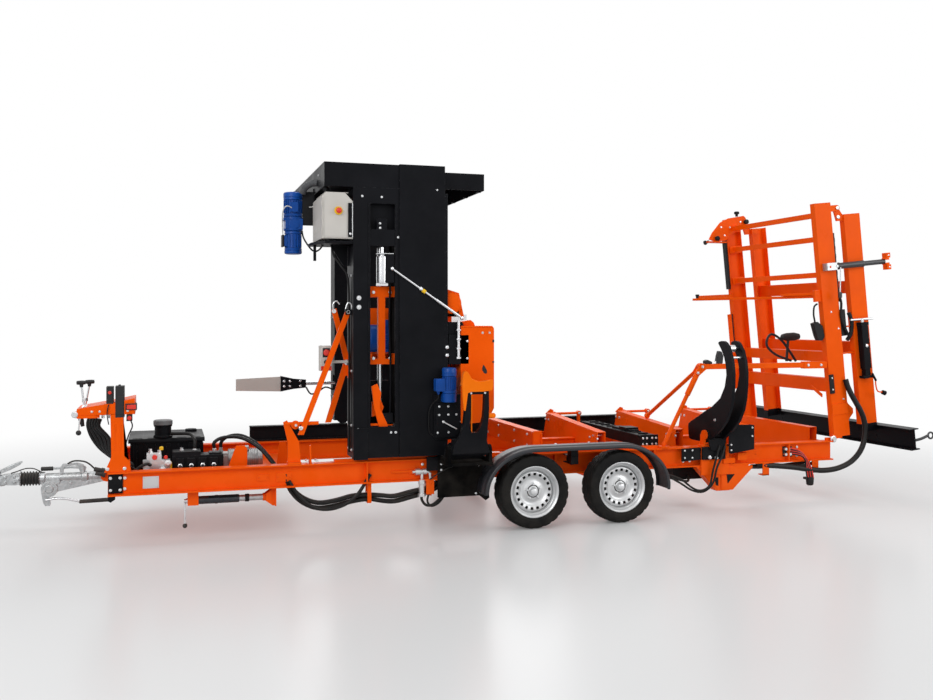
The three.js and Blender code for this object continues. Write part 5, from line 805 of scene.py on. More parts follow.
for x in (-3.15, -3.03):
    drawbar.rod((x, -0.03, 0.352), (x, 0.03, 0.352), 0.018, 12)
for low, high in ((-0.037, -0.0205), (-0.0185, -0.002), (0.002, 0.0185), (0.0205, 0.037)):
    teeth = 30
    outline = []
    for k in range(teeth * 2):
        turn = math.tau * k / teeth / 2
        radius = 0.06 if k % 2 else 0.0545
        outline.append((-3.298 + radius * math.cos(turn), 0.314 + radius * math.sin(turn)))
    drawbar.plate("y", outline, low, high)
drawbar.turned(
    (-3.298, 0, 0.314), FAR,
    [(-0.043, 0), (-0.043, 0.026), (-0.036, 0.03), (0.036, 0.03), (0.043, 0.026), (0.043, 0)], 24)
drawbar.plate(
    "y", [(-3.358, 0.3), (-3.33, 0.3), (-3.3, 0.255), (-3.29, 0.2), (-3.296, 0.186), (-3.33, 0.186),
          (-3.345, 0.215)], -0.006, 0.006)
drawbar.plate(
    "y", [(-3.225, 0.47), (-3.205, 0.5), (-3.1, 0.505), (-3.06, 0.49), (-3.055, 0.425), (-3.085, 0.424),
          (-3.088, 0.47), (-3.12, 0.484), (-3.195, 0.478), (-3.2, 0.424), (-3.225, 0.424)], -0.03, -0.022)
drawbar.make("drawbar_steel", "drawbar_body", galvanised, "drawbar", bevel=0.002)

bellows = Piece()
profile = [(-3.5005, 0.034), (-3.5005, 0.05), (-3.494, 0.053), (-3.488, 0.052)]
for k in range(6):
    x = -3.487 + k * 0.0205
    profile += [(x + 0.004, 0.0425), (x + 0.0075, 0.0425), (x + 0.0125, 0.0538), (x + 0.0165, 0.0538)]
profile += [(-3.366, 0.044), (-3.3605, 0.046), (-3.3605, 0.034)]
bellows.turned((0, 0, bar_z), REAR, profile, 30)
bellows.make("bellows", "drawbar_body", bellows_rubber, "drawbar_bellows", bevel=0, angle=60)

bellows_clips = Piece()
for x, radius in ((-3.4955, 0.0535), (-3.365, 0.047)):
    turns = [math.tau * k / 28 for k in range(28)]
    ring = [(x, radius * math.cos(turn), bar_z + radius * math.sin(turn)) for turn in turns]
    bellows_clips.tube([*ring, ring[0]], 0.004, 6, smooth=0)
bellows_clips.block(-3.5, -3.49, -0.007, 0.007, bar_z + 0.052, bar_z + 0.062)
bellows_clips.make("bellows_clips", "drawbar_body", bright_steel, slot="drawbar", bevel=0)

coupling_lever = Piece()
coupling_lever.rod((head_x, -0.022, 0.452), (head_x, 0.022, 0.452), 0.027, 20)
for side in (-1, 1):
    y0, y1 = sorted((side * 0.016, side * 0.022))
    coupling_lever.plate(
        "y", [(-3.652, 0.445), (-3.63, 0.442), (-3.56, 0.47), (-3.5, 0.502), (-3.484, 0.52),
              (-3.5, 0.526), (-3.575, 0.494), (-3.65, 0.463)], y0, y1)
coupling_lever.plate(
    "y",
    [(-3.625, 0.462), (-3.5, 0.514), (-3.486, 0.526), (-3.5, 0.527), (-3.56, 0.505), (-3.628, 0.472)],
    -0.018, 0.018)
coupling_lever.make("coupling_lever", "coupling_grip", galvanised, "coupling_handle")

brake = Piece()
brake.rod((-3.068, -0.013, 0.455), (-3.068, 0.013, 0.455), 0.05, 22)
brake.plate(
    "y", [(-3.068, 0.453), (-3.068, 0.472), (-3.15, 0.474), (-3.27, 0.472), (-3.285, 0.463),
          (-3.27, 0.455), (-3.15, 0.46)], -0.01, 0.01)
brake.make("brake_lever", "handbrake_body", galvanised, "handbrake_lever")
grip = Piece()
profile = [(0, 0.011), (0.004, 0.015)]
for k in range(7):
    profile += [(0.009 + k * 0.0098, 0.0165), (0.0135 + k * 0.0098, 0.0148)]
profile += [(0.078, 0.0172), (0.084, 0.015), (0.087, 0.008)]
grip.turned((-3.272, 0, 0.4635), FRONT, profile, 20)
grip.make("brake_grip", "handbrake_body", grip_black, bevel=0, angle=55)

drawbar_cables = Piece()
drawbar_cables.tube(
    [(-3.335, -0.015, 0.43), (-3.4, -0.022, 0.47), (-3.46, -0.02, 0.474), (-3.52, -0.018, 0.455),
     (-3.56, -0.016, 0.443)], 0.008, 8)
drawbar_cables.tube(
    [(-3.17, -0.034, 0.5), (-3.12, -0.044, 0.52), (-3.04, -0.05, 0.508), (-2.98, -0.05, 0.455),
     (-2.955, -0.045, 0.425), (-2.93, -0.04, 0.428), (-2.905, -0.038, 0.428)], 0.012, 8)
drawbar_cables.turned(
    (-2.985, -0.055, 0.455), (1, 0, -0.3),
    [(0, 0.012), (0.004, 0.017), (0.05, 0.018), (0.052, 0.023), (0.075, 0.023), (0.078, 0.014)], 18)
drawbar_cables.turned(
    (-2.975, -0.075, 0.425), (1, 0, -0.2),
    [(0, 0.01), (0.004, 0.014), (0.05, 0.015), (0.052, 0.02), (0.072, 0.02), (0.074, 0.012)], 18)
drawbar_cables.turned(
    (-3.092, -0.01, 0.207), (1, 0, 0.02),
    [(0, 0.01), (0.004, 0.015), (0.215, 0.0155), (0.225, 0.017), (0.232, 0.011)], 16)
drawbar_cables.make("drawbar_cables", "drawbar_body", bellows_rubber, bevel=0, angle=50)
steady_bar = Piece()
steady_bar.tube(
    [(-3.325, -0.01, 0.232), (-3.24, -0.01, 0.24), (-3.16, -0.01, 0.228), (-3.085, -0.01, 0.207)], 0.019,
    14)
steady_bar.make("steady_bar", "drawbar_body", bright_steel, slot="drawbar", bevel=0)

end_bracket = Piece()
end_bracket.block(-2.848, -2.752, web_face - 0.01, web_face, 0.382, 0.512)
end_bracket.plate(
    "y", [(-2.848, 0.366), (-2.8, 0.366), (-2.8, 0.345), (-2.83, 0.325), (-2.848, 0.335)], -0.796, -0.786)
end_bracket.make("front_end_bracket", "bed", black_coat, slot="near_beam")
(Piece().bolts([(x, web_face - 0.01, z) for x in (-2.832, -2.77) for z in (0.405, 0.488)], NEAR, 0.016)
 .make("front_end_bolts", "bed", zinc_bolt, bevel=0))

# Front leg: a telescoping tube folded flat below the near beam in a black clamp, with a flared orange foot
# and a crank rod that ends in a ball.
leg_y, leg_z = -0.695, 0.293
front_leg = Piece()
front_leg.turned(
    (-2.286, leg_y, leg_z), REAR,
    [(-0.029, 0.026), (-0.028, 0.029), (0.15, 0.029), (0.151, 0.031), (0.172, 0.031), (0.173, 0.029),
     (0.318, 0.029), (0.32, 0.026)], 24)
leg_grey = coated(
    "leg_grey", (0.045, 0.048, 0.056, 1), 0.3, metal=0.5, wear=0.3, dust=0.15, radius=0.002, tone=0.2)
front_leg.make("front_leg_tube", "leg_body", leg_grey, "front_leg", bevel=0.0008)
(Piece().turned((-2.286, leg_y, leg_z), REAR, [(0.318, 0.0225), (0.512, 0.0225)], 24)
 .make("front_leg_inner_tube", "leg_body", galvanised, slot="front_leg", bevel=0.0008))
foot = Piece()
foot.plates(
    "y", [(-1.782, 0.268), (-1.732, 0.232), (-1.712, 0.232), (-1.712, 0.354), (-1.732, 0.354),
          (-1.782, 0.318)], (-0.732, -0.724), (-0.666, -0.658))
foot.block(-1.718, -1.708, -0.757, -0.633, 0.231, 0.355)
foot.turned((-1.8, leg_y, leg_z), REAR, [(0, 0.028), (0.05, 0.029), (0.084, 0.029)], 24)
foot.make("front_leg_foot", "leg_body", orange_coat, slot="near_beam")
screw_rod = Piece()
screw_rod.turned(
    (-2.286, leg_y, leg_z), REAR, [(0.36, 0.024), (0.362, 0.028), (0.388, 0.028), (0.39, 0.024)], 22)
screw_rod.rod((-2.18, -0.724, 0.318), (-1.98, -0.724, 0.318), 0.016, 12)
screw_rod.make("front_leg_collars", "leg_body", black_coat, slot="near_beam", bevel=0.0008)
crank = Piece()
crank.turned(
    (-2.3155, leg_y, leg_z), FRONT,
    [(0, 0.014), (0.001, 0.017), (0.018, 0.017), (0.02, 0.013), (0.032, 0.012), (0.033, 0.008)], 20)
crank.tube([(-2.3405, leg_y, 0.3), (-2.3405, leg_y, 0.24), (-2.3405, leg_y, 0.13)], 0.013, 12, smooth=0)
crank.make("leg_crank_rod", "leg_crank", bright_steel, "front_leg_crank", bevel=0)
(Piece().ball((-2.3405, leg_y, 0.117), 0.034, 18)
 .make("leg_crank_ball", "leg_crank", grip_black, bevel=0, angle=60))

# Hydraulic power pack: a black sheet tank with a ribbed lid, return filter, valve block and plumbing on the
# orange tray between the beams; the fittings are bright zinc and the hoses black rubber.
hose_black = coated(
    "hose_black", (0.0065, 0.0065, 0.007, 1), 0.42, wear=0.05, dust=0.08, radius=0.002, fine=900,
    height=0.3, tone=0.2, ior=1.3, slot="hose_bundle")
cap_grey = coated("cap_grey", (0.16, 0.165, 0.17, 1), 0.45, wear=0.1, dust=0.2, radius=0.002, fine=500)
red_plastic = coated(
    "red_plastic", (0.75, 0.035, 0.02, 1), 0.32, wear=0.05, dust=0.05, radius=0.001, coat=0.3,
    slot="stop_button")
yellow_plastic = coated(
    "yellow_plastic", (0.9, 0.55, 0.02, 1), 0.4, wear=0.05, dust=0.08, radius=0.001, slot="stop_button")
tray_z = 0.4328
tank = Piece()
tank.block(-2.721, -2.204, -0.286, 0.286, tray_z, 0.668)
for k in range(7):
    x = -2.7 + k * 0.079
    tank.block(x, x + 0.026, -0.294, 0.294, tray_z + 0.01, 0.655)
tank.plate(
    "x", [(-0.3, 0.664), (0.3, 0.664), (0.3, 0.676), (0.286, 0.694), (-0.286, 0.694), (-0.3, 0.676)],
    -2.735, -2.19)
for k in range(5):
    x = -2.705 + k * 0.104
    tank.block(x, x + 0.07, -0.262, 0.262, 0.69, 0.6965)
tank.turned((-2.28, 0.12, 0.694), UP, [(0, 0.045), (0.018, 0.045), (0.022, 0.04), (0.022, 0)], 24)
tank.make("oil_tank_shell", "bed", black_coat, "oil_tank", bevel=0.002)
filter_x, filter_y, filter_z = -2.49, -0.23, 0.6955
filter_body = Piece()
filter_body.turned(
    (filter_x, filter_y, filter_z), UP,
    [(0, 0.069), (0.014, 0.069), (0.016, 0.06), (0.08, 0.06), (0.084, 0.066), (0.096, 0.067)], 32)
filter_body.bolts(
    [(filter_x + 0.063 * math.cos(t), filter_y + 0.063 * math.sin(t), 0.7095)
     for t in (0.4, 1.97, 3.54, 5.11)], UP, 0.012)
filter_body.make("filter_body", "bed", black_coat, "return_filter", bevel=0.0008)
filter_cap = Piece()
profile = [(0.094, 0.06), (0.096, 0.0685), (0.126, 0.067), (0.131, 0.06), (0.132, 0)]
filter_cap.turned((filter_x, filter_y, filter_z), UP, profile, 32)
for k in range(16):
    turn = math.tau * k / 16
    filter_cap.rod(
        (filter_x + 0.0665 * math.cos(turn), filter_y + 0.0665 * math.sin(turn), 0.792),
        (filter_x + 0.066 * math.cos(turn), filter_y + 0.066 * math.sin(turn), 0.822), 0.006, 8)
filter_cap.make("filter_cap", "bed", cap_grey, slot="return_filter", bevel=0.0008)

valve_pitch = 0.078
valve_block = Piece()
valve_block.blocks(
    (-2.4, -2.09, -0.58, -0.46, tray_z, 0.47), (-2.425, -2.07, -0.6, -0.44, 0.468, 0.6),
    (-2.425, -2.23, -0.6, -0.44, 0.598, 0.628))
for k in range(4):
    valve_block.block(-2.4 + k * valve_pitch, -2.345 + k * valve_pitch, -0.618, -0.598, 0.482, 0.582)
valve_block.block(-2.17, -2.08, -0.58, -0.47, 0.598, 0.612)
valve_block.make("valve_block", "bed", black_coat, slot="oil_tank", bevel=0.003)
fittings = Piece()
for k, (x, z) in enumerate(((-2.6, 0.5), (-2.545, 0.475), (-2.49, 0.51), (-2.455, 0.56))):
    fittings.turned(
        (x, -0.6 - 0.01 * (k % 2), z), NEAR,
        [(0, 0.02), (0.03, 0.02), (0.032, 0.026), (0.052, 0.026), (0.054, 0.015), (0.07, 0.014)], 6)
fittings.blocks((-2.625, -2.44, -0.6, -0.53, tray_z, 0.575), (-2.6, -2.5, -0.6, -0.54, 0.573, 0.625))
fittings.stepped((-2.575, -0.57, 0.624), UP, (0.018, 0.012), (0.012, 0.03))
fittings.stepped((-2.515, -0.57, 0.574), UP, (0.02, 0.03), (0.013, 0.07))
for k in range(4):
    fittings.turned(
        (-2.373 + k * valve_pitch, -0.617, 0.532), NEAR,
        [(0, 0.017), (0.014, 0.017), (0.016, 0.012), (0.03, 0.011)], 6)
for x in (-2.36, -2.27, -2.13):
    fittings.stepped((x, -0.51, 0.612), UP, (0.016, 0.02), (0.011, 0.035))
fittings.make("hydraulic_fittings", "bed", zinc_bolt, bevel=0.0006)
(Piece().turned((-2.545, -0.615, 0.6), NEAR, [(0, 0.016), (0.018, 0.018), (0.022, 0.014)], 20)
 .turned((-2.47, -0.615, 0.598), NEAR, [(0, 0.013), (0.016, 0.014), (0.02, 0.01)], 20)
 .make("valve_knobs_red", "bed", red_plastic, bevel=0))
(Piece().turned((-2.5, -0.57, 0.644), UP, [(0, 0.014), (0.02, 0.015), (0.024, 0.01)], 20)
 .block(-2.44, -2.428, -0.64, -0.6, 0.5, 0.56)
 .make("valve_knobs_yellow", "bed", yellow_plastic, bevel=0.001))

tray_plate = Piece()
tray_plate.plate(
    "y", [(-2.035, 0.5), (-2.035, 0.53), (-1.985, 0.665), (-1.925, 0.665), (-1.905, 0.64), (-1.905, 0.5)],
    -0.655, -0.647)
tray_plate.blocks(
    (-2.035, -1.905, -0.655, -0.6, 0.5, 0.508), (-2.035, -2.027, -0.655, -0.6, tray_z, 0.508),
    (-1.913, -1.905, -0.655, -0.6, tray_z, 0.508))
tray_plate.plate("y", [(-1.66, tray_z), (-1.56, tray_z), (-1.585, 0.64), (-1.635, 0.64)], -0.3, -0.292)
tray_plate.make("tray_plates", "bed", orange_coat, slot="front_cross_member")

pump = Piece()
pump.blocks(
    (-2.13, -1.796, -0.39, -0.27, tray_z, 0.458), (-2.128, -2.022, -0.388, -0.272, 0.456, 0.578),
    (-2.115, -2.035, -0.396, -0.264, 0.47, 0.56))
pump.stepped((-2.075, -0.33, 0.577), UP, (0.02, 0.016), (0.015, 0.041))
for k in range(15):
    pump.stepped((-2.018 + k * 0.0145, -0.33, 0.529), REAR, (0.074, 0.006), sides=30)
pump.turned(
    (-2.022, -0.33, 0.529), REAR,
    [(0, 0.066), (0.215, 0.066), (0.216, 0.0735), (0.246, 0.0735), (0.252, 0.066), (0.252, 0)], 30)
pump.block(-1.95, -1.87, -0.375, -0.285, 0.595, 0.619)
cast_alloy = coated(
    "cast_alloy", (0.42, 0.425, 0.43, 1), 0.42, metal=0.75, wear=0.2, bare=(0.6, 0.6, 0.6, 1), dust=0.3,
    radius=0.002, fine=350, height=0.3)
pump.make("pump_and_motor", "bed", cast_alloy, "pump_unit", bevel=0.001)
pump_hoses = Piece()
pump_hoses.tube(
    [(-2.075, -0.33, 0.612), (-2.07, -0.335, 0.66), (-2.02, -0.36, 0.7), (-1.93, -0.42, 0.71),
     (-1.83, -0.5, 0.66), (-1.74, -0.56, 0.56), (-1.67, -0.6, 0.47), (-1.6, -0.62, 0.452)], 0.026, 12)
pump_hoses.tube(
    [(-2.13, -0.51, 0.64), (-2.13, -0.52, 0.68), (-2.06, -0.5, 0.71), (-1.93, -0.5, 0.7),
     (-1.8, -0.56, 0.62), (-1.7, -0.62, 0.5), (-1.62, -0.65, 0.452)], 0.026, 12)
pump_hoses.tube(
    [(-2.27, -0.51, 0.64), (-2.27, -0.5, 0.7), (-2.3, -0.42, 0.735), (-2.38, -0.33, 0.73),
     (-2.43, -0.28, 0.725)], 0.024, 12)
pump_hoses.tube(
    [(-2.575, -0.62, 0.545), (-2.6, -0.66, 0.56), (-2.66, -0.67, 0.53), (-2.7, -0.62, 0.46),
     (-2.72, -0.5, 0.448), (-2.74, -0.4, 0.448)], 0.022, 12)
for k in range(4):
    x = -2.373 + k * valve_pitch
    pump_hoses.tube(
        [(x, -0.64, 0.532), (x + 0.005, -0.675, 0.525), (x + 0.02, -0.69, 0.495),
         (x + 0.06, -0.68, 0.458), (x + 0.14, -0.66 + 0.02 * (k % 2), 0.4515)], 0.02, 10)
pump_hoses.make("power_pack_hoses", "bed", hose_black, bevel=0, angle=60)

# Operator's console: a folded orange column bolted on the near beam with a wedge panel, a pair of valve
# levers with black T-grips, two switch boxes and the fat rubber hoses that drop from it.
console_back = Piece()
console_back.plates(
    "y", [(-2.872, 0.5305), (-2.7, 0.5305), (-2.706, 0.6), (-2.742, 0.64), (-2.748, 0.931),
          (-2.832, 0.931), (-2.826, 0.64), (-2.84, 0.6)], (-0.791, -0.785), (-0.725, -0.719))
console_back.plate(
    "y", [(-2.87, 0.5305), (-2.702, 0.5305), (-2.708, 0.598), (-2.744, 0.638), (-2.75, 0.931),
          (-2.757, 0.931), (-2.751, 0.64), (-2.716, 0.6), (-2.712, 0.537), (-2.87, 0.537)], -0.786,
    -0.724)
console_back.plate(
    "y", [(-2.832, 0.931), (-2.825, 0.931), (-2.819, 0.64), (-2.826, 0.64)], -0.786, -0.724)
for x in (-2.765, -2.8):
    console_back.block(x - 0.004, x + 0.004, -0.794, -0.79, 0.68, 0.86)
console_back.plates(
    "y", [(-3.046, 0.926), (-2.674, 0.926), (-2.674, 1.036), (-2.8, 1.01), (-3.046, 0.97)],
    (-0.791, -0.785), (-0.467, -0.461))
console_back.plate(
    "y", [(-3.046, 0.932), (-3.04, 0.932), (-3.04, 0.964), (-2.8, 1.004), (-2.68, 1.03), (-2.68, 0.926),
          (-2.674, 0.926), (-2.674, 1.036), (-2.8, 1.01), (-3.046, 0.97)], -0.786, -0.466)
console_back.plate(
    "y", [(-3.046, 0.926), (-2.674, 0.926), (-2.674, 0.932), (-3.046, 0.932)], -0.786, -0.466)
console_back.plate("z", [(-3.046, -0.791), (-2.93, -0.791), (-2.9, -0.77), (-3.046, -0.7)], 0.905, 0.926)
console_back.make("console_sheet", "bed", orange_coat, "control_console", bevel=0.0022)
lever_x, lever_z = -3.004, 0.9723
console_boxes = Piece()
console_boxes.blocks(
    (-2.858, -2.812, -0.792, -0.7, 1, 1.118), (-2.8, -2.742, -0.792, -0.69, 0.905, 1.12),
    (-2.852, -2.818, -0.797, -0.79, 1.02, 1.1), (-2.794, -2.748, -0.797, -0.79, 0.925, 1.05))
console_boxes.rod((lever_x, -0.749, lever_z), (lever_x, -0.581, lever_z), 0.013, 14)
console_boxes.block(-3.036, -2.972, -0.755, -0.575, 0.962, 0.969)
console_boxes.turned(
    (-3.035, -0.64, 0.905), (0.25, 0, -1), [(0, 0.016), (0.03, 0.018), (0.05, 0.014), (0.07, 0.012)], 18)
console_boxes.ball((-3.035, -0.78, 0.808), 0.036, 16)
for k in range(3):
    console_boxes.stepped((-2.775, -0.745 + k * 0.022, 1.119), UP, (0.008, 0.006), (0.006,), sides=14)
console_boxes.blocks((-2.735, -2.66, -0.8, -0.74, 0.955, 1), (-2.728, -2.69, -0.805, -0.74, 0.88, 0.925))
console_boxes.make("console_boxes", "bed", grip_black, slot="oil_tank", bevel=0.002)
console_bright = Piece()
console_bright.tube(
    [(-3.02, -0.78, 0.93), (-3.03, -0.78, 0.88), (-3.035, -0.78, 0.82)], 0.01, 12, smooth=0)
console_bright.turned(
    (-3.05, -0.755, 0.932), (-0.3, -1, 0),
    [(0, 0.01), (0.02, 0.01), (0.022, 0.024), (0.034, 0.024), (0.038, 0.018)], 7)
for x in (-2.95, -2.9, -2.72):
    console_bright.bolt((x, -0.791, 0.95), NEAR, 0.012)
console_bright.bolts([(-2.85, -0.791, 0.555), (-2.74, -0.791, 0.555)], NEAR, 0.018)
console_bright.bolts([(-2.845 + 0.11 * k, -0.76, 0.5375) for k in (0, 1)], UP, 0.016)
for k in range(4):
    console_bright.stepped((-2.985 + k * 0.045, -0.5, 0.926), DOWN, (0.017, 0.02), (0.013, 0.05))
console_bright.make("console_fittings", "bed", zinc_bolt, bevel=0.0006)
(Piece().block(-2.725, -2.665, -0.806, -0.8, 0.962, 0.992)
 .turned((-2.708, -0.806, 0.902), NEAR, [(0, 0.014), (0.012, 0.015), (0.016, 0.011)], 20)
 .turned((-2.835, -0.797, 1.078), NEAR, [(0, 0.011), (0.009, 0.012), (0.012, 0.009)], 20)
 .make("console_red_parts", "bed", red_plastic, bevel=0.001))
for number, y, lean in ((1, -0.707, -0.02), (2, -0.623, 0.03)):
    lever = Piece()
    lever.turned(
        (lever_x, y, lever_z), FAR, [(-0.017, 0.014), (-0.016, 0.0165), (0.016, 0.0165), (0.017, 0.014)],
        22)
    lever.tube(
        [(lever_x, y, 0.978), (lever_x + lean * 0.45, y, 1.05), (lever_x + lean, y, 1.144)], 0.0135, 14,
        smooth=0)
    lever.turned((lever_x + lean * 0.25, y, 1.02), UP, [(-0.01, 0.011), (0.012, 0.011)], 6)
    lever.make(
        f"valve_lever_{number}", f"lever_{number}", bright_steel, f"control_lever_{number}", bevel=0)
    grip = Piece()
    grip.turned(
        (lever_x + lean, y, 1.144), (0.94, 0.34, 0),
        [(-0.03, 0.008), (-0.028, 0.013), (-0.012, 0.0145), (0.012, 0.0145), (0.028, 0.013),
         (0.03, 0.008)], 20)
    grip.turned((lever_x + lean * 0.9, y, 1.112), UP, [(0, 0.01), (0.016, 0.013), (0.028, 0.012)], 18)
    grip.make(f"valve_grip_{number}", f"lever_{number}", grip_black, bevel=0, angle=60)
console_hoses = Piece()
for k in range(5):
    y = -0.5 - 0.034 * k
    x = -2.985 + 0.02 * k
    console_hoses.tube(
        [(x, y, 0.885), (x - 0.01, y, 0.83), (x + 0.015 + 0.01 * k, y - 0.01, 0.75),
         (x + 0.07, y - 0.02, 0.67), (x + 0.15, y - 0.02, 0.6), (x + 0.21, y - 0.01, 0.555),
         (-2.745 + 0.008 * k, y + 0.01, 0.5), (-2.715, y + 0.03, 0.462), (-2.65, y + 0.04, 0.45)], 0.027,
        12)
console_hoses.make("console_hoses", "bed", hose_black, bevel=0, angle=60)
console_cables = Piece()
console_cables.tube(
    [(-2.7, -0.772, 0.88), (-2.69, -0.778, 0.84), (-2.715, -0.774, 0.78), (-2.735, -0.768, 0.7),
     (-2.73, -0.765, 0.62), (-2.7, -0.755, 0.56), (-2.65, -0.74, 0.535)], 0.009, 8)
console_cables.tube(
    [(-2.835, -0.76, 1.002), (-2.845, -0.8, 0.985), (-2.852, -0.802, 0.93), (-2.842, -0.798, 0.86)],
    0.008, 8)
console_cables.make("console_cables", "bed", hose_black, bevel=0, angle=60)

# Gantry: two folded sheet columns joined by a header box with a canopy tray, in satin black powder coat,
# bolted together with zinc hardware; rollers carry it on the rails of the trailer.
dress(black_coat, "near_column", "near_cover", "far_tower", "header_canopy")
column_face, cover_face = -0.86, -0.87
gantry_bolts = Piece()
for x, z in ((-1.1, 2.48), (-0.955, 2.478), (-0.832, 2.185)):
    gantry_bolts.bolt((x, column_face, z), NEAR, 0.013)
gantry_bolts.bolts([(-0.966, -0.852, 2.285), (-0.966, -0.852, 2.252)], NEAR, 0.013)
for x, z in ((-1.125, 1.735), (-1.125, 1.668)):
    gantry_bolts.stepped((x, column_face, z), NEAR, (0.017, 0.004), sides=20)
    gantry_bolts.bolt((x, column_face - 0.004, z), NEAR, 0.015)
for x, z in (
        (-1.13, 0.775), (-1.145, 0.7), (-1.12, 0.61), (-1.145, 0.56), (-0.885, 0.745), (-0.85, 0.745)):
    gantry_bolts.bolt((x, column_face, z), NEAR, 0.014)
gantry_bolts.bolt((-0.535, cover_face, 2.545), NEAR, 0.011)
for y in (-0.6, -0.2, 0.2, 0.6):
    gantry_bolts.bolt((-1.378, y, 2.655), FRONT, 0.013)
for y in (-0.8, -0.68):
    for z in (2.4, 1.9, 1.2, 0.8, 0.62):
        gantry_bolts.bolt((-1.167, y, z), FRONT, 0.017)
for y in (0.69, 0.8):
    for z in (2.35, 1.6, 0.9, 0.72):
        gantry_bolts.bolt((-1.05, y, z), FRONT, 0.017)
gantry_bolts.make("gantry_bolts", "gantry", zinc_bolt, bevel=0)

gantry_sheet = Piece()
gantry_sheet.blocks(
    (-0.4745, -0.452, cover_face, cover_face + 0.004, 0.58, 2.52),
    (-0.456, -0.452, cover_face, cover_face + 0.04, 0.58, 2.52),
    (-1.055, -1.043, column_face - 0.006, column_face, 0.79, 2.43),
    (-0.853, -0.841, column_face - 0.006, column_face, 0.79, 2.43),
    (-1.166, -1.058, column_face - 0.008, column_face, 0.552, 0.782))
gantry_sheet.plate(
    "z", [(-1.37, -0.85), (-1.168, -0.85), (-1.168, -0.47), (-1.44, -0.47), (-1.44, -0.62)], 2.13, 2.15)
gantry_sheet.plate("y", [(-1.3, 2.13), (-1.168, 2.13), (-1.168, 1.98), (-1.2, 1.98)], -0.64, -0.63)
gantry_sheet.blocks(
    (-1.42, -1.4, -0.62, -0.6, 2.015, 2.135), (-0.815, -0.09, 0.448, 0.452, 2.585, 2.6),
    (-0.88, -0.36, 0.652, 0.66, 2.53, 2.7))
for y in (-0.55, -0.2, 0.15, 0.42):
    gantry_sheet.block(-0.12, -0.084, y, y + 0.03, 2.585, 2.595)
gantry_sheet.make("gantry_sheet_parts", "gantry", black_coat, slot="near_cover", bevel=0.0012)

# What shows in the slot of the near column: the lift cylinder under its chrome cover, the clevis, the guide
# rods of the head and the link below it, all inside the box of the column.
ram_x, ram_y = -0.945, -0.822
lift_parts = Piece()
lift_parts.turned(
    (ram_x, ram_y, 1.842), UP,
    [(0, 0.03), (0.004, 0.04), (0.03, 0.042), (0.2, 0.042), (0.205, 0.034), (0.218, 0.03), (0.219, 0)],
    28)
lift_parts.stepped((ram_x, ram_y, 2.058), UP, (0.016, 0.055), sides=20)
lift_parts.blocks(
    (-0.985, -0.905, -0.845, -0.8, 1.826, 1.846), (-0.985, -0.864, -0.862, -0.8, 2.061, 2.066))
lift_parts.rod((-0.945, -0.74, 0.8), (-0.945, -0.74, 2.11), 0.038, 20)
lift_parts.make("lift_cylinder", "gantry", bright_steel, bevel=0.001)
lift_link = Piece()
lift_link.plate(
    "y", [(-1.03, 1.085), (-0.985, 1.105), (-0.955, 1.04), (-0.965, 0.93), (-0.905, 0.8), (-0.905, 0.765),
          (-0.965, 0.765), (-1.01, 0.93), (-1.02, 1.02)], -0.842, -0.826)
lift_link.block(-1.035, -0.865, -0.835, -0.815, 0.795, 0.812)
lift_link.plate(
    "y", [(-1.02, 0.86), (-0.95, 0.88), (-0.93, 0.93), (-0.955, 0.99), (-1.02, 0.97)], -0.815, -0.79)
lift_link.make("lift_link", "gantry", orange_coat, slot="head_frame")
lift_dark = Piece()
lift_dark.blocks(
    (-0.975, -0.865, -0.835, -0.765, 0.8, 0.885), (-1.035, -0.862, -0.7, -0.64, 0.795, 1.12),
    (-1.045, -0.8355, -0.8, -0.792, 2.235, 2.52), (-0.99, -0.915, -0.852, -0.844, 2.23, 2.32),
    (-0.926, -0.864, -0.863, -0.8, 1.85, 2.06))
lift_dark.tube(
    [(-0.9, -0.8, 2.06), (-0.88, -0.81, 1.9), (-0.885, -0.8, 1.6), (-0.875, -0.8, 1.2),
     (-0.88, -0.8, 0.82)], 0.016, 8)
lift_dark.make("column_inside", "gantry", black_coat, slot="near_column")
# Dead matt black with almost no reflection: the front loader's bracket takes it, and so do the sheets of
# painted shade below.
matt_black_and_painted_shade = coated("matt_black_and_painted_shade", (0.0035, 0.0036, 0.0042, 1), 0.85, wear=0, dust=0.1, tone=0.3, ior=1.08)
# Thin sheets of it inside the near column, behind its slot: painted shade of the column's dark inside, not
# parts of the machine.
(Piece().blocks((-0.8345, -0.8303, -0.851, -0.61, 0.8, 2.52), (-0.848, -0.8303, -0.64, -0.612, 0.8, 2.52))
 .make("column_painted_shade", "gantry", matt_black_and_painted_shade, slot="near_column", bevel=0))

# Control cabinet: a grey enamelled sheet box with a bevelled top, hung on the front column, its door on two
# hinges with a quarter-turn lock and the red mushroom stop on a yellow plate.
cabinet_grey = coated(
    "cabinet_grey", (0.6, 0.575, 0.535, 1), 0.45, wear=0.2, bare=(0.3, 0.29, 0.27, 1), dust=0.12,
    radius=0.003, fine=450, height=0.18, tone=0.06, slot="control_cabinet")
dress(cabinet_grey, "control_cabinet", "cabinet_door")
cabinet = Piece()
for k in range(6):
    cabinet.block(-1.3965, -1.394, -0.72 + k * 0.05, -0.695 + k * 0.05, 2.22, 2.32)
cabinet.block(-1.37, -1.2, -0.848, -0.42, 2.4995, 2.503)
for z in (2.22, 2.42):
    cabinet.rod((-1.3953, -0.8643, z - 0.022), (-1.3953, -0.8643, z + 0.022), 0.01, 12)
cabinet.make("cabinet_louvres", "gantry", cabinet_grey, bevel=0.0008)
door_frame = Piece()
door_frame.blocks(
    (-1.388, -1.18, -0.8685, -0.8655, 2.172, 2.176), (-1.388, -1.384, -0.8685, -0.8655, 2.176, 2.46))
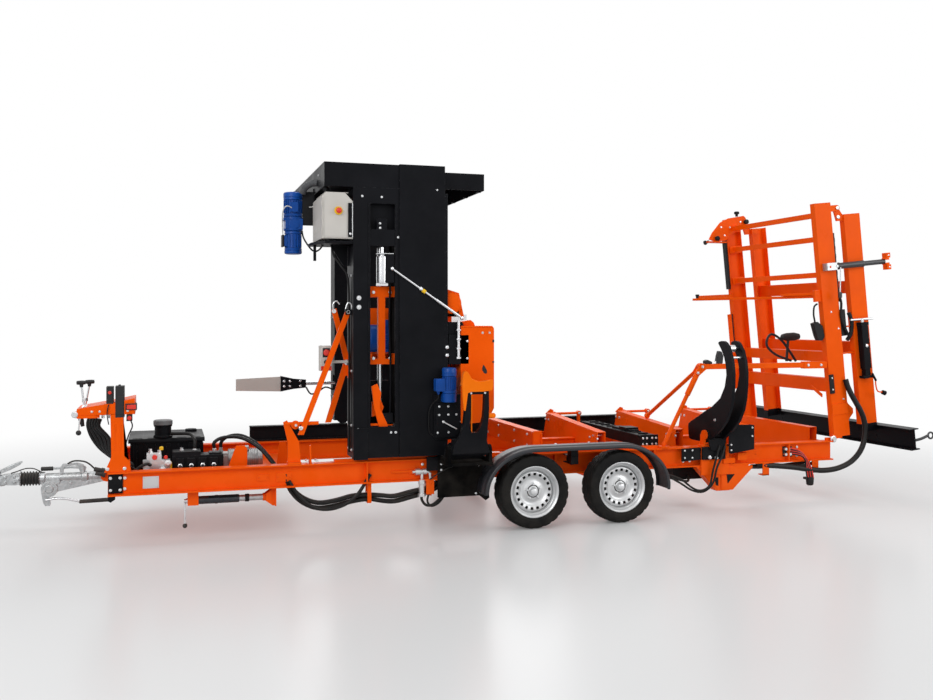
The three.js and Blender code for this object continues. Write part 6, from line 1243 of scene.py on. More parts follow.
door_frame.make("door_fold", "door", cabinet_grey, slot="cabinet_door", bevel=0.001)
(Piece().block(-1.206, -1.1765, -0.8695, -0.8655, 2.176, 2.425)
 .make("door_seal", "door", black_coat, slot="cabinet_door", bevel=0.001))
door_lock = Piece()
door_lock.block(-1.1765, -1.1715, -0.8695, -0.8655, 2.176, 2.425)
door_lock.stepped((-1.19, -0.869, 2.2), NEAR, (0.009, 0.004), (0.006, 0.009), sides=20)
door_lock.make("door_locks", "door", bright_steel, bevel=0.0005)
stop_x, stop_z = -1.395 + 0.228 * 0.52, 2.165 + 0.336 * 0.6
stop_ring = Piece()
stop_ring.turned(
    (stop_x, -0.866, stop_z), NEAR,
    [(-0.002, 0.029), (0.0055, 0.031), (0.008, 0.029), (0.009, 0.016), (0.009, 0)], 32)
stop_ring.make("stop_ring", "door", yellow_plastic, slot="cabinet_door", bevel=0)
(Piece().turned(
    (stop_x, -0.872, stop_z), NEAR,
    [(-0.012, 0.01), (0.01, 0.012), (0.012, 0.02), (0.018, 0.021), (0.024, 0.018), (0.0285, 0.01),
     (0.0295, 0)], 32)
 .make("stop_mushroom", "button", red_plastic, "stop_button", bevel=0, angle=60))
cabinet_cables = Piece()
for k in range(3):
    x = -1.35 + 0.05 * k
    cabinet_cables.stepped((x, -0.7, 2.166), DOWN, (0.014, 0.01), (0.009,), sides=12)
cabinet_cables.tube(
    [(-1.35, -0.7, 2.15), (-1.38, -0.66, 2.1), (-1.4, -0.56, 2.09), (-1.42, -0.45, 2.12),
     (-1.46, -0.38, 2.2), (-1.47, -0.34, 2.27)], 0.013, 8)
cabinet_cables.tube(
    [(-1.3, -0.7, 2.15), (-1.29, -0.72, 2.06), (-1.24, -0.74, 1.98), (-1.19, -0.75, 1.9),
     (-1.178, -0.75, 1.75)], 0.016, 8)
cabinet_cables.tube(
    [(-1.178, -0.75, 1.75), (-1.176, -0.75, 1.3), (-1.178, -0.75, 0.9), (-1.176, -0.745, 0.6)], 0.016, 8)
cabinet_cables.make("cabinet_cables", "gantry", hose_black, bevel=0, angle=60)

# Gear motors: cast blue housings with cooling ribs, fan cowls and terminal boxes; the lift drive hangs from
# the header and the travel drive is bolted to the cover by a black plate.
motor_blue = coated(
    "motor_blue", (0.003, 0.066, 0.33, 1), 0.3, wear=0.3, bare=(0.1, 0.12, 0.2, 1), dust=0.15,
    radius=0.002, fine=350, height=0.2, tone=0.2, ior=1.3)
cowl_black = coated(
    "cowl_black", (0.01, 0.0105, 0.012, 1), 0.45, wear=0.3, dust=0.1, radius=0.002, ior=1.25)


def ribbed_motor(piece, base, axis, length, radius, ribs=22, rib=0.01):
    """A cast motor body: a barrel with ribs along it between two end shields."""
    ahead = Vector(axis).normalized()
    base = Vector(base)
    piece.turned(
        base, ahead, [(0, radius * 0.86), (0.003, radius * 0.98), (0.02, radius), (0.024, radius - rib)],
        36)
    piece.turned(base, ahead, [(0.022, radius - rib), (length - 0.022, radius - rib)], 36)
    piece.turned(
        base, ahead, [(length - 0.024, radius - rib), (length - 0.02, radius),
                      (length - 0.003, radius * 0.98), (length, radius * 0.86)], 36)
    side, up = across_of(ahead)
    for k in range(ribs):
        turn = math.tau * (k + 0.5) / ribs
        out = math.cos(turn) * side + math.sin(turn) * up
        across = ahead.cross(out) * 0.0016
        corners = []
        for along in (0.026, length - 0.026):
            for r in (radius - rib - 0.002, radius - 0.001):
                corners += [
                    base + along * ahead + out * r - across, base + along * ahead + out * r + across]
        piece.add(
            corners, [(0, 1, 3, 2), (4, 6, 7, 5), (0, 4, 5, 1), (2, 3, 7, 6), (0, 2, 6, 4), (1, 5, 7, 3)])


lift_x, lift_y = -1.535, -0.33
lift = Piece()
ribbed_motor(lift, (lift_x, lift_y, 2.366), UP, 0.15, 0.074)
lift.turned(
    (lift_x, lift_y, 2.2553), UP,
    [(0, 0.06), (0.004, 0.072), (0.02, 0.074), (0.022, 0.066), (0.085, 0.066), (0.088, 0.074),
     (0.108, 0.074), (0.111, 0.066)], 32)
lift.block(lift_x - 0.066, lift_x + 0.066, lift_y - 0.066, lift_y + 0.066, 2.27, 2.35)
for side in (-1, 1):
    lift.stepped((lift_x, lift_y + side * 0.06, 2.31), (0, side, 0), (0.04, 0.012), (0.03,), sides=24)
ribbed_motor(lift, (lift_x, lift_y, 2.105), UP, 0.15, 0.066, 18, 0.008)
lift.blocks(
    (lift_x - 0.074, lift_x - 0.04, lift_y - 0.04, lift_y + 0.03, 2.14, 2.22),
    (lift_x - 0.03, lift_x + 0.03, lift_y - 0.076, lift_y - 0.05, 2.4, 2.475))
lift.bolts(
    [(lift_x + 0.022 * i, lift_y - 0.076, z) for i in (-1, 1) for z in (2.408, 2.467)], NEAR, 0.006)
lift.turned(
    (lift_x, lift_y, 2.515), UP, [(0, 0.0745), (0.028, 0.0745), (0.036, 0.07), (0.0395, 0.06), (0.04, 0)],
    32)
lift.turned(
    (lift_x, lift_y, 2.106), DOWN,
    [(0, 0.0665), (0.016, 0.0665), (0.023, 0.061), (0.026, 0.05), (0.0265, 0)], 32)
lift.block(lift_x - 0.078, lift_x - 0.06, lift_y - 0.05, lift_y + 0.04, 2.335, 2.355)
lift.make("lift_gearmotor", "gantry", motor_blue, "lift_drive", bevel=0.001)
cowls = Piece()
cowls.blocks(
    (lift_x, -1.3785, lift_y - 0.0375, lift_y + 0.0375, 2.5453, 2.5612),
    (-1.3865, -1.3785, lift_y - 0.0375, lift_y + 0.0375, 2.5453, 2.5873),
    (-1.47, -1.3785, lift_y - 0.05, lift_y - 0.042, 2.3, 2.56),
    (-1.475, -1.468, lift_y - 0.05, lift_y + 0.05, 2.28, 2.36),
    (lift_x - 0.088, lift_x - 0.073, lift_y - 0.045, lift_y + 0.035, 2.135, 2.225))
cowls.make("lift_drive_brackets", "gantry", cowl_black, slot="lift_drive", bevel=0.001)
white_cable = coated("white_cable", (0.62, 0.62, 0.6, 1), 0.45, wear=0, dust=0.2, radius=0.001, fine=600)
(Piece().tube(
    [(lift_x - 0.02, lift_y - 0.078, 2.43), (lift_x - 0.06, lift_y - 0.085, 2.44),
     (lift_x - 0.085, lift_y - 0.06, 2.4), (lift_x - 0.085, lift_y - 0.03, 2.3),
     (lift_x - 0.08, lift_y - 0.02, 2.22)], 0.009, 8)
 .tube(
     [(-1.21, -0.6, 2.5), (-1.24, -0.56, 2.53), (-1.3, -0.5, 2.535), (-1.36, -0.44, 2.5),
      (-1.38, -0.39, 2.45), (-1.45, -0.37, 2.44)], 0.009, 8)
 .make("motor_cables_white", "gantry", white_cable, slot="stop_button", bevel=0, angle=60))
duct_grey = coated("duct_grey", (0.09, 0.093, 0.1, 1), 0.5, wear=0.1, dust=0.2, radius=0.002, fine=300)
duct = Piece()
duct_line = smooth_line(
    [Vector(p)
     for p in ((-1.3, -0.52, 2.503), (-1.302, -0.51, 2.56), (-1.34, -0.49, 2.605), (-1.4, -0.46, 2.615),
               (-1.455, -0.43, 2.585), (-1.475, -0.41, 2.54))], 10)
for k in range(len(duct_line) - 1):
    wide = 0.052 if k % 2 else 0.044
    duct.rod(duct_line[k], duct_line[k + 1], wide, 18)
duct.make("cable_duct", "gantry", duct_grey, slot="hose_bundle", bevel=0, angle=50)

travel_x, travel_y = -0.462, -0.9403
travel = Piece()
ribbed_motor(travel, (travel_x, travel_y, 1.03), UP, 0.15, 0.054, 20, 0.008)
travel.turned(
    (travel_x, travel_y, 0.964), UP, [(0, 0.044), (0.003, 0.052), (0.052, 0.054), (0.066, 0.054)], 30)
travel.blocks(
    (travel_x - 0.05, travel_x + 0.05, travel_y, -0.8863, 0.966, 1.018),
    (-0.568, -0.5, travel_y - 0.031, travel_y + 0.031, 1.047, 1.14),
    (-0.572, -0.564, travel_y - 0.034, travel_y + 0.034, 1.05, 1.137))
travel.stepped((-0.545, travel_y, 1.048), DOWN, (0.012, 0.014), (0.008, 0.024), sides=12)
travel.turned(
    (travel_x, travel_y, 1.178), UP,
    [(0, 0.0545), (0.032, 0.0545), (0.04, 0.05), (0.0435, 0.042), (0.044, 0)], 30)
travel.make("travel_gearmotor", "gantry", motor_blue, "travel_drive", bevel=0.001)
travel_black = Piece()
travel_black.plate(
    "y", [(-0.565, 0.7), (-0.545, 0.68), (-0.38, 0.68), (-0.359, 0.7), (-0.359, 1.016), (-0.565, 1.016)],
    -0.8863, -0.8703)
travel_black.plate(
    "y", [(-0.55, 0.7), (-0.4, 0.7), (-0.375, 0.74), (-0.375, 0.9), (-0.41, 0.955), (-0.55, 0.955)],
    -0.902, -0.886)
travel_black.make("travel_drive_plate", "gantry", black_coat, slot="travel_drive", bevel=0.0015)
travel_bolts = Piece()
travel_bolts.bolts(
    [(x, -0.902, z) for x,
     z in ((-0.528, 0.93), (-0.458, 0.93), (-0.528, 0.868), (-0.458, 0.868), (-0.396, 0.868),
           (-0.54, 0.735), (-0.455, 0.735))], NEAR, 0.013)
travel_bolts.rod((-0.5, -0.911, 0.8175), (-0.398, -0.922, 0.76), 0.01, 12)
travel_bolts.stepped((-0.497, -0.902, 0.8155), NEAR, (0.01, 0.006), (0.007, 0.014), sides=14)
travel_bolts.make("travel_drive_bolts", "gantry", zinc_bolt, bevel=0)
(Piece().tube(
    [(-0.545, travel_y, 1.026), (-0.548, travel_y + 0.005, 0.99), (-0.575, -0.905, 0.96),
     (-0.6, -0.885, 0.9), (-0.605, -0.882, 0.8), (-0.595, -0.878, 0.735), (-0.56, -0.877, 0.712)], 0.01,
    8)
 .make("travel_motor_cable", "gantry", hose_black, bevel=0, angle=60))

# Transport braces: two flat bars of orange steel that hold the gantry to the dog on the beam, with zinc
# plated hooks and pins; the hand box of grey plastic hangs beside them.
dress(orange_coat, "transport_brace", "transport_dog", "head_frame", "far_wheel_guard")
brace_parts = Piece()
brace_parts.stepped((-1.193, -0.787, 1.633), NEAR, (0.019, 0.006), (0.013, 0.02), sides=20)
brace_parts.tube(
    [(-1.212, -0.795, 1.655), (-1.195, -0.797, 1.7), (-1.17, -0.797, 1.69), (-1.165, -0.797, 1.655)],
    0.01, 8)
brace_parts.stepped((-1.537, -0.787, 0.79), NEAR, (0.015, 0.006), (0.011, 0.016), sides=20)
brace_parts.make("brace_pins", "brace", zinc_bolt, bevel=0)
second_brace = Piece()
second_brace.plate(
    "y", [(-1.3, 1.65), (-1.262, 1.662), (-1.165, 1.29), (-1.168, 1.16), (-1.195, 1.16), (-1.205, 1.27)],
    -0.7, -0.69)
second_brace.plate("y", [(-1.205, 1.27), (-1.168, 1.24), (-1.3, 0.815), (-1.345, 0.815)], -0.69, -0.68)
second_brace.block(-1.176, -1.166, -0.715, -0.675, 1.14, 1.32)
second_brace.make("second_brace", "gantry", orange_coat, slot="transport_brace")
(Piece().tube(
    [(-1.285, -0.706, 1.64), (-1.29, -0.708, 1.69), (-1.265, -0.708, 1.715), (-1.24, -0.706, 1.69)], 0.01,
    8)
 .stepped((-1.282, -0.702, 1.64), NEAR, (0.016, 0.008), sides=16)
 .stepped((-1.186, -0.702, 1.26), NEAR, (0.02, 0.012), (0.012,), sides=18)
 .make("second_brace_hook", "gantry", zinc_bolt, bevel=0))
dog_parts = Piece()
dog_parts.turned(
    (-1.575, -0.769, 0.815), NEAR, [(0, 0.03), (0.01, 0.032), (0.012, 0.02), (0.03, 0.018)], 24)
dog_parts.plate("x", [(-0.8, 0.5305), (-0.71, 0.5305), (-0.735, 0.66), (-0.765, 0.66)], -1.47, -1.46)
dog_parts.make("dog_boss", "bed", orange_coat, slot="transport_dog")
(Piece().bolts([(x, y, 0.5443) for x in (-1.49, -1.42) for y in (-0.788, -0.722)], UP, 0.018)
 .stepped((-1.575, -0.799, 0.815), NEAR, (0.01, 0.014))
 .make("dog_bolts", "bed", zinc_bolt, bevel=0))
hand_box = Piece()
hand_box.blocks((-1.39, -1.3, -0.745, -0.665, 1.2, 1.385), (-1.3, -1.166, -0.72, -0.69, 1.255, 1.275))
hand_box.make("hand_box", "gantry", cabinet_grey, bevel=0.004)
(Piece().turned((-1.345, -0.745, 1.335), NEAR, [(0, 0.022), (0.012, 0.024), (0.018, 0.018)], 24)
 .block(-1.385, -1.305, -0.748, -0.744, 1.205, 1.235)
 .make("hand_box_red", "gantry", red_plastic, bevel=0.001))
(Piece().turned((-1.345, -0.745, 1.265), NEAR, [(0, 0.018), (0.014, 0.017), (0.018, 0.012)], 18)
 .block(-1.372, -1.318, -0.746, -0.744, 1.3, 1.368)
 .make("hand_box_knob", "gantry", grip_black, bevel=0.001))

# Board support and cable across the bed in front of the towers: a light grey plate in a black clamp on a
# bright rod that runs to the far tower.
support = Piece()
support.plate("y", [(-1.897, 0.968), (-1.5, 0.955), (-1.5, 1.085), (-1.897, 1.068)], 0.655, 0.663)
support.make("board_plate", "gantry", cabinet_grey, bevel=0.001)
support = Piece()
support.plate(
    "y", [(-1.52, 0.955), (-1.41, 0.975), (-1.3, 0.985), (-1.3, 1.055), (-1.41, 1.065), (-1.52, 1.09)],
    0.645, 0.655)
support.plate("y", [(-1.52, 0.955), (-1.41, 0.975), (-1.41, 1.065), (-1.52, 1.09)], 0.663, 0.673)
support.block(-1.064, -1.04, 0.66, 0.76, 0.96, 1.09)
support.make("board_clamp", "gantry", black_coat, slot="far_tower")
(Piece().rod((-1.4, 0.66, 1.02), (-1.045, 0.66, 1.022), 0.03, 18)
 .bolts([(x, 0.645, z) for x in (-1.49, -1.44, -1.35) for z in (1, 1.045)], NEAR, 0.016)
 .make("board_rod", "gantry", bright_steel, bevel=0))
(Piece().tube(
    [(-1.3, 0.645, 0.99), (-1.26, 0.64, 0.93), (-1.2, 0.64, 0.945), (-1.13, 0.655, 0.985),
     (-1.055, 0.68, 0.96)], 0.014, 8)
 .make("board_cable", "gantry", hose_black, bevel=0, angle=60))

# Saw head: the orange frame that rides in the column, guards over the band wheels, the cast wheels with the
# blade, and the blue main motor behind them.
head_bolts = Piece()
for x, z in ((-1, 1.78), (-0.875, 1.78), (-1, 1.29), (-0.875, 1.29)):
    head_bolts.bolt((x, -0.78, z), NEAR, 0.018)
for y in (-0.82, -0.62, -0.42):
    for z in (1.45, 1.3):
        head_bolts.bolt((-0.35, y, z), FRONT, 0.014)
head_bolts.make("head_bolts", "saw_head", zinc_bolt, bevel=0)
guard_edge = [
    (-0.352, 1.53), (-0.115, 1.53), (-0.098, 1.526), (-0.089, 1.517), (-0.086, 1.5), (-0.086, 0.905),
    (-0.132, 0.815), (-0.15, 0.802), (-0.305, 0.79), (-0.352, 0.8)]
guard_inside = [
    (-0.348, 1.526), (-0.116, 1.526), (-0.101, 1.522), (-0.093, 1.514), (-0.09, 1.499), (-0.09, 0.906),
    (-0.135, 0.818), (-0.151, 0.806), (-0.304, 0.794), (-0.348, 0.804)]
guard_parts = Piece()
guard_parts.plate("y", guard_edge, -0.872, -0.868)
for k in range(len(guard_edge) - 1):
    wall = [guard_edge[k], guard_edge[k + 1], guard_inside[k + 1], guard_inside[k]]
    guard_parts.plate("y", wall, -0.868, -0.34)
band_y, band_z = 0.6, 1.215
mouth_sides, mouth_radius = 32, 0.046
rim, mouth = [], []
for k in range(mouth_sides):
    across, rise = math.cos(math.tau * k / mouth_sides), math.sin(math.tau * k / mouth_sides)
    reach = min(
        (0.268 if across < 0 else 0.26) / max(abs(across), 1e-6), (0.315 if rise > 0 else 0.415)
        / max(abs(rise), 1e-6))
    rim.append((-band_y + reach * across, band_z + reach * rise))
    mouth.append((-band_y + mouth_radius * across, band_z + mouth_radius * rise))
for k in range(mouth_sides):
    n = (k + 1) % mouth_sides
    guard_parts.plate("x", [rim[k], rim[n], mouth[n], mouth[k]], -0.352, -0.348)
guard_parts.block(-0.35, -0.1, -0.877, -0.871, 1.519, 1.53)
guard_parts.plate(
    "y", [(-0.345, 1.56), (-0.25, 1.575), (-0.225, 1.555), (-0.215, 1.53), (-0.345, 1.53)], -0.8, -0.74)
guard_parts.make("near_guard", "saw_head", orange_coat, "near_wheel_guard", bevel=0.0012)
# A dark teardrop plate on the near guard's face stands for a hole in it: painted shade of the guard's
# inside, not a part. Dark strips at the guard's front edge go with it.
(Piece().plate(
    "y", [(-0.172, 1.236), (-0.16, 1.222), (-0.146, 1.196), (-0.142, 1.176), (-0.152, 1.166),
          (-0.168, 1.172), (-0.18, 1.192), (-0.182, 1.212)], -0.8732, -0.8705)
 .blocks(
     (-0.1, -0.0855, -0.8738, -0.868, 1.405, 1.425), (-0.1, -0.0855, -0.8738, -0.868, 1.25, 1.262),
     (-0.0895, -0.0852, -0.868, -0.85, 1.26, 1.42))
 .make("guard_hole_painted_shade", "saw_head", grip_black, bevel=0))
(Piece().blocks(
    (-0.186, -0.17, -0.8745, -0.868, 1.47, 1.486), (-0.13, -0.114, -0.8745, -0.868, 1.47, 1.486))
 .make("guard_rivets", "saw_head", cabinet_grey, bevel=0.001))
box = Piece()
box.blocks((-0.445, -0.285, -0.872, -0.79, 1.24, 1.465), (-0.48, -0.443, -0.865, -0.8, 1.28, 1.4))
box.plate("y", [(-0.47, 1.465), (-0.3, 1.465), (-0.33, 1.56), (-0.44, 1.56)], -0.85, -0.8)
box.make("tension_box", "saw_head", black_coat, slot="near_cover", bevel=0.004)
tension = Piece()
tension.rod((-0.373, -0.885, 1.285), (-0.373, -0.885, 1.57), 0.022, 18)
tension.bolts([(x, -0.872, z) for x, z in ((-0.3, 1.285), (-0.3, 1.415))], NEAR, 0.013)
for z in (1.29, 1.36, 1.43, 1.5):
    tension.turned(
        (-0.373, -0.885, z), UP, [(-0.008, 0.014), (-0.006, 0.018), (0.006, 0.018), (0.008, 0.014)], 6)
for z in (1.31, 1.37):
    tension.stepped((-0.462, -0.865, z), NEAR, (0.014, 0.02), (0.009, 0.04))
tension.make("tension_spindle", "saw_head", bright_steel, bevel=0)
rounded_parts = Piece()
rounded_parts.turned(
    (-0.41, -0.8, 1.7), FAR, [(-0.03, 0.07), (-0.028, 0.078), (0.06, 0.078), (0.062, 0.07)], 30)
rounded_parts.plate(
    "y", [(-0.47, 1.6), (-0.3, 1.6), (-0.34, 1.78), (-0.44, 1.81), (-0.475, 1.74)], -0.79, -0.74)
rounded_parts.block(-0.46, -0.34, -0.79, -0.56, 1.6, 1.66)
rounded_parts.make("tension_bracket", "saw_head", orange_coat, slot="head_frame")
strut_top, strut_line = (-0.88, -0.88, 1.952), (0.545, -0.004, -0.37)
damper = Piece()
damper.turned(
    strut_top, strut_line,
    [(0, 0.006), (0.02, 0.006), (0.022, 0.0075), (0.4, 0.0075), (0.402, 0.0105), (0.62, 0.0105),
     (0.624, 0.007), (0.658, 0.007)], 16)
dark_steel = coated(
    "dark_steel", (0.055, 0.057, 0.06, 1), 0.34, metal=0.6, wear=0.3, bare=(0.4, 0.4, 0.4, 1), dust=0.1,
    radius=0.001, tone=0.2, slot="extension_jack")
damper.make("gas_strut", "saw_head", bright_steel, slot="extension_jack", bevel=0)
(Piece().ball(strut_top, 0.03, 16)
 .ball((-0.345, -0.884, 1.588), 0.03, 16)
 .turned(
     (-0.664, -0.881, 1.806), strut_line,
     [(-0.012, 0.0125), (-0.01, 0.016), (0.01, 0.016), (0.012, 0.0125)], 16)
 .make("gas_strut_ends", "saw_head", bright_steel, bevel=0, angle=60))
(Piece().turned(
    (-0.64, -0.881, 1.789), strut_line,
    [(-0.014, 0.0128), (-0.013, 0.0142), (0.013, 0.0142), (0.014, 0.0128)], 16)
 .make("gas_strut_tag", "saw_head", yellow_plastic, bevel=0))

# Band wheels: grey cast iron turned to a crowned rim, with six spokes, each on its shaft in the head; the
# ground steel band runs round both.
band_x = -0.18
cast_wheel = coated(
    "cast_wheel", (0.1, 0.1, 0.105, 1), 0.42, metal=0.5, wear=0.5, bare=(0.35, 0.35, 0.36, 1), dust=0.1,
    radius=0.003, fine=200, height=0.3)
blade_steel = coated(
    "blade_steel", (0.55, 0.56, 0.58, 1), 0.26, metal=0.95, wear=0.1, dust=0.05, radius=0.0005, tone=0.2,
    fine=120)
for name, side in (("near", -1), ("far", 1)):
    wheel = Piece()
    wheel.turned(
        (band_x, side * band_y, band_z), REAR,
        [(-0.025, 0.24), (-0.025, 0.257), (-0.0235, 0.2585), (0.0235, 0.2585), (0.025, 0.257),
         (0.025, 0.24), (0.006, 0.232), (0.006, 0.07), (0.03, 0.06), (0.034, 0.03), (0.034, 0.0265),
         (-0.034, 0.0265), (-0.034, 0.03), (-0.03, 0.06), (-0.006, 0.07), (-0.006, 0.232),
         (-0.025, 0.24)], 64)
    for k in range(6):
        across, rise = math.cos(math.tau * k / 6), math.sin(math.tau * k / 6)
        spoke = []
        for reach, half in ((0.062, 0.012), (0.234, 0.009)):
            for x in (band_x - 0.018, band_x + 0.018):
                for t in (-half, half):
                    spoke.append(
                        (x, side * band_y + reach * across - t * rise, band_z + reach * rise + t
                         * across))
        wheel.add(
            spoke, [(0, 1, 3, 2), (4, 6, 7, 5), (0, 4, 5, 1), (2, 3, 7, 6), (0, 2, 6, 4), (1, 5, 7, 3)])
    wheel.make(f"{name}_cast_wheel", f"{name}_wheel", cast_wheel, f"{name}_band_wheel", bevel=0)
dress(blade_steel, "saw_blade")
dress(bright_steel, "blade_guide")
main_y, main_z = 0.408, 1.416
main = Piece()
ribbed_motor(main, (-0.735, main_y, main_z), REAR, 0.27, 0.118, 34, 0.014)
main.blocks(
    (-0.68, -0.5, main_y - 0.115, main_y - 0.08, 1.3, 1.322),
    (-0.68, -0.5, main_y + 0.08, main_y + 0.14, 1.3, 1.322),
    (-0.67, -0.56, main_y - 0.055, main_y + 0.055, 1.525, 1.578))
main.turned(
    (-0.475, main_y, main_z), REAR,
    [(0, 0.11), (0.01, 0.112), (0.03, 0.09), (0.032, 0.045), (0.07, 0.04)], 32)
main.make("main_motor_body", "saw_head", motor_blue, "main_motor", bevel=0.001)
cowl = Piece()
cowl.turned(
    (-0.736, main_y, main_z), FRONT,
    [(0, 0.119), (0.055, 0.119), (0.065, 0.112), (0.069, 0.095), (0.069, 0)], 36)
cowl.make("main_motor_cowl", "saw_head", motor_blue, slot="main_motor", bevel=0.001)

# Front log loader: twin curved arms of black plate on a long pin in a bracket on the beam, with an orange
# saddle at their top; the bracket is bolted to the web with zinc bolts.
dress(matt_black_and_painted_shade, "front_loader_bracket")
loader = Piece()
loader.plate(
    "y", [(-0.378, 1.055), (-0.388, 0.93), (-0.398, 0.82), (-0.425, 0.73), (-0.474, 0.66), (-0.482, 0.6),
          (-0.2, 0.6), (-0.222, 0.69), (-0.214, 0.8), (-0.205, 0.92), (-0.206, 1.055), (-0.24, 1.055),
          (-0.243, 0.94), (-0.25, 0.86), (-0.272, 0.785), (-0.3, 0.752), (-0.335, 0.752), (-0.356, 0.785),
          (-0.348, 0.86), (-0.344, 0.95), (-0.344, 1.055)], -1.108, -1.06)
for x0 in (-0.378, -0.238):
    loader.plate("x", [(-1.06, 0.62), (-1, 0.6), (-1.03, 0.8), (-1.06, 1.05)], x0, x0 + 0.012)
loader_pin_y, loader_pin_z = -1.028, 0.612
loader.turned(
    (-0.484, loader_pin_y, loader_pin_z), REAR,
    [(0, 0.036), (0.003, 0.04), (0.289, 0.04), (0.292, 0.036)], 28)
loader.blocks((-0.36, -0.225, -1.105, -1.07, 1.03, 1.056), (-0.47, -0.21, -1.062, -1.012, 0.6, 0.7))
loader.make("loader_arms", "front_loader", black_coat, "front_loader_arm", bevel=0.004)
saddle = Piece()
saddle.plate(
    "y", [(-0.392, 1.205), (-0.372, 1.196), (-0.345, 1.15), (-0.31, 1.128), (-0.27, 1.124),
          (-0.225, 1.13), (-0.178, 1.138), (-0.176, 1.095), (-0.186, 1.058), (-0.25, 1.05),
          (-0.345, 1.05), (-0.372, 1.042), (-0.38, 0.98), (-0.39, 0.912), (-0.404, 0.916), (-0.412, 1),
          (-0.417, 1.1), (-0.408, 1.18)], -1.122, -1.11)
saddle.plate(
    "y", [(-0.392, 1.2), (-0.345, 1.148), (-0.27, 1.122), (-0.182, 1.134), (-0.19, 1.062),
          (-0.372, 1.052), (-0.412, 1.1)], -1.11, -1.052)
saddle.plate("x", [(-1.108, 0.7), (-1.085, 0.7), (-1.08, 1.05), (-1.108, 1.05)], -0.343, -0.336)
saddle.turned((-0.15, -1.085, 0.87), FRONT, [(0, 0.012), (0.01, 0.02), (0.055, 0.02)], 18)
# The saddle's coat is a lighter copy of the orange coat: painted light where the top of the loader catches
# the lamps.
saddle_painted_light_orange = coated(
    "saddle_painted_light_orange", (1, 0.185, 0.004, 1), 0.34, wear=0.3, bare=(0.5, 0.2, 0.06, 1), dust=0.05, tone=0.08,
    ior=1.15)
saddle.make("loader_saddle", "front_loader", saddle_painted_light_orange, slot="front_loader_bracket", bevel=0.006)
loader_bolts = Piece()
loader_bolts.bolts([(-0.345, -1.108, 1.04), (-0.238, -1.108, 1.04)], NEAR, 0.012)
loader_bolts.stepped((-0.192, loader_pin_y, loader_pin_z), REAR, (0.02, 0.008), (0.014,), sides=18)
loader_bolts.make("loader_bolts", "front_loader", zinc_bolt, bevel=0)
bracket_bolts = Piece()
for x, z in (
        (-0.185, 0.52), (-0.192, 0.47), (-0.19, 0.3), (-0.182, 0.262), (-0.215, 0.255), (-0.49, 0.49),
        (-0.49, 0.445)):
    bracket_bolts.bolt((x, -0.822, z), NEAR, 0.013)
bracket_bolts.make("bracket_bolts", "bed", zinc_bolt, bevel=0)
bracket_tail = Piece()
bracket_tail.plate(
    "y", [(-0.23, 0.36), (-0.11, 0.36), (-0.105, 0.215), (-0.135, 0.195), (-0.185, 0.235)], -0.82, -0.806)
bracket_tail.blocks((-0.175, -0.11, -0.82, -0.802, 0.36, 0.52), (-0.6, -0.5, -0.814, -0.8, 0.44, 0.545))
bracket_tail.plate(
    "y", [(-0.505, 0.535), (-0.19, 0.535), (-0.196, 0.6), (-0.215, 0.665), (-0.46, 0.665), (-0.49, 0.62)],
    -0.935, -0.925)
bracket_tail.make("bracket_tail", "bed", black_coat, slot="front_loader_bracket", bevel=0.003)

# Quick coupler of the loader's oil line: a zinc valve with its elbow on the beam, with two short hoses that
# loop down and go in behind the bracket.
coupler = Piece()
coupler.stepped(
    (-0.705, -0.785, 0.434), REAR, (0.012, 0.02), (0.026, 0.06), (0.019, 0.08), (0.024, 0.11), (0.014,),
    sides=12)
coupler.tube(
    [(-0.6, -0.785, 0.434), (-0.575, -0.785, 0.425), (-0.566, -0.785, 0.39), (-0.568, -0.785, 0.335)],
    0.02, 12)
coupler.stepped(
    (-0.632, -0.785, 0.42), DOWN, (0.012, 0.045), (0.028, 0.078), (0.022, 0.15), (0.03, 0.172), (0.012,),
    sides=14)
coupler.make("quick_coupler", "bed", zinc_bolt, slot="control_lever_1", bevel=0.001, angle=40)
coupler_hoses = Piece()
coupler_hoses.tube(
    [(-0.632, -0.785, 0.262), (-0.632, -0.785, 0.225), (-0.605, -0.79, 0.185), (-0.555, -0.792, 0.18),
     (-0.49, -0.79, 0.225), (-0.43, -0.785, 0.3), (-0.4, -0.775, 0.35)], 0.021, 12)
coupler_hoses.tube(
    [(-0.568, -0.785, 0.345), (-0.572, -0.787, 0.28), (-0.59, -0.79, 0.215), (-0.56, -0.788, 0.172),
     (-0.5, -0.782, 0.19), (-0.44, -0.775, 0.26), (-0.4, -0.768, 0.33)], 0.016, 10)
coupler_hoses.tube(
    [(-0.575, -0.806, 0.375), (-0.52, -0.822, 0.415), (-0.45, -0.835, 0.455), (-0.39, -0.83, 0.474)],
    0.01, 8)
coupler_hoses.make("coupler_hoses", "bed", hose_black, bevel=0, angle=60)
(Piece().blocks(
    (-0.72, -0.59, -0.776, web_face, 0.418, 0.45), (-0.86, -0.7, -0.77, web_face, 0.428, 0.446),
    (-0.655, -0.61, -0.772, web_face, 0.385, 0.42))
 .make("coupler_bracket", "bed", orange_coat, slot="near_beam", bevel=0.002))

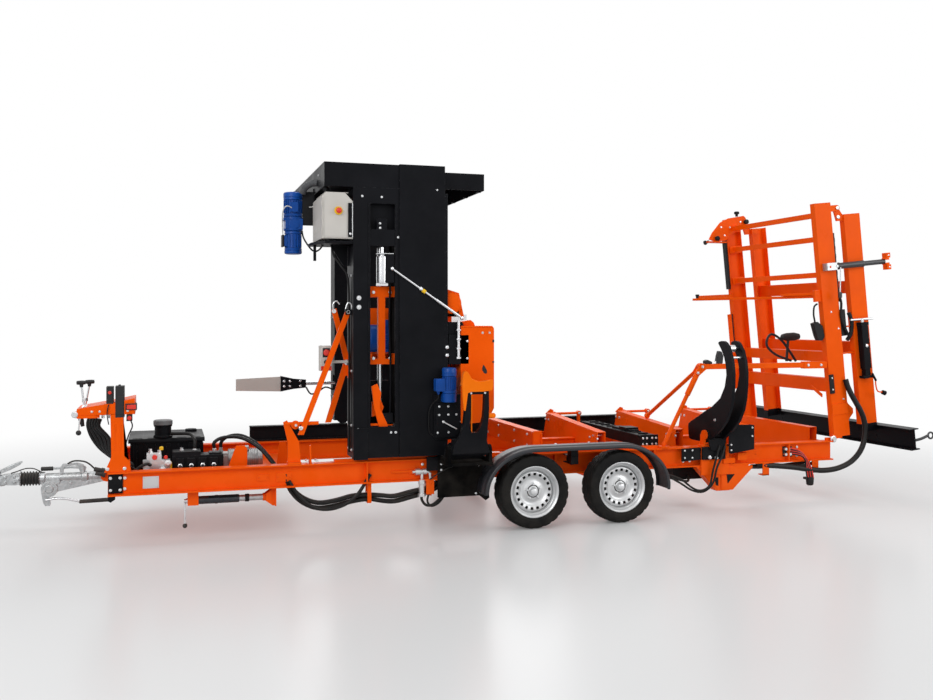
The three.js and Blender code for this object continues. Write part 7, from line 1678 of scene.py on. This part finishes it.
# Pressure hoses from the power pack to the loader: four fat rubber hoses that sag under the near beam, held
# in two straps.
run = [
    (-1.64, -0.735, 0.44), (-1.6, -0.73, 0.345), (-1.52, -0.728, 0.262), (-1.407, -0.728, 0.214),
    (-1.28, -0.728, 0.222), (-1.15, -0.728, 0.25), (-1.028, -0.728, 0.256), (-0.93, -0.728, 0.242),
    (-0.83, -0.728, 0.232), (-0.7, -0.728, 0.258), (-0.565, -0.728, 0.286), (-0.48, -0.73, 0.33)]
pressure = Piece()
for k, (dy, dz) in enumerate(
        ((-0.0155, 0.0155), (0.0155, 0.0155), (-0.0155, -0.0155), (0.0155, -0.0155))):
    pressure.tube(
        [(x, y + dy, z + dz * (1 if i in (6, 10) else 1.25)) for i, (x, y, z) in enumerate(run)], 0.03,
        14, 4)
pressure.tube(
    [(-1.62, -0.765, 0.41), (-1.55, -0.775, 0.3), (-1.45, -0.778, 0.215), (-1.34, -0.778, 0.19),
     (-1.22, -0.778, 0.215), (-1.12, -0.775, 0.285), (-1.05, -0.768, 0.385), (-1.02, -0.764, 0.43)],
    0.026, 12)
pressure.make("pressure_hoses", "bed", hose_black, "hose_bundle", bevel=0, angle=60)

# Rear log loader: two crescent horns cut from thick black plate on a cross tube over the beam's edge, with
# a black cover plate, a bolted strip and hoses beside it.
horn_shape = [
    (-0.972, 1.388), (-1.02, 1.335), (-1.06, 1.275), (-1.085, 1.205), (-1.092, 1.136), (-1.068, 1.041),
    (-1.001, 0.943), (-0.877, 0.865), (-0.76, 0.815), (-0.66, 0.765), (-0.56, 0.72), (-0.512, 0.694),
    (-0.505, 0.67), (-0.512, 0.6), (-0.525, 0.568), (-0.56, 0.56), (-0.8, 0.562), (-0.877, 0.605),
    (-1, 0.685), (-1.085, 0.765), (-1.145, 0.862), (-1.172, 0.957), (-1.184, 1.049), (-1.187, 1.155),
    (-1.172, 1.25), (-1.137, 1.332), (-1.085, 1.392), (-1.05, 1.406), (-1.015, 1.406), (-0.985, 1.4)]
horns = Piece()
for x0 in (1.796, 1.914):
    horns.plate("x", horn_shape, x0, x0 + 0.026)
horn_pin_y, horn_pin_z = -0.806, 0.628
horns.turned(
    (1.782, horn_pin_y, horn_pin_z), REAR, [(0, 0.032), (0.003, 0.035), (0.169, 0.035), (0.172, 0.032)],
    28)
horns.blocks((1.8, 1.936, -0.7, -0.66, 0.64, 0.735), (1.81, 1.925, -0.62, -0.56, 0.575, 0.625))
horns.make("horns", "rear_loader", black_coat, "rear_loader_horns", bevel=0.004)
(Piece().stepped((1.826, -1.055, 1.345), REAR, (0.014, 0.02), (0.03, 0.066), (0.014, 0.088), sides=18)
 .rod((1.826, -1.12, 1.275), (1.914, -1.12, 1.275), 0.02, 14)
 .bolts([(1.796, -0.8, 0.628), (1.796, -0.93, 0.76)], FRONT, 0.018)
 .make("horn_roller", "rear_loader", zinc_bolt, slot="control_lever_1", bevel=0.001))
cover = Piece()
cover.plate(
    "y", [(1.962, 0.715), (2.205, 0.7), (2.205, 0.5), (1.985, 0.47), (1.962, 0.48)], -0.872, -0.866)
cover.blocks((2.199, 2.205, -0.866, -0.798, 0.505, 0.7), (1.98, 2.2, -0.866, -0.798, 0.531, 0.539))
cover.plate("y", [(1.56, 0.52), (1.735, 0.525), (1.735, 0.425), (1.56, 0.415)], -0.814, -0.799)
cover.block(1.738, 1.955, -0.834, -0.8165, 0.425, 0.53)
cover.plate("y", [(1.78, 0.6), (1.955, 0.6), (1.93, 0.5), (1.81, 0.5)], -0.85, -0.834)
cover.make("loader_cover", "bed", black_coat, slot="front_loader_bracket", bevel=0.002)
cover_bolts = Piece()
cover_bolts.bolts(
    [(2.185, -0.872, 0.68), (2.185, -0.872, 0.61), (1.985, -0.872, 0.545), (1.985, -0.872, 0.5)], NEAR,
    0.012)
cover_bolts.bolts([(x, -0.814, z) for x in (1.585, 1.655) for z in (0.505, 0.445)], NEAR, 0.012)
for x, z, radius in ((1.8, 0.445, 0.016), (1.86, 0.44, 0.014)):
    cover_bolts.stepped((x, -0.834, z), NEAR, (radius, 0.012), (0.01, 0.026))
cover_bolts.make("loader_cover_bolts", "bed", zinc_bolt, bevel=0)
# Black plates on the face of the orange outrigger rib, where it has slots: painted shade in the slots, not
# parts. A black block under the bed goes with them.
slots = Piece()
slots.plate("y", [(1.868, 0.27), (1.905, 0.27), (1.905, 0.2), (1.885, 0.205)], -0.8065, -0.802)
slots.plate("y", [(1.985, 0.29), (2.06, 0.29), (1.995, 0.215)], -0.8065, -0.802)
slots.block(1.6, 1.88, -0.6, -0.45, 0.23, 0.36)
slots.make("outrigger_slot_shade", "bed", black_coat, slot="front_loader_bracket", bevel=0.001)
outrigger_parts = Piece()
outrigger_parts.plate(
    "y", [(1.735, 0.355), (2.235, 0.355), (2.235, 0.335), (2.045, 0.16), (1.905, 0.16), (1.735, 0.335)],
    -0.8015, -0.798)
outrigger_parts.blocks(
    (1.93, 1.94, -0.812, -0.8, 0.165, 0.35), (1.94, 2.05, -0.828, -0.816, 0.385, 0.43),
    (2.085, 2.175, -0.815, web_face, 0.405, 0.465))
outrigger_parts.make("outrigger_ribs", "bed", orange_coat, slot="near_beam", bevel=0.002)
(Piece().tube(
    [(1.4, -0.8, 0.33), (1.47, -0.805, 0.305), (1.56, -0.808, 0.268), (1.66, -0.81, 0.195),
     (1.74, -0.815, 0.172), (1.805, -0.835, 0.215), (1.825, -0.85, 0.33), (1.85, -0.858, 0.43),
     (1.885, -0.855, 0.54)], 0.017, 10)
 .tube(
     [(1.4, -0.79, 0.318), (1.47, -0.792, 0.285), (1.56, -0.795, 0.235), (1.66, -0.8, 0.175),
      (1.76, -0.812, 0.16), (1.835, -0.835, 0.23), (1.86, -0.856, 0.36), (1.905, -0.862, 0.455),
      (1.935, -0.856, 0.535)], 0.017, 10)
 .tube(
     [(1.405, -0.775, 0.345), (1.48, -0.76, 0.29), (1.58, -0.74, 0.255), (1.68, -0.7, 0.235),
      (1.74, -0.6, 0.26)], 0.02, 10)
 .make("loader_hoses", "bed", hose_black, bevel=0, angle=60))
hose_ends = Piece()
for place, aim in (
        ((1.335, -0.795, 0.372), (0.9, -0.05, -0.46)), ((1.335, -0.782, 0.352), (0.9, -0.05, -0.4)),
        ((1.345, -0.77, 0.38), (0.9, 0.05, -0.4))):
    hose_ends.stepped(place, aim, (0.01, 0.02), (0.014, 0.05), (0.01, 0.085), sides=12)
hose_ends.make("loader_hose_ends", "bed", zinc_bolt, slot="control_lever_1", bevel=0)

# Prop of the folded extension: two orange steel tubes that meet in a forked joint, with a flat bar back to
# the near post, all pinned.
dress(orange_coat, "extension_prop", "extension_frame")
prop = Piece()
prop.plates(
    "y", [(1.7, 1.135), (1.735, 1.115), (1.8, 1.165), (1.85, 1.172), (1.85, 1.206), (1.79, 1.212),
          (1.745, 1.205)], (-0.79, -0.78), (-0.736, -0.726))
prop.rod((1.64, -0.758, 0.958), (1.752, -0.758, 1.166), 0.046, 20)
prop.blocks((2.76, 2.99, -0.7845, -0.7315, 1.158, 1.218), (1.395, 1.44, -0.79, -0.726, 0.5305, 0.538))
prop.make("prop_joint", "bed", orange_coat, slot="extension_prop", bevel=0.002)
(Piece().bolts(
    [(1.765, -0.79, 1.188), (1.722, -0.79, 1.138), (2.8, -0.7845, 1.188), (2.93, -0.7845, 1.188)], NEAR,
    0.018)
 .rod((1.9, -0.758, 1.208), (1.955, -0.758, 1.275), 0.018, 12)
 .make("prop_bolts", "bed", zinc_bolt, bevel=0))
(Piece().plate(
    "y", [(1.8, 1.211), (1.865, 1.211), (1.862, 1.228), (1.82, 1.246), (1.798, 1.236)], -0.782, -0.734)
 .plate(
     "y", [(1.905, 1.211), (1.965, 1.211), (1.972, 1.275), (1.955, 1.312), (1.93, 1.318), (1.918, 1.28)],
     -0.778, -0.738)
 .make("prop_pads", "bed", grip_black, bevel=0.005))

# Folded bed extension: two ladder frames of welded box and channel, hinged on the beam ends and on each
# other, folded upright for the road; sprayed orange, its end rail black.


lean_cos, lean_sin = 0.99488, 0.10106
leaned_along, leaned_up = Vector((lean_cos, 0, lean_sin)), Vector((-lean_sin, 0, lean_cos))


def leaned(along, up):
    """Where a point of the upright frame is: along it and up it, from the hinge on the beam."""
    return 3.055 + along * lean_cos - up * lean_sin, 0.542 + along * lean_sin + up * lean_cos


def frame_plate(piece, along0, along1, up0, up1, y0, y1):
    """A block that leans with the upright frame."""
    piece.plate(
        "y", [leaned(along0, up0), leaned(along1, up0), leaned(along1, up1), leaned(along0, up1)], y0, y1)


# The end rail's coat: the same orange, black below a line that leans with the frame
rail_coat = coated(
    "rail_coat", (0.98, 0.104, 0.001, 1), 0.33, wear=0.4, bare=(0.4, 0.2, 0.1, 1), dust=0.06, tone=0.1,
    ior=1.15)
rail_tree = rail_coat.node_tree
rail_place = rail_tree.nodes.new("ShaderNodeTexCoord")
rail_height = node(rail_tree, "ShaderNodeSeparateXYZ", links={0: rail_place.outputs["Object"]})
rail_side = maths(rail_tree, "MULTIPLY", rail_height.outputs["X"], 0.101)
rail_line = maths(rail_tree, "SUBTRACT", rail_height.outputs["Z"], rail_side)
rail_mask = ramp(rail_tree, rail_line, 0.3235, 0.3225)
rail_shader = next(n for n in rail_tree.nodes if n.type == "BSDF_PRINCIPLED")
rail_ground = rail_shader.inputs["Base Color"].links[0].from_socket
rail_black = mixed_colour(rail_tree, rail_mask, rail_ground, (0.0062, 0.0066, 0.0085, 1))
rail_tree.links.new(rail_black, rail_shader.inputs["Base Color"])
dress(rail_coat, "extension_end_frame")

gusset = Piece()
gusset.plate(
    "y", [(2.665, 2.375), (2.7, 2.44), (2.79, 2.545), (2.88, 2.59), (3.06, 2.622), (3.085, 2.6),
          (3.09, 2.53), (3, 2.47), (2.9, 2.425), (2.86, 2.37), (2.74, 2.352)], 0.574, 0.588)
gusset.block(2.66, 2.86, 0.56, 0.654, 2.345, 2.357)
frame_plate(gusset, -0.05, 0.012, 0.35, 1.1, 0.6, 0.612)
frame_plate(gusset, -0.05, 0.012, 1.2, 1.3, -0.77, -0.74)
for up in (1.925, 1.716, 1.404):
    frame_plate(gusset, 0.03, 0.16, up - 0.012, up + 0.058, -0.726, -0.716)
    frame_plate(gusset, 0.03, 0.16, up - 0.012, up + 0.058, 0.58, 0.59)
frame_plate(gusset, 0.012, 0.177, 0.205, 0.3, -0.7935, -0.785)
gusset.plate(
    "y", [leaned(0.177, 0.3), leaned(0.177, 0.14), leaned(0.235, 0.2), leaned(0.235, 0.24)], -0.78,
    -0.764)
for up in (0.72, 0.95):
    frame_plate(gusset, 0.177, 0.3, up, up + 0.012, -0.77, -0.73)
gusset.plate("x", [(-0.7, 0.9), (-0.55, 0.975), (-0.55, 1), (-0.7, 0.93)], 3, 3.012)
arm_x = leaned(0.06, 1.235)[0]
gusset.plate(
    "z", [(arm_x - 0.06, -0.735), (arm_x - 0.02, -0.735), (arm_x - 0.055, -0.3), (arm_x - 0.43, 0.64),
          (arm_x - 0.48, 0.628), (arm_x - 0.12, -0.35)], 1.768, 1.79)
gusset.plate(
    "z", [(arm_x - 0.075, -0.735), (arm_x + 0.01, -0.735), (arm_x - 0.02, -0.38), (arm_x - 0.15, -0.34)],
    1.79, 1.812)
frame_plate(gusset, 0.012, 0.09, 1.235, 1.3, -0.726, -0.7)
gusset.make("extension_plates", "extension", orange_coat, slot="extension_frame", bevel=0.002)

knobs = Piece()
for x, z in ((2.745, 2.385), (3.075, 2.56)):
    knobs.turned(
        (x, 0.574, z), NEAR, [(0, 0.018), (0.012, 0.018), (0.014, 0.024), (0.034, 0.024), (0.038, 0.016)],
        16)
knobs.turned(
    (2.995, 0.6, 2.615), UP, [(0, 0.014), (0.022, 0.014), (0.024, 0.026), (0.045, 0.026), (0.05, 0.016)],
    16)
knobs.stepped((2.7, 0.64, 2.36), (-0.9, 0, -0.3), (0.014, 0.03), (0.022, 0.05), sides=14)
knobs.turned((2.56, 0.62, 1.8), UP, [(-0.02, 0.014), (0.01, 0.014), (0.012, 0.02), (0.03, 0.018)], 14)
frame_plate(knobs, 0.006, 0.05, 0.395, 0.56, -0.7985, -0.785)
frame_plate(knobs, -0.008, 0.004, 0.75, 1.1, 0.596, 0.645)
frame_plate(knobs, -0.008, 0.01, 1.35, 1.95, 0.596, 0.655)
frame_plate(knobs, 0.178, 0.196, 1.18, 1.78, -0.778, -0.752)
for k in range(8):
    frame_plate(knobs, 0.196, 0.2015, 1.2 + k * 0.072, 1.235 + k * 0.072, -0.774, -0.756)
frame_plate(knobs, 0.178, 0.235, 0.88, 1.11, -0.785, -0.745)
knobs.tube(
    [(2.925, -0.74, 1.715), (2.89, -0.745, 1.69), (2.882, -0.748, 1.62), (2.895, -0.748, 1.55),
     (2.885, -0.748, 1.46)], 0.016, 10)
knobs.plate(
    "y", [(2.862, 1.545), (2.905, 1.56), (2.955, 1.525), (2.975, 1.43), (2.955, 1.398), (2.915, 1.398),
          (2.895, 1.44)], -0.775, -0.725)
knobs.tube(
    [(3.115, -0.79, 1.78), (3.13, -0.795, 1.72), (3.128, -0.795, 1.6), (3.17, -0.8, 1.5),
     (3.215, -0.8, 1.42)], 0.022, 10)
knobs.tube(
    [(3.225, -0.77, 1.64), (3.255, -0.775, 1.56), (3.245, -0.775, 1.46), (3.21, -0.77, 1.4)], 0.034, 12)
knobs.make("extension_black_parts", "extension", cowl_black, slot="extension_jack", bevel=0.002)
frame_bolts = Piece()
for along, up in ((0.03, 0.43), (0.03, 0.53), (0.14, 0.335), (0.09, 1.1), (0.15, 0.95)):
    x, z = leaned(along, up)
    frame_bolts.bolt((x, -0.7985 if along < 0.05 else -0.785, z), NEAR, 0.012)
for x, z in ((2.8, 2.5), (2.9, 2.5), (3.02, 2.56), (2.84, 2.42)):
    frame_bolts.bolt((x, 0.574, z), NEAR, 0.014)
for up in (2.0195, 1.94):
    x, z = leaned(0.241, up - 0.0275)
    frame_bolts.stepped((x, -0.785, z), NEAR, (0.017, 0.01), (0.011,))
x, z = leaned(0, 0)
frame_bolts.turned((x, -0.785, z), NEAR, [(0, 0.03), (0.006, 0.03), (0.008, 0.02), (0.022, 0.018)], 20)
frame_bolts.make("extension_bolts", "extension", zinc_bolt, bevel=0)

# Log stop handle: a round black steel rod bent over the low rungs of the extension and welded on, with
# a swollen grip of moulded rubber pushed on.
handle = Piece()
handle.tube(
    [(2.98, -0.3, 1.205), (2.82, -0.3, 1.26), (2.725, -0.3, 1.34), (2.735, -0.3, 1.42),
     (2.79, -0.3, 1.445), (2.9, -0.3, 1.37), (3.03, -0.3, 1.2)], 0.022, 12)
handle.turned(
    (2.87, -0.3, 1.42), (0.95, 0, 0.03),
    [(0, 0.01), (0.015, 0.026), (0.06, 0.036), (0.14, 0.038), (0.19, 0.026), (0.2, 0.008)], 18)
handle.rod((2.93, -0.3, 1.2), (2.95, -0.3, 1.42), 0.024, 12)
handle.make("stop_handle", "extension", grip_black, slot="extension_jack", bevel=0)

# Rear support leg, folded up on the near post: a galvanised socket pinned to the post, a black steel sleeve
# with a thin inner tube, and a forked orange foot bolted to its end.
leg_root = Vector((2.978, -0.816, 2.0319))
socket = Piece()
socket.plate("y", [(2.95, 1.998), (3.052, 2.008), (3.046, 2.073), (2.944, 2.062)], -0.847, -0.785)
socket.stepped(leg_root + leaned_along * 0.07 - Vector((0, 0.031, 0)), NEAR, (0.014, 0.004))
socket.rod((3.078, -0.852, 2.03), (3.066, -0.86, 1.8), 0.011, 10)
socket.make("leg_socket", "rear_leg", galvanised, slot="control_lever_1", bevel=0.003)
sleeve = Piece()
sleeve.turned(
    leg_root, leaned_along,
    [(0.075, 0.022), (0.08, 0.031), (0.11, 0.031), (0.114, 0.027), (0.34, 0.027), (0.344, 0.03),
     (0.362, 0.03), (0.366, 0.022), (0.585, 0.022), (0.588, 0.016)], 24)
sleeve.turned(
    (3.066, -0.86, 1.8), DOWN, [(-0.016, 0.01), (-0.012, 0.017), (0.03, 0.017), (0.036, 0.01)], 14)
sleeve.make("leg_sleeve", "rear_leg", dark_steel, bevel=0)
foot = Piece()
for up in (-1, 1):
    end = leg_root + leaned_along * 0.586
    side = leaned_up * up
    points = [
        end + leaned_along * out + side * rise for out,
        rise in ((0, 0.012), (0.036, 0.012), (0.036, 0.03), (0.05, 0.03), (0.05, 0.074), (0.008, 0.074),
                 (0.008, 0.03), (0, 0.028))]
    foot.plate("y", [(p.x, p.z) for p in points], -0.845, -0.787)
foot.make("leg_foot", "rear_leg", orange_coat, "extension_leg", bevel=0.003)
(Piece().bolts(
    [tuple(leg_root + leaned_along * 0.615 + Vector((0, -0.029, 0)) + leaned_up * up)
     for up in (-0.052, 0.052)], NEAR, 0.011)
 .make("leg_foot_bolts", "rear_leg", zinc_bolt, bevel=0))

# Jack on the end frame: a black box tube that swings on a pin, with a zinc T-handle on its screw, a foot
# plate and an orange crank rod with its knob.
low_box, high_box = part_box("extension_jack")
jack_mid = Vector(((low_box[0] + high_box[0]) / 2 + 0.012, -0.818, 1.352))


def jack_at(along, up, y):
    """A point of the jack: along and up its own axes from its pin."""
    p = jack_mid + leaned_along * along + leaned_up * up
    return p.x, y, p.z


jack = Piece()
for half, up0, up1, y0, y1 in (
        (0.033, -0.2, 0.205, -0.851, -0.788), (0.038, 0.18, 0.205, -0.856, -0.788),
        (0.025, -0.265, -0.195, -0.843, -0.793), (0.05, -0.283, -0.262, -0.851, -0.788)):
    outline = [
        (jack_at(a, u, 0)[0], jack_at(a, u, 0)[2]) for a,
        u in ((-half, up0), (half, up0), (half, up1), (-half, up1))]
    jack.plate("y", outline, y0, y1)
jack.tube(
    [jack_at(0.03, -0.245, -0.855), jack_at(0.052, -0.3, -0.862), jack_at(0.058, -0.31, -0.862)], 0.02,
    10)
jack.turned(
    jack_at(0.115, -0.42, -0.862), (0.9, 0, -0.3),
    [(-0.005, 0.01), (0, 0.019), (0.03, 0.021), (0.036, 0.012)], 16)
jack.make("jack_body", "jack", black_coat, "extension_jack", bevel=0.003)
tee = Piece()
tee.rod(jack_at(-0.12, 0.236, -0.818), jack_at(0.115, 0.228, -0.818), 0.019, 16)
tee.rod(jack_at(0, 0.2, -0.818), jack_at(0, 0.236, -0.818), 0.03, 16)
tee.stepped(jack_at(0, 0, -0.851), NEAR, (0.015, 0.006), (0.009,))
tee.make("jack_tee", "jack", zinc_bolt, slot="control_lever_1", bevel=0)
(Piece().tube(
    [jack_at(0.056, -0.3, -0.862), jack_at(0.052, -0.345, -0.862), jack_at(0.066, -0.405, -0.862),
     jack_at(0.118, -0.42, -0.862)], 0.012, 10, 3)
 .make("jack_crank", "jack", orange_coat, slot="extension_frame", bevel=0, angle=60))

# End rail's fittings: zinc bolts along its web, which hold the rail on the frame, and the forged eye bolt
# screwed into its near end.
rail_parts = Piece()
x, z = 3.56, 0.566
for y in (-1.14, -1.02, -0.92, -0.74, 0.1, 0.6, 0.9, 1.1):
    rail_parts.bolt(
        (x - 0.001, y, z + (0.03 if y < -1.1 or 0 < y < 0.5 else -0.012)), (-1, 0, 0.1), 0.012)
rail_parts.tube([(3.552, -1.19, 0.56), (3.6, -1.212, 0.576), (3.655, -1.228, 0.603)], 0.024, 12)
turns = [math.tau * k / 12 for k in range(13)]
rail_parts.tube(
    [(3.655 + 0.026 * (1 - math.cos(turn)), -1.228 - 0.002 * turn / math.tau, 0.603 + 0.026
      * math.sin(turn)) for turn in turns], 0.016, 10, 2)
rail_parts.make("rail_eye", "end_frame", dark_steel, bevel=0)

# Hoses at the rear: one fat rubber hose from the frame round the hinge to the beam, and a bundle of thin
# red and black ones from the terminals on the web to the hook below.
feed = Piece()
feed.tube(
    [(3.17, -0.8, 1.06), (3.182, -0.812, 1), (3.205, -0.832, 0.93), (3.245, -0.85, 0.85),
     (3.29, -0.858, 0.77), (3.318, -0.86, 0.69), (3.325, -0.86, 0.6), (3.305, -0.86, 0.5),
     (3.255, -0.858, 0.415), (3.17, -0.855, 0.345), (3.05, -0.848, 0.3), (2.92, -0.835, 0.285),
     (2.79, -0.815, 0.296), (2.65, -0.8, 0.318), (2.5, -0.79, 0.335), (2.38, -0.78, 0.345),
     (2.3, -0.76, 0.352)], 0.046, 16, 5)
feed = feed.make("rear_hose", None, hose_black, bevel=0, angle=60)
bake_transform(feed)
(Piece().tube(
    [(2.26, -0.74, 0.338), (2.4, -0.745, 0.335), (2.6, -0.75, 0.33), (2.8, -0.75, 0.325),
     (2.9, -0.74, 0.345)], 0.03, 12)
 .tube([(2.1, -0.7, 0.34), (2.35, -0.71, 0.318), (2.6, -0.712, 0.33), (2.86, -0.715, 0.35)], 0.024, 12)
 .make("beam_hoses", "bed", hose_black, bevel=0, angle=60))
for name, finish, rows in (("red_hoses", red_plastic, (0, 2, 4)), ("black_hoses", hose_black, (1, 3, 5))):
    bundle = Piece()
    for k in rows:
        step = k * 0.0095
        bundle.tube(
            [(2.585 + step * 0.5, web_face - 0.004, 0.478 - step * 1.1),
             (2.62 + step * 0.5, -0.79, 0.48 - step * 1.1),
             (2.69 + step * 0.3, -0.818 - step * 0.2, 0.458 - step * 0.9),
             (2.745 - step * 0.1, -0.828, 0.4 - step * 0.7),
             (2.79 - step * 0.9, -0.832 + step * 0.2, 0.315),
             (2.812 - step * 1.1, -0.832 + step * 0.3, 0.245),
             (2.818 - step * 0.8, -0.828 + step * 0.4, 0.215)], 0.0125, 8)
    bundle.make(name, "bed", finish, slot="hose_bundle", bevel=0, angle=60)
(Piece().plate(
    "y", [(2.555, 0.495), (2.65, 0.492), (2.65, 0.405), (2.56, 0.41)], web_face - 0.008, web_face)
 .turned((2.795, -0.812, 0.218), DOWN, [(-0.014, 0.03), (0, 0.034), (0.05, 0.03), (0.058, 0.018)], 16)
 .block(2.775, 2.815, -0.815, -0.745, 0.205, 0.225)
 .make("hose_socket", "bed", cowl_black, slot="hose_bundle", bevel=0.003))
terminals = Piece()
for z in (0.475, 0.43):
    for x in (2.575, 2.62):
        terminals.stepped((x, web_face - 0.008, z), NEAR, (0.012, 0.022), sides=12)
terminals.make("hose_terminals", "bed", bare_plate, slot="control_lever_1", bevel=0)

low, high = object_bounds()
{"cad": [list(cad_low), list(cad_high)], "visual": [list(low), list(high)]}
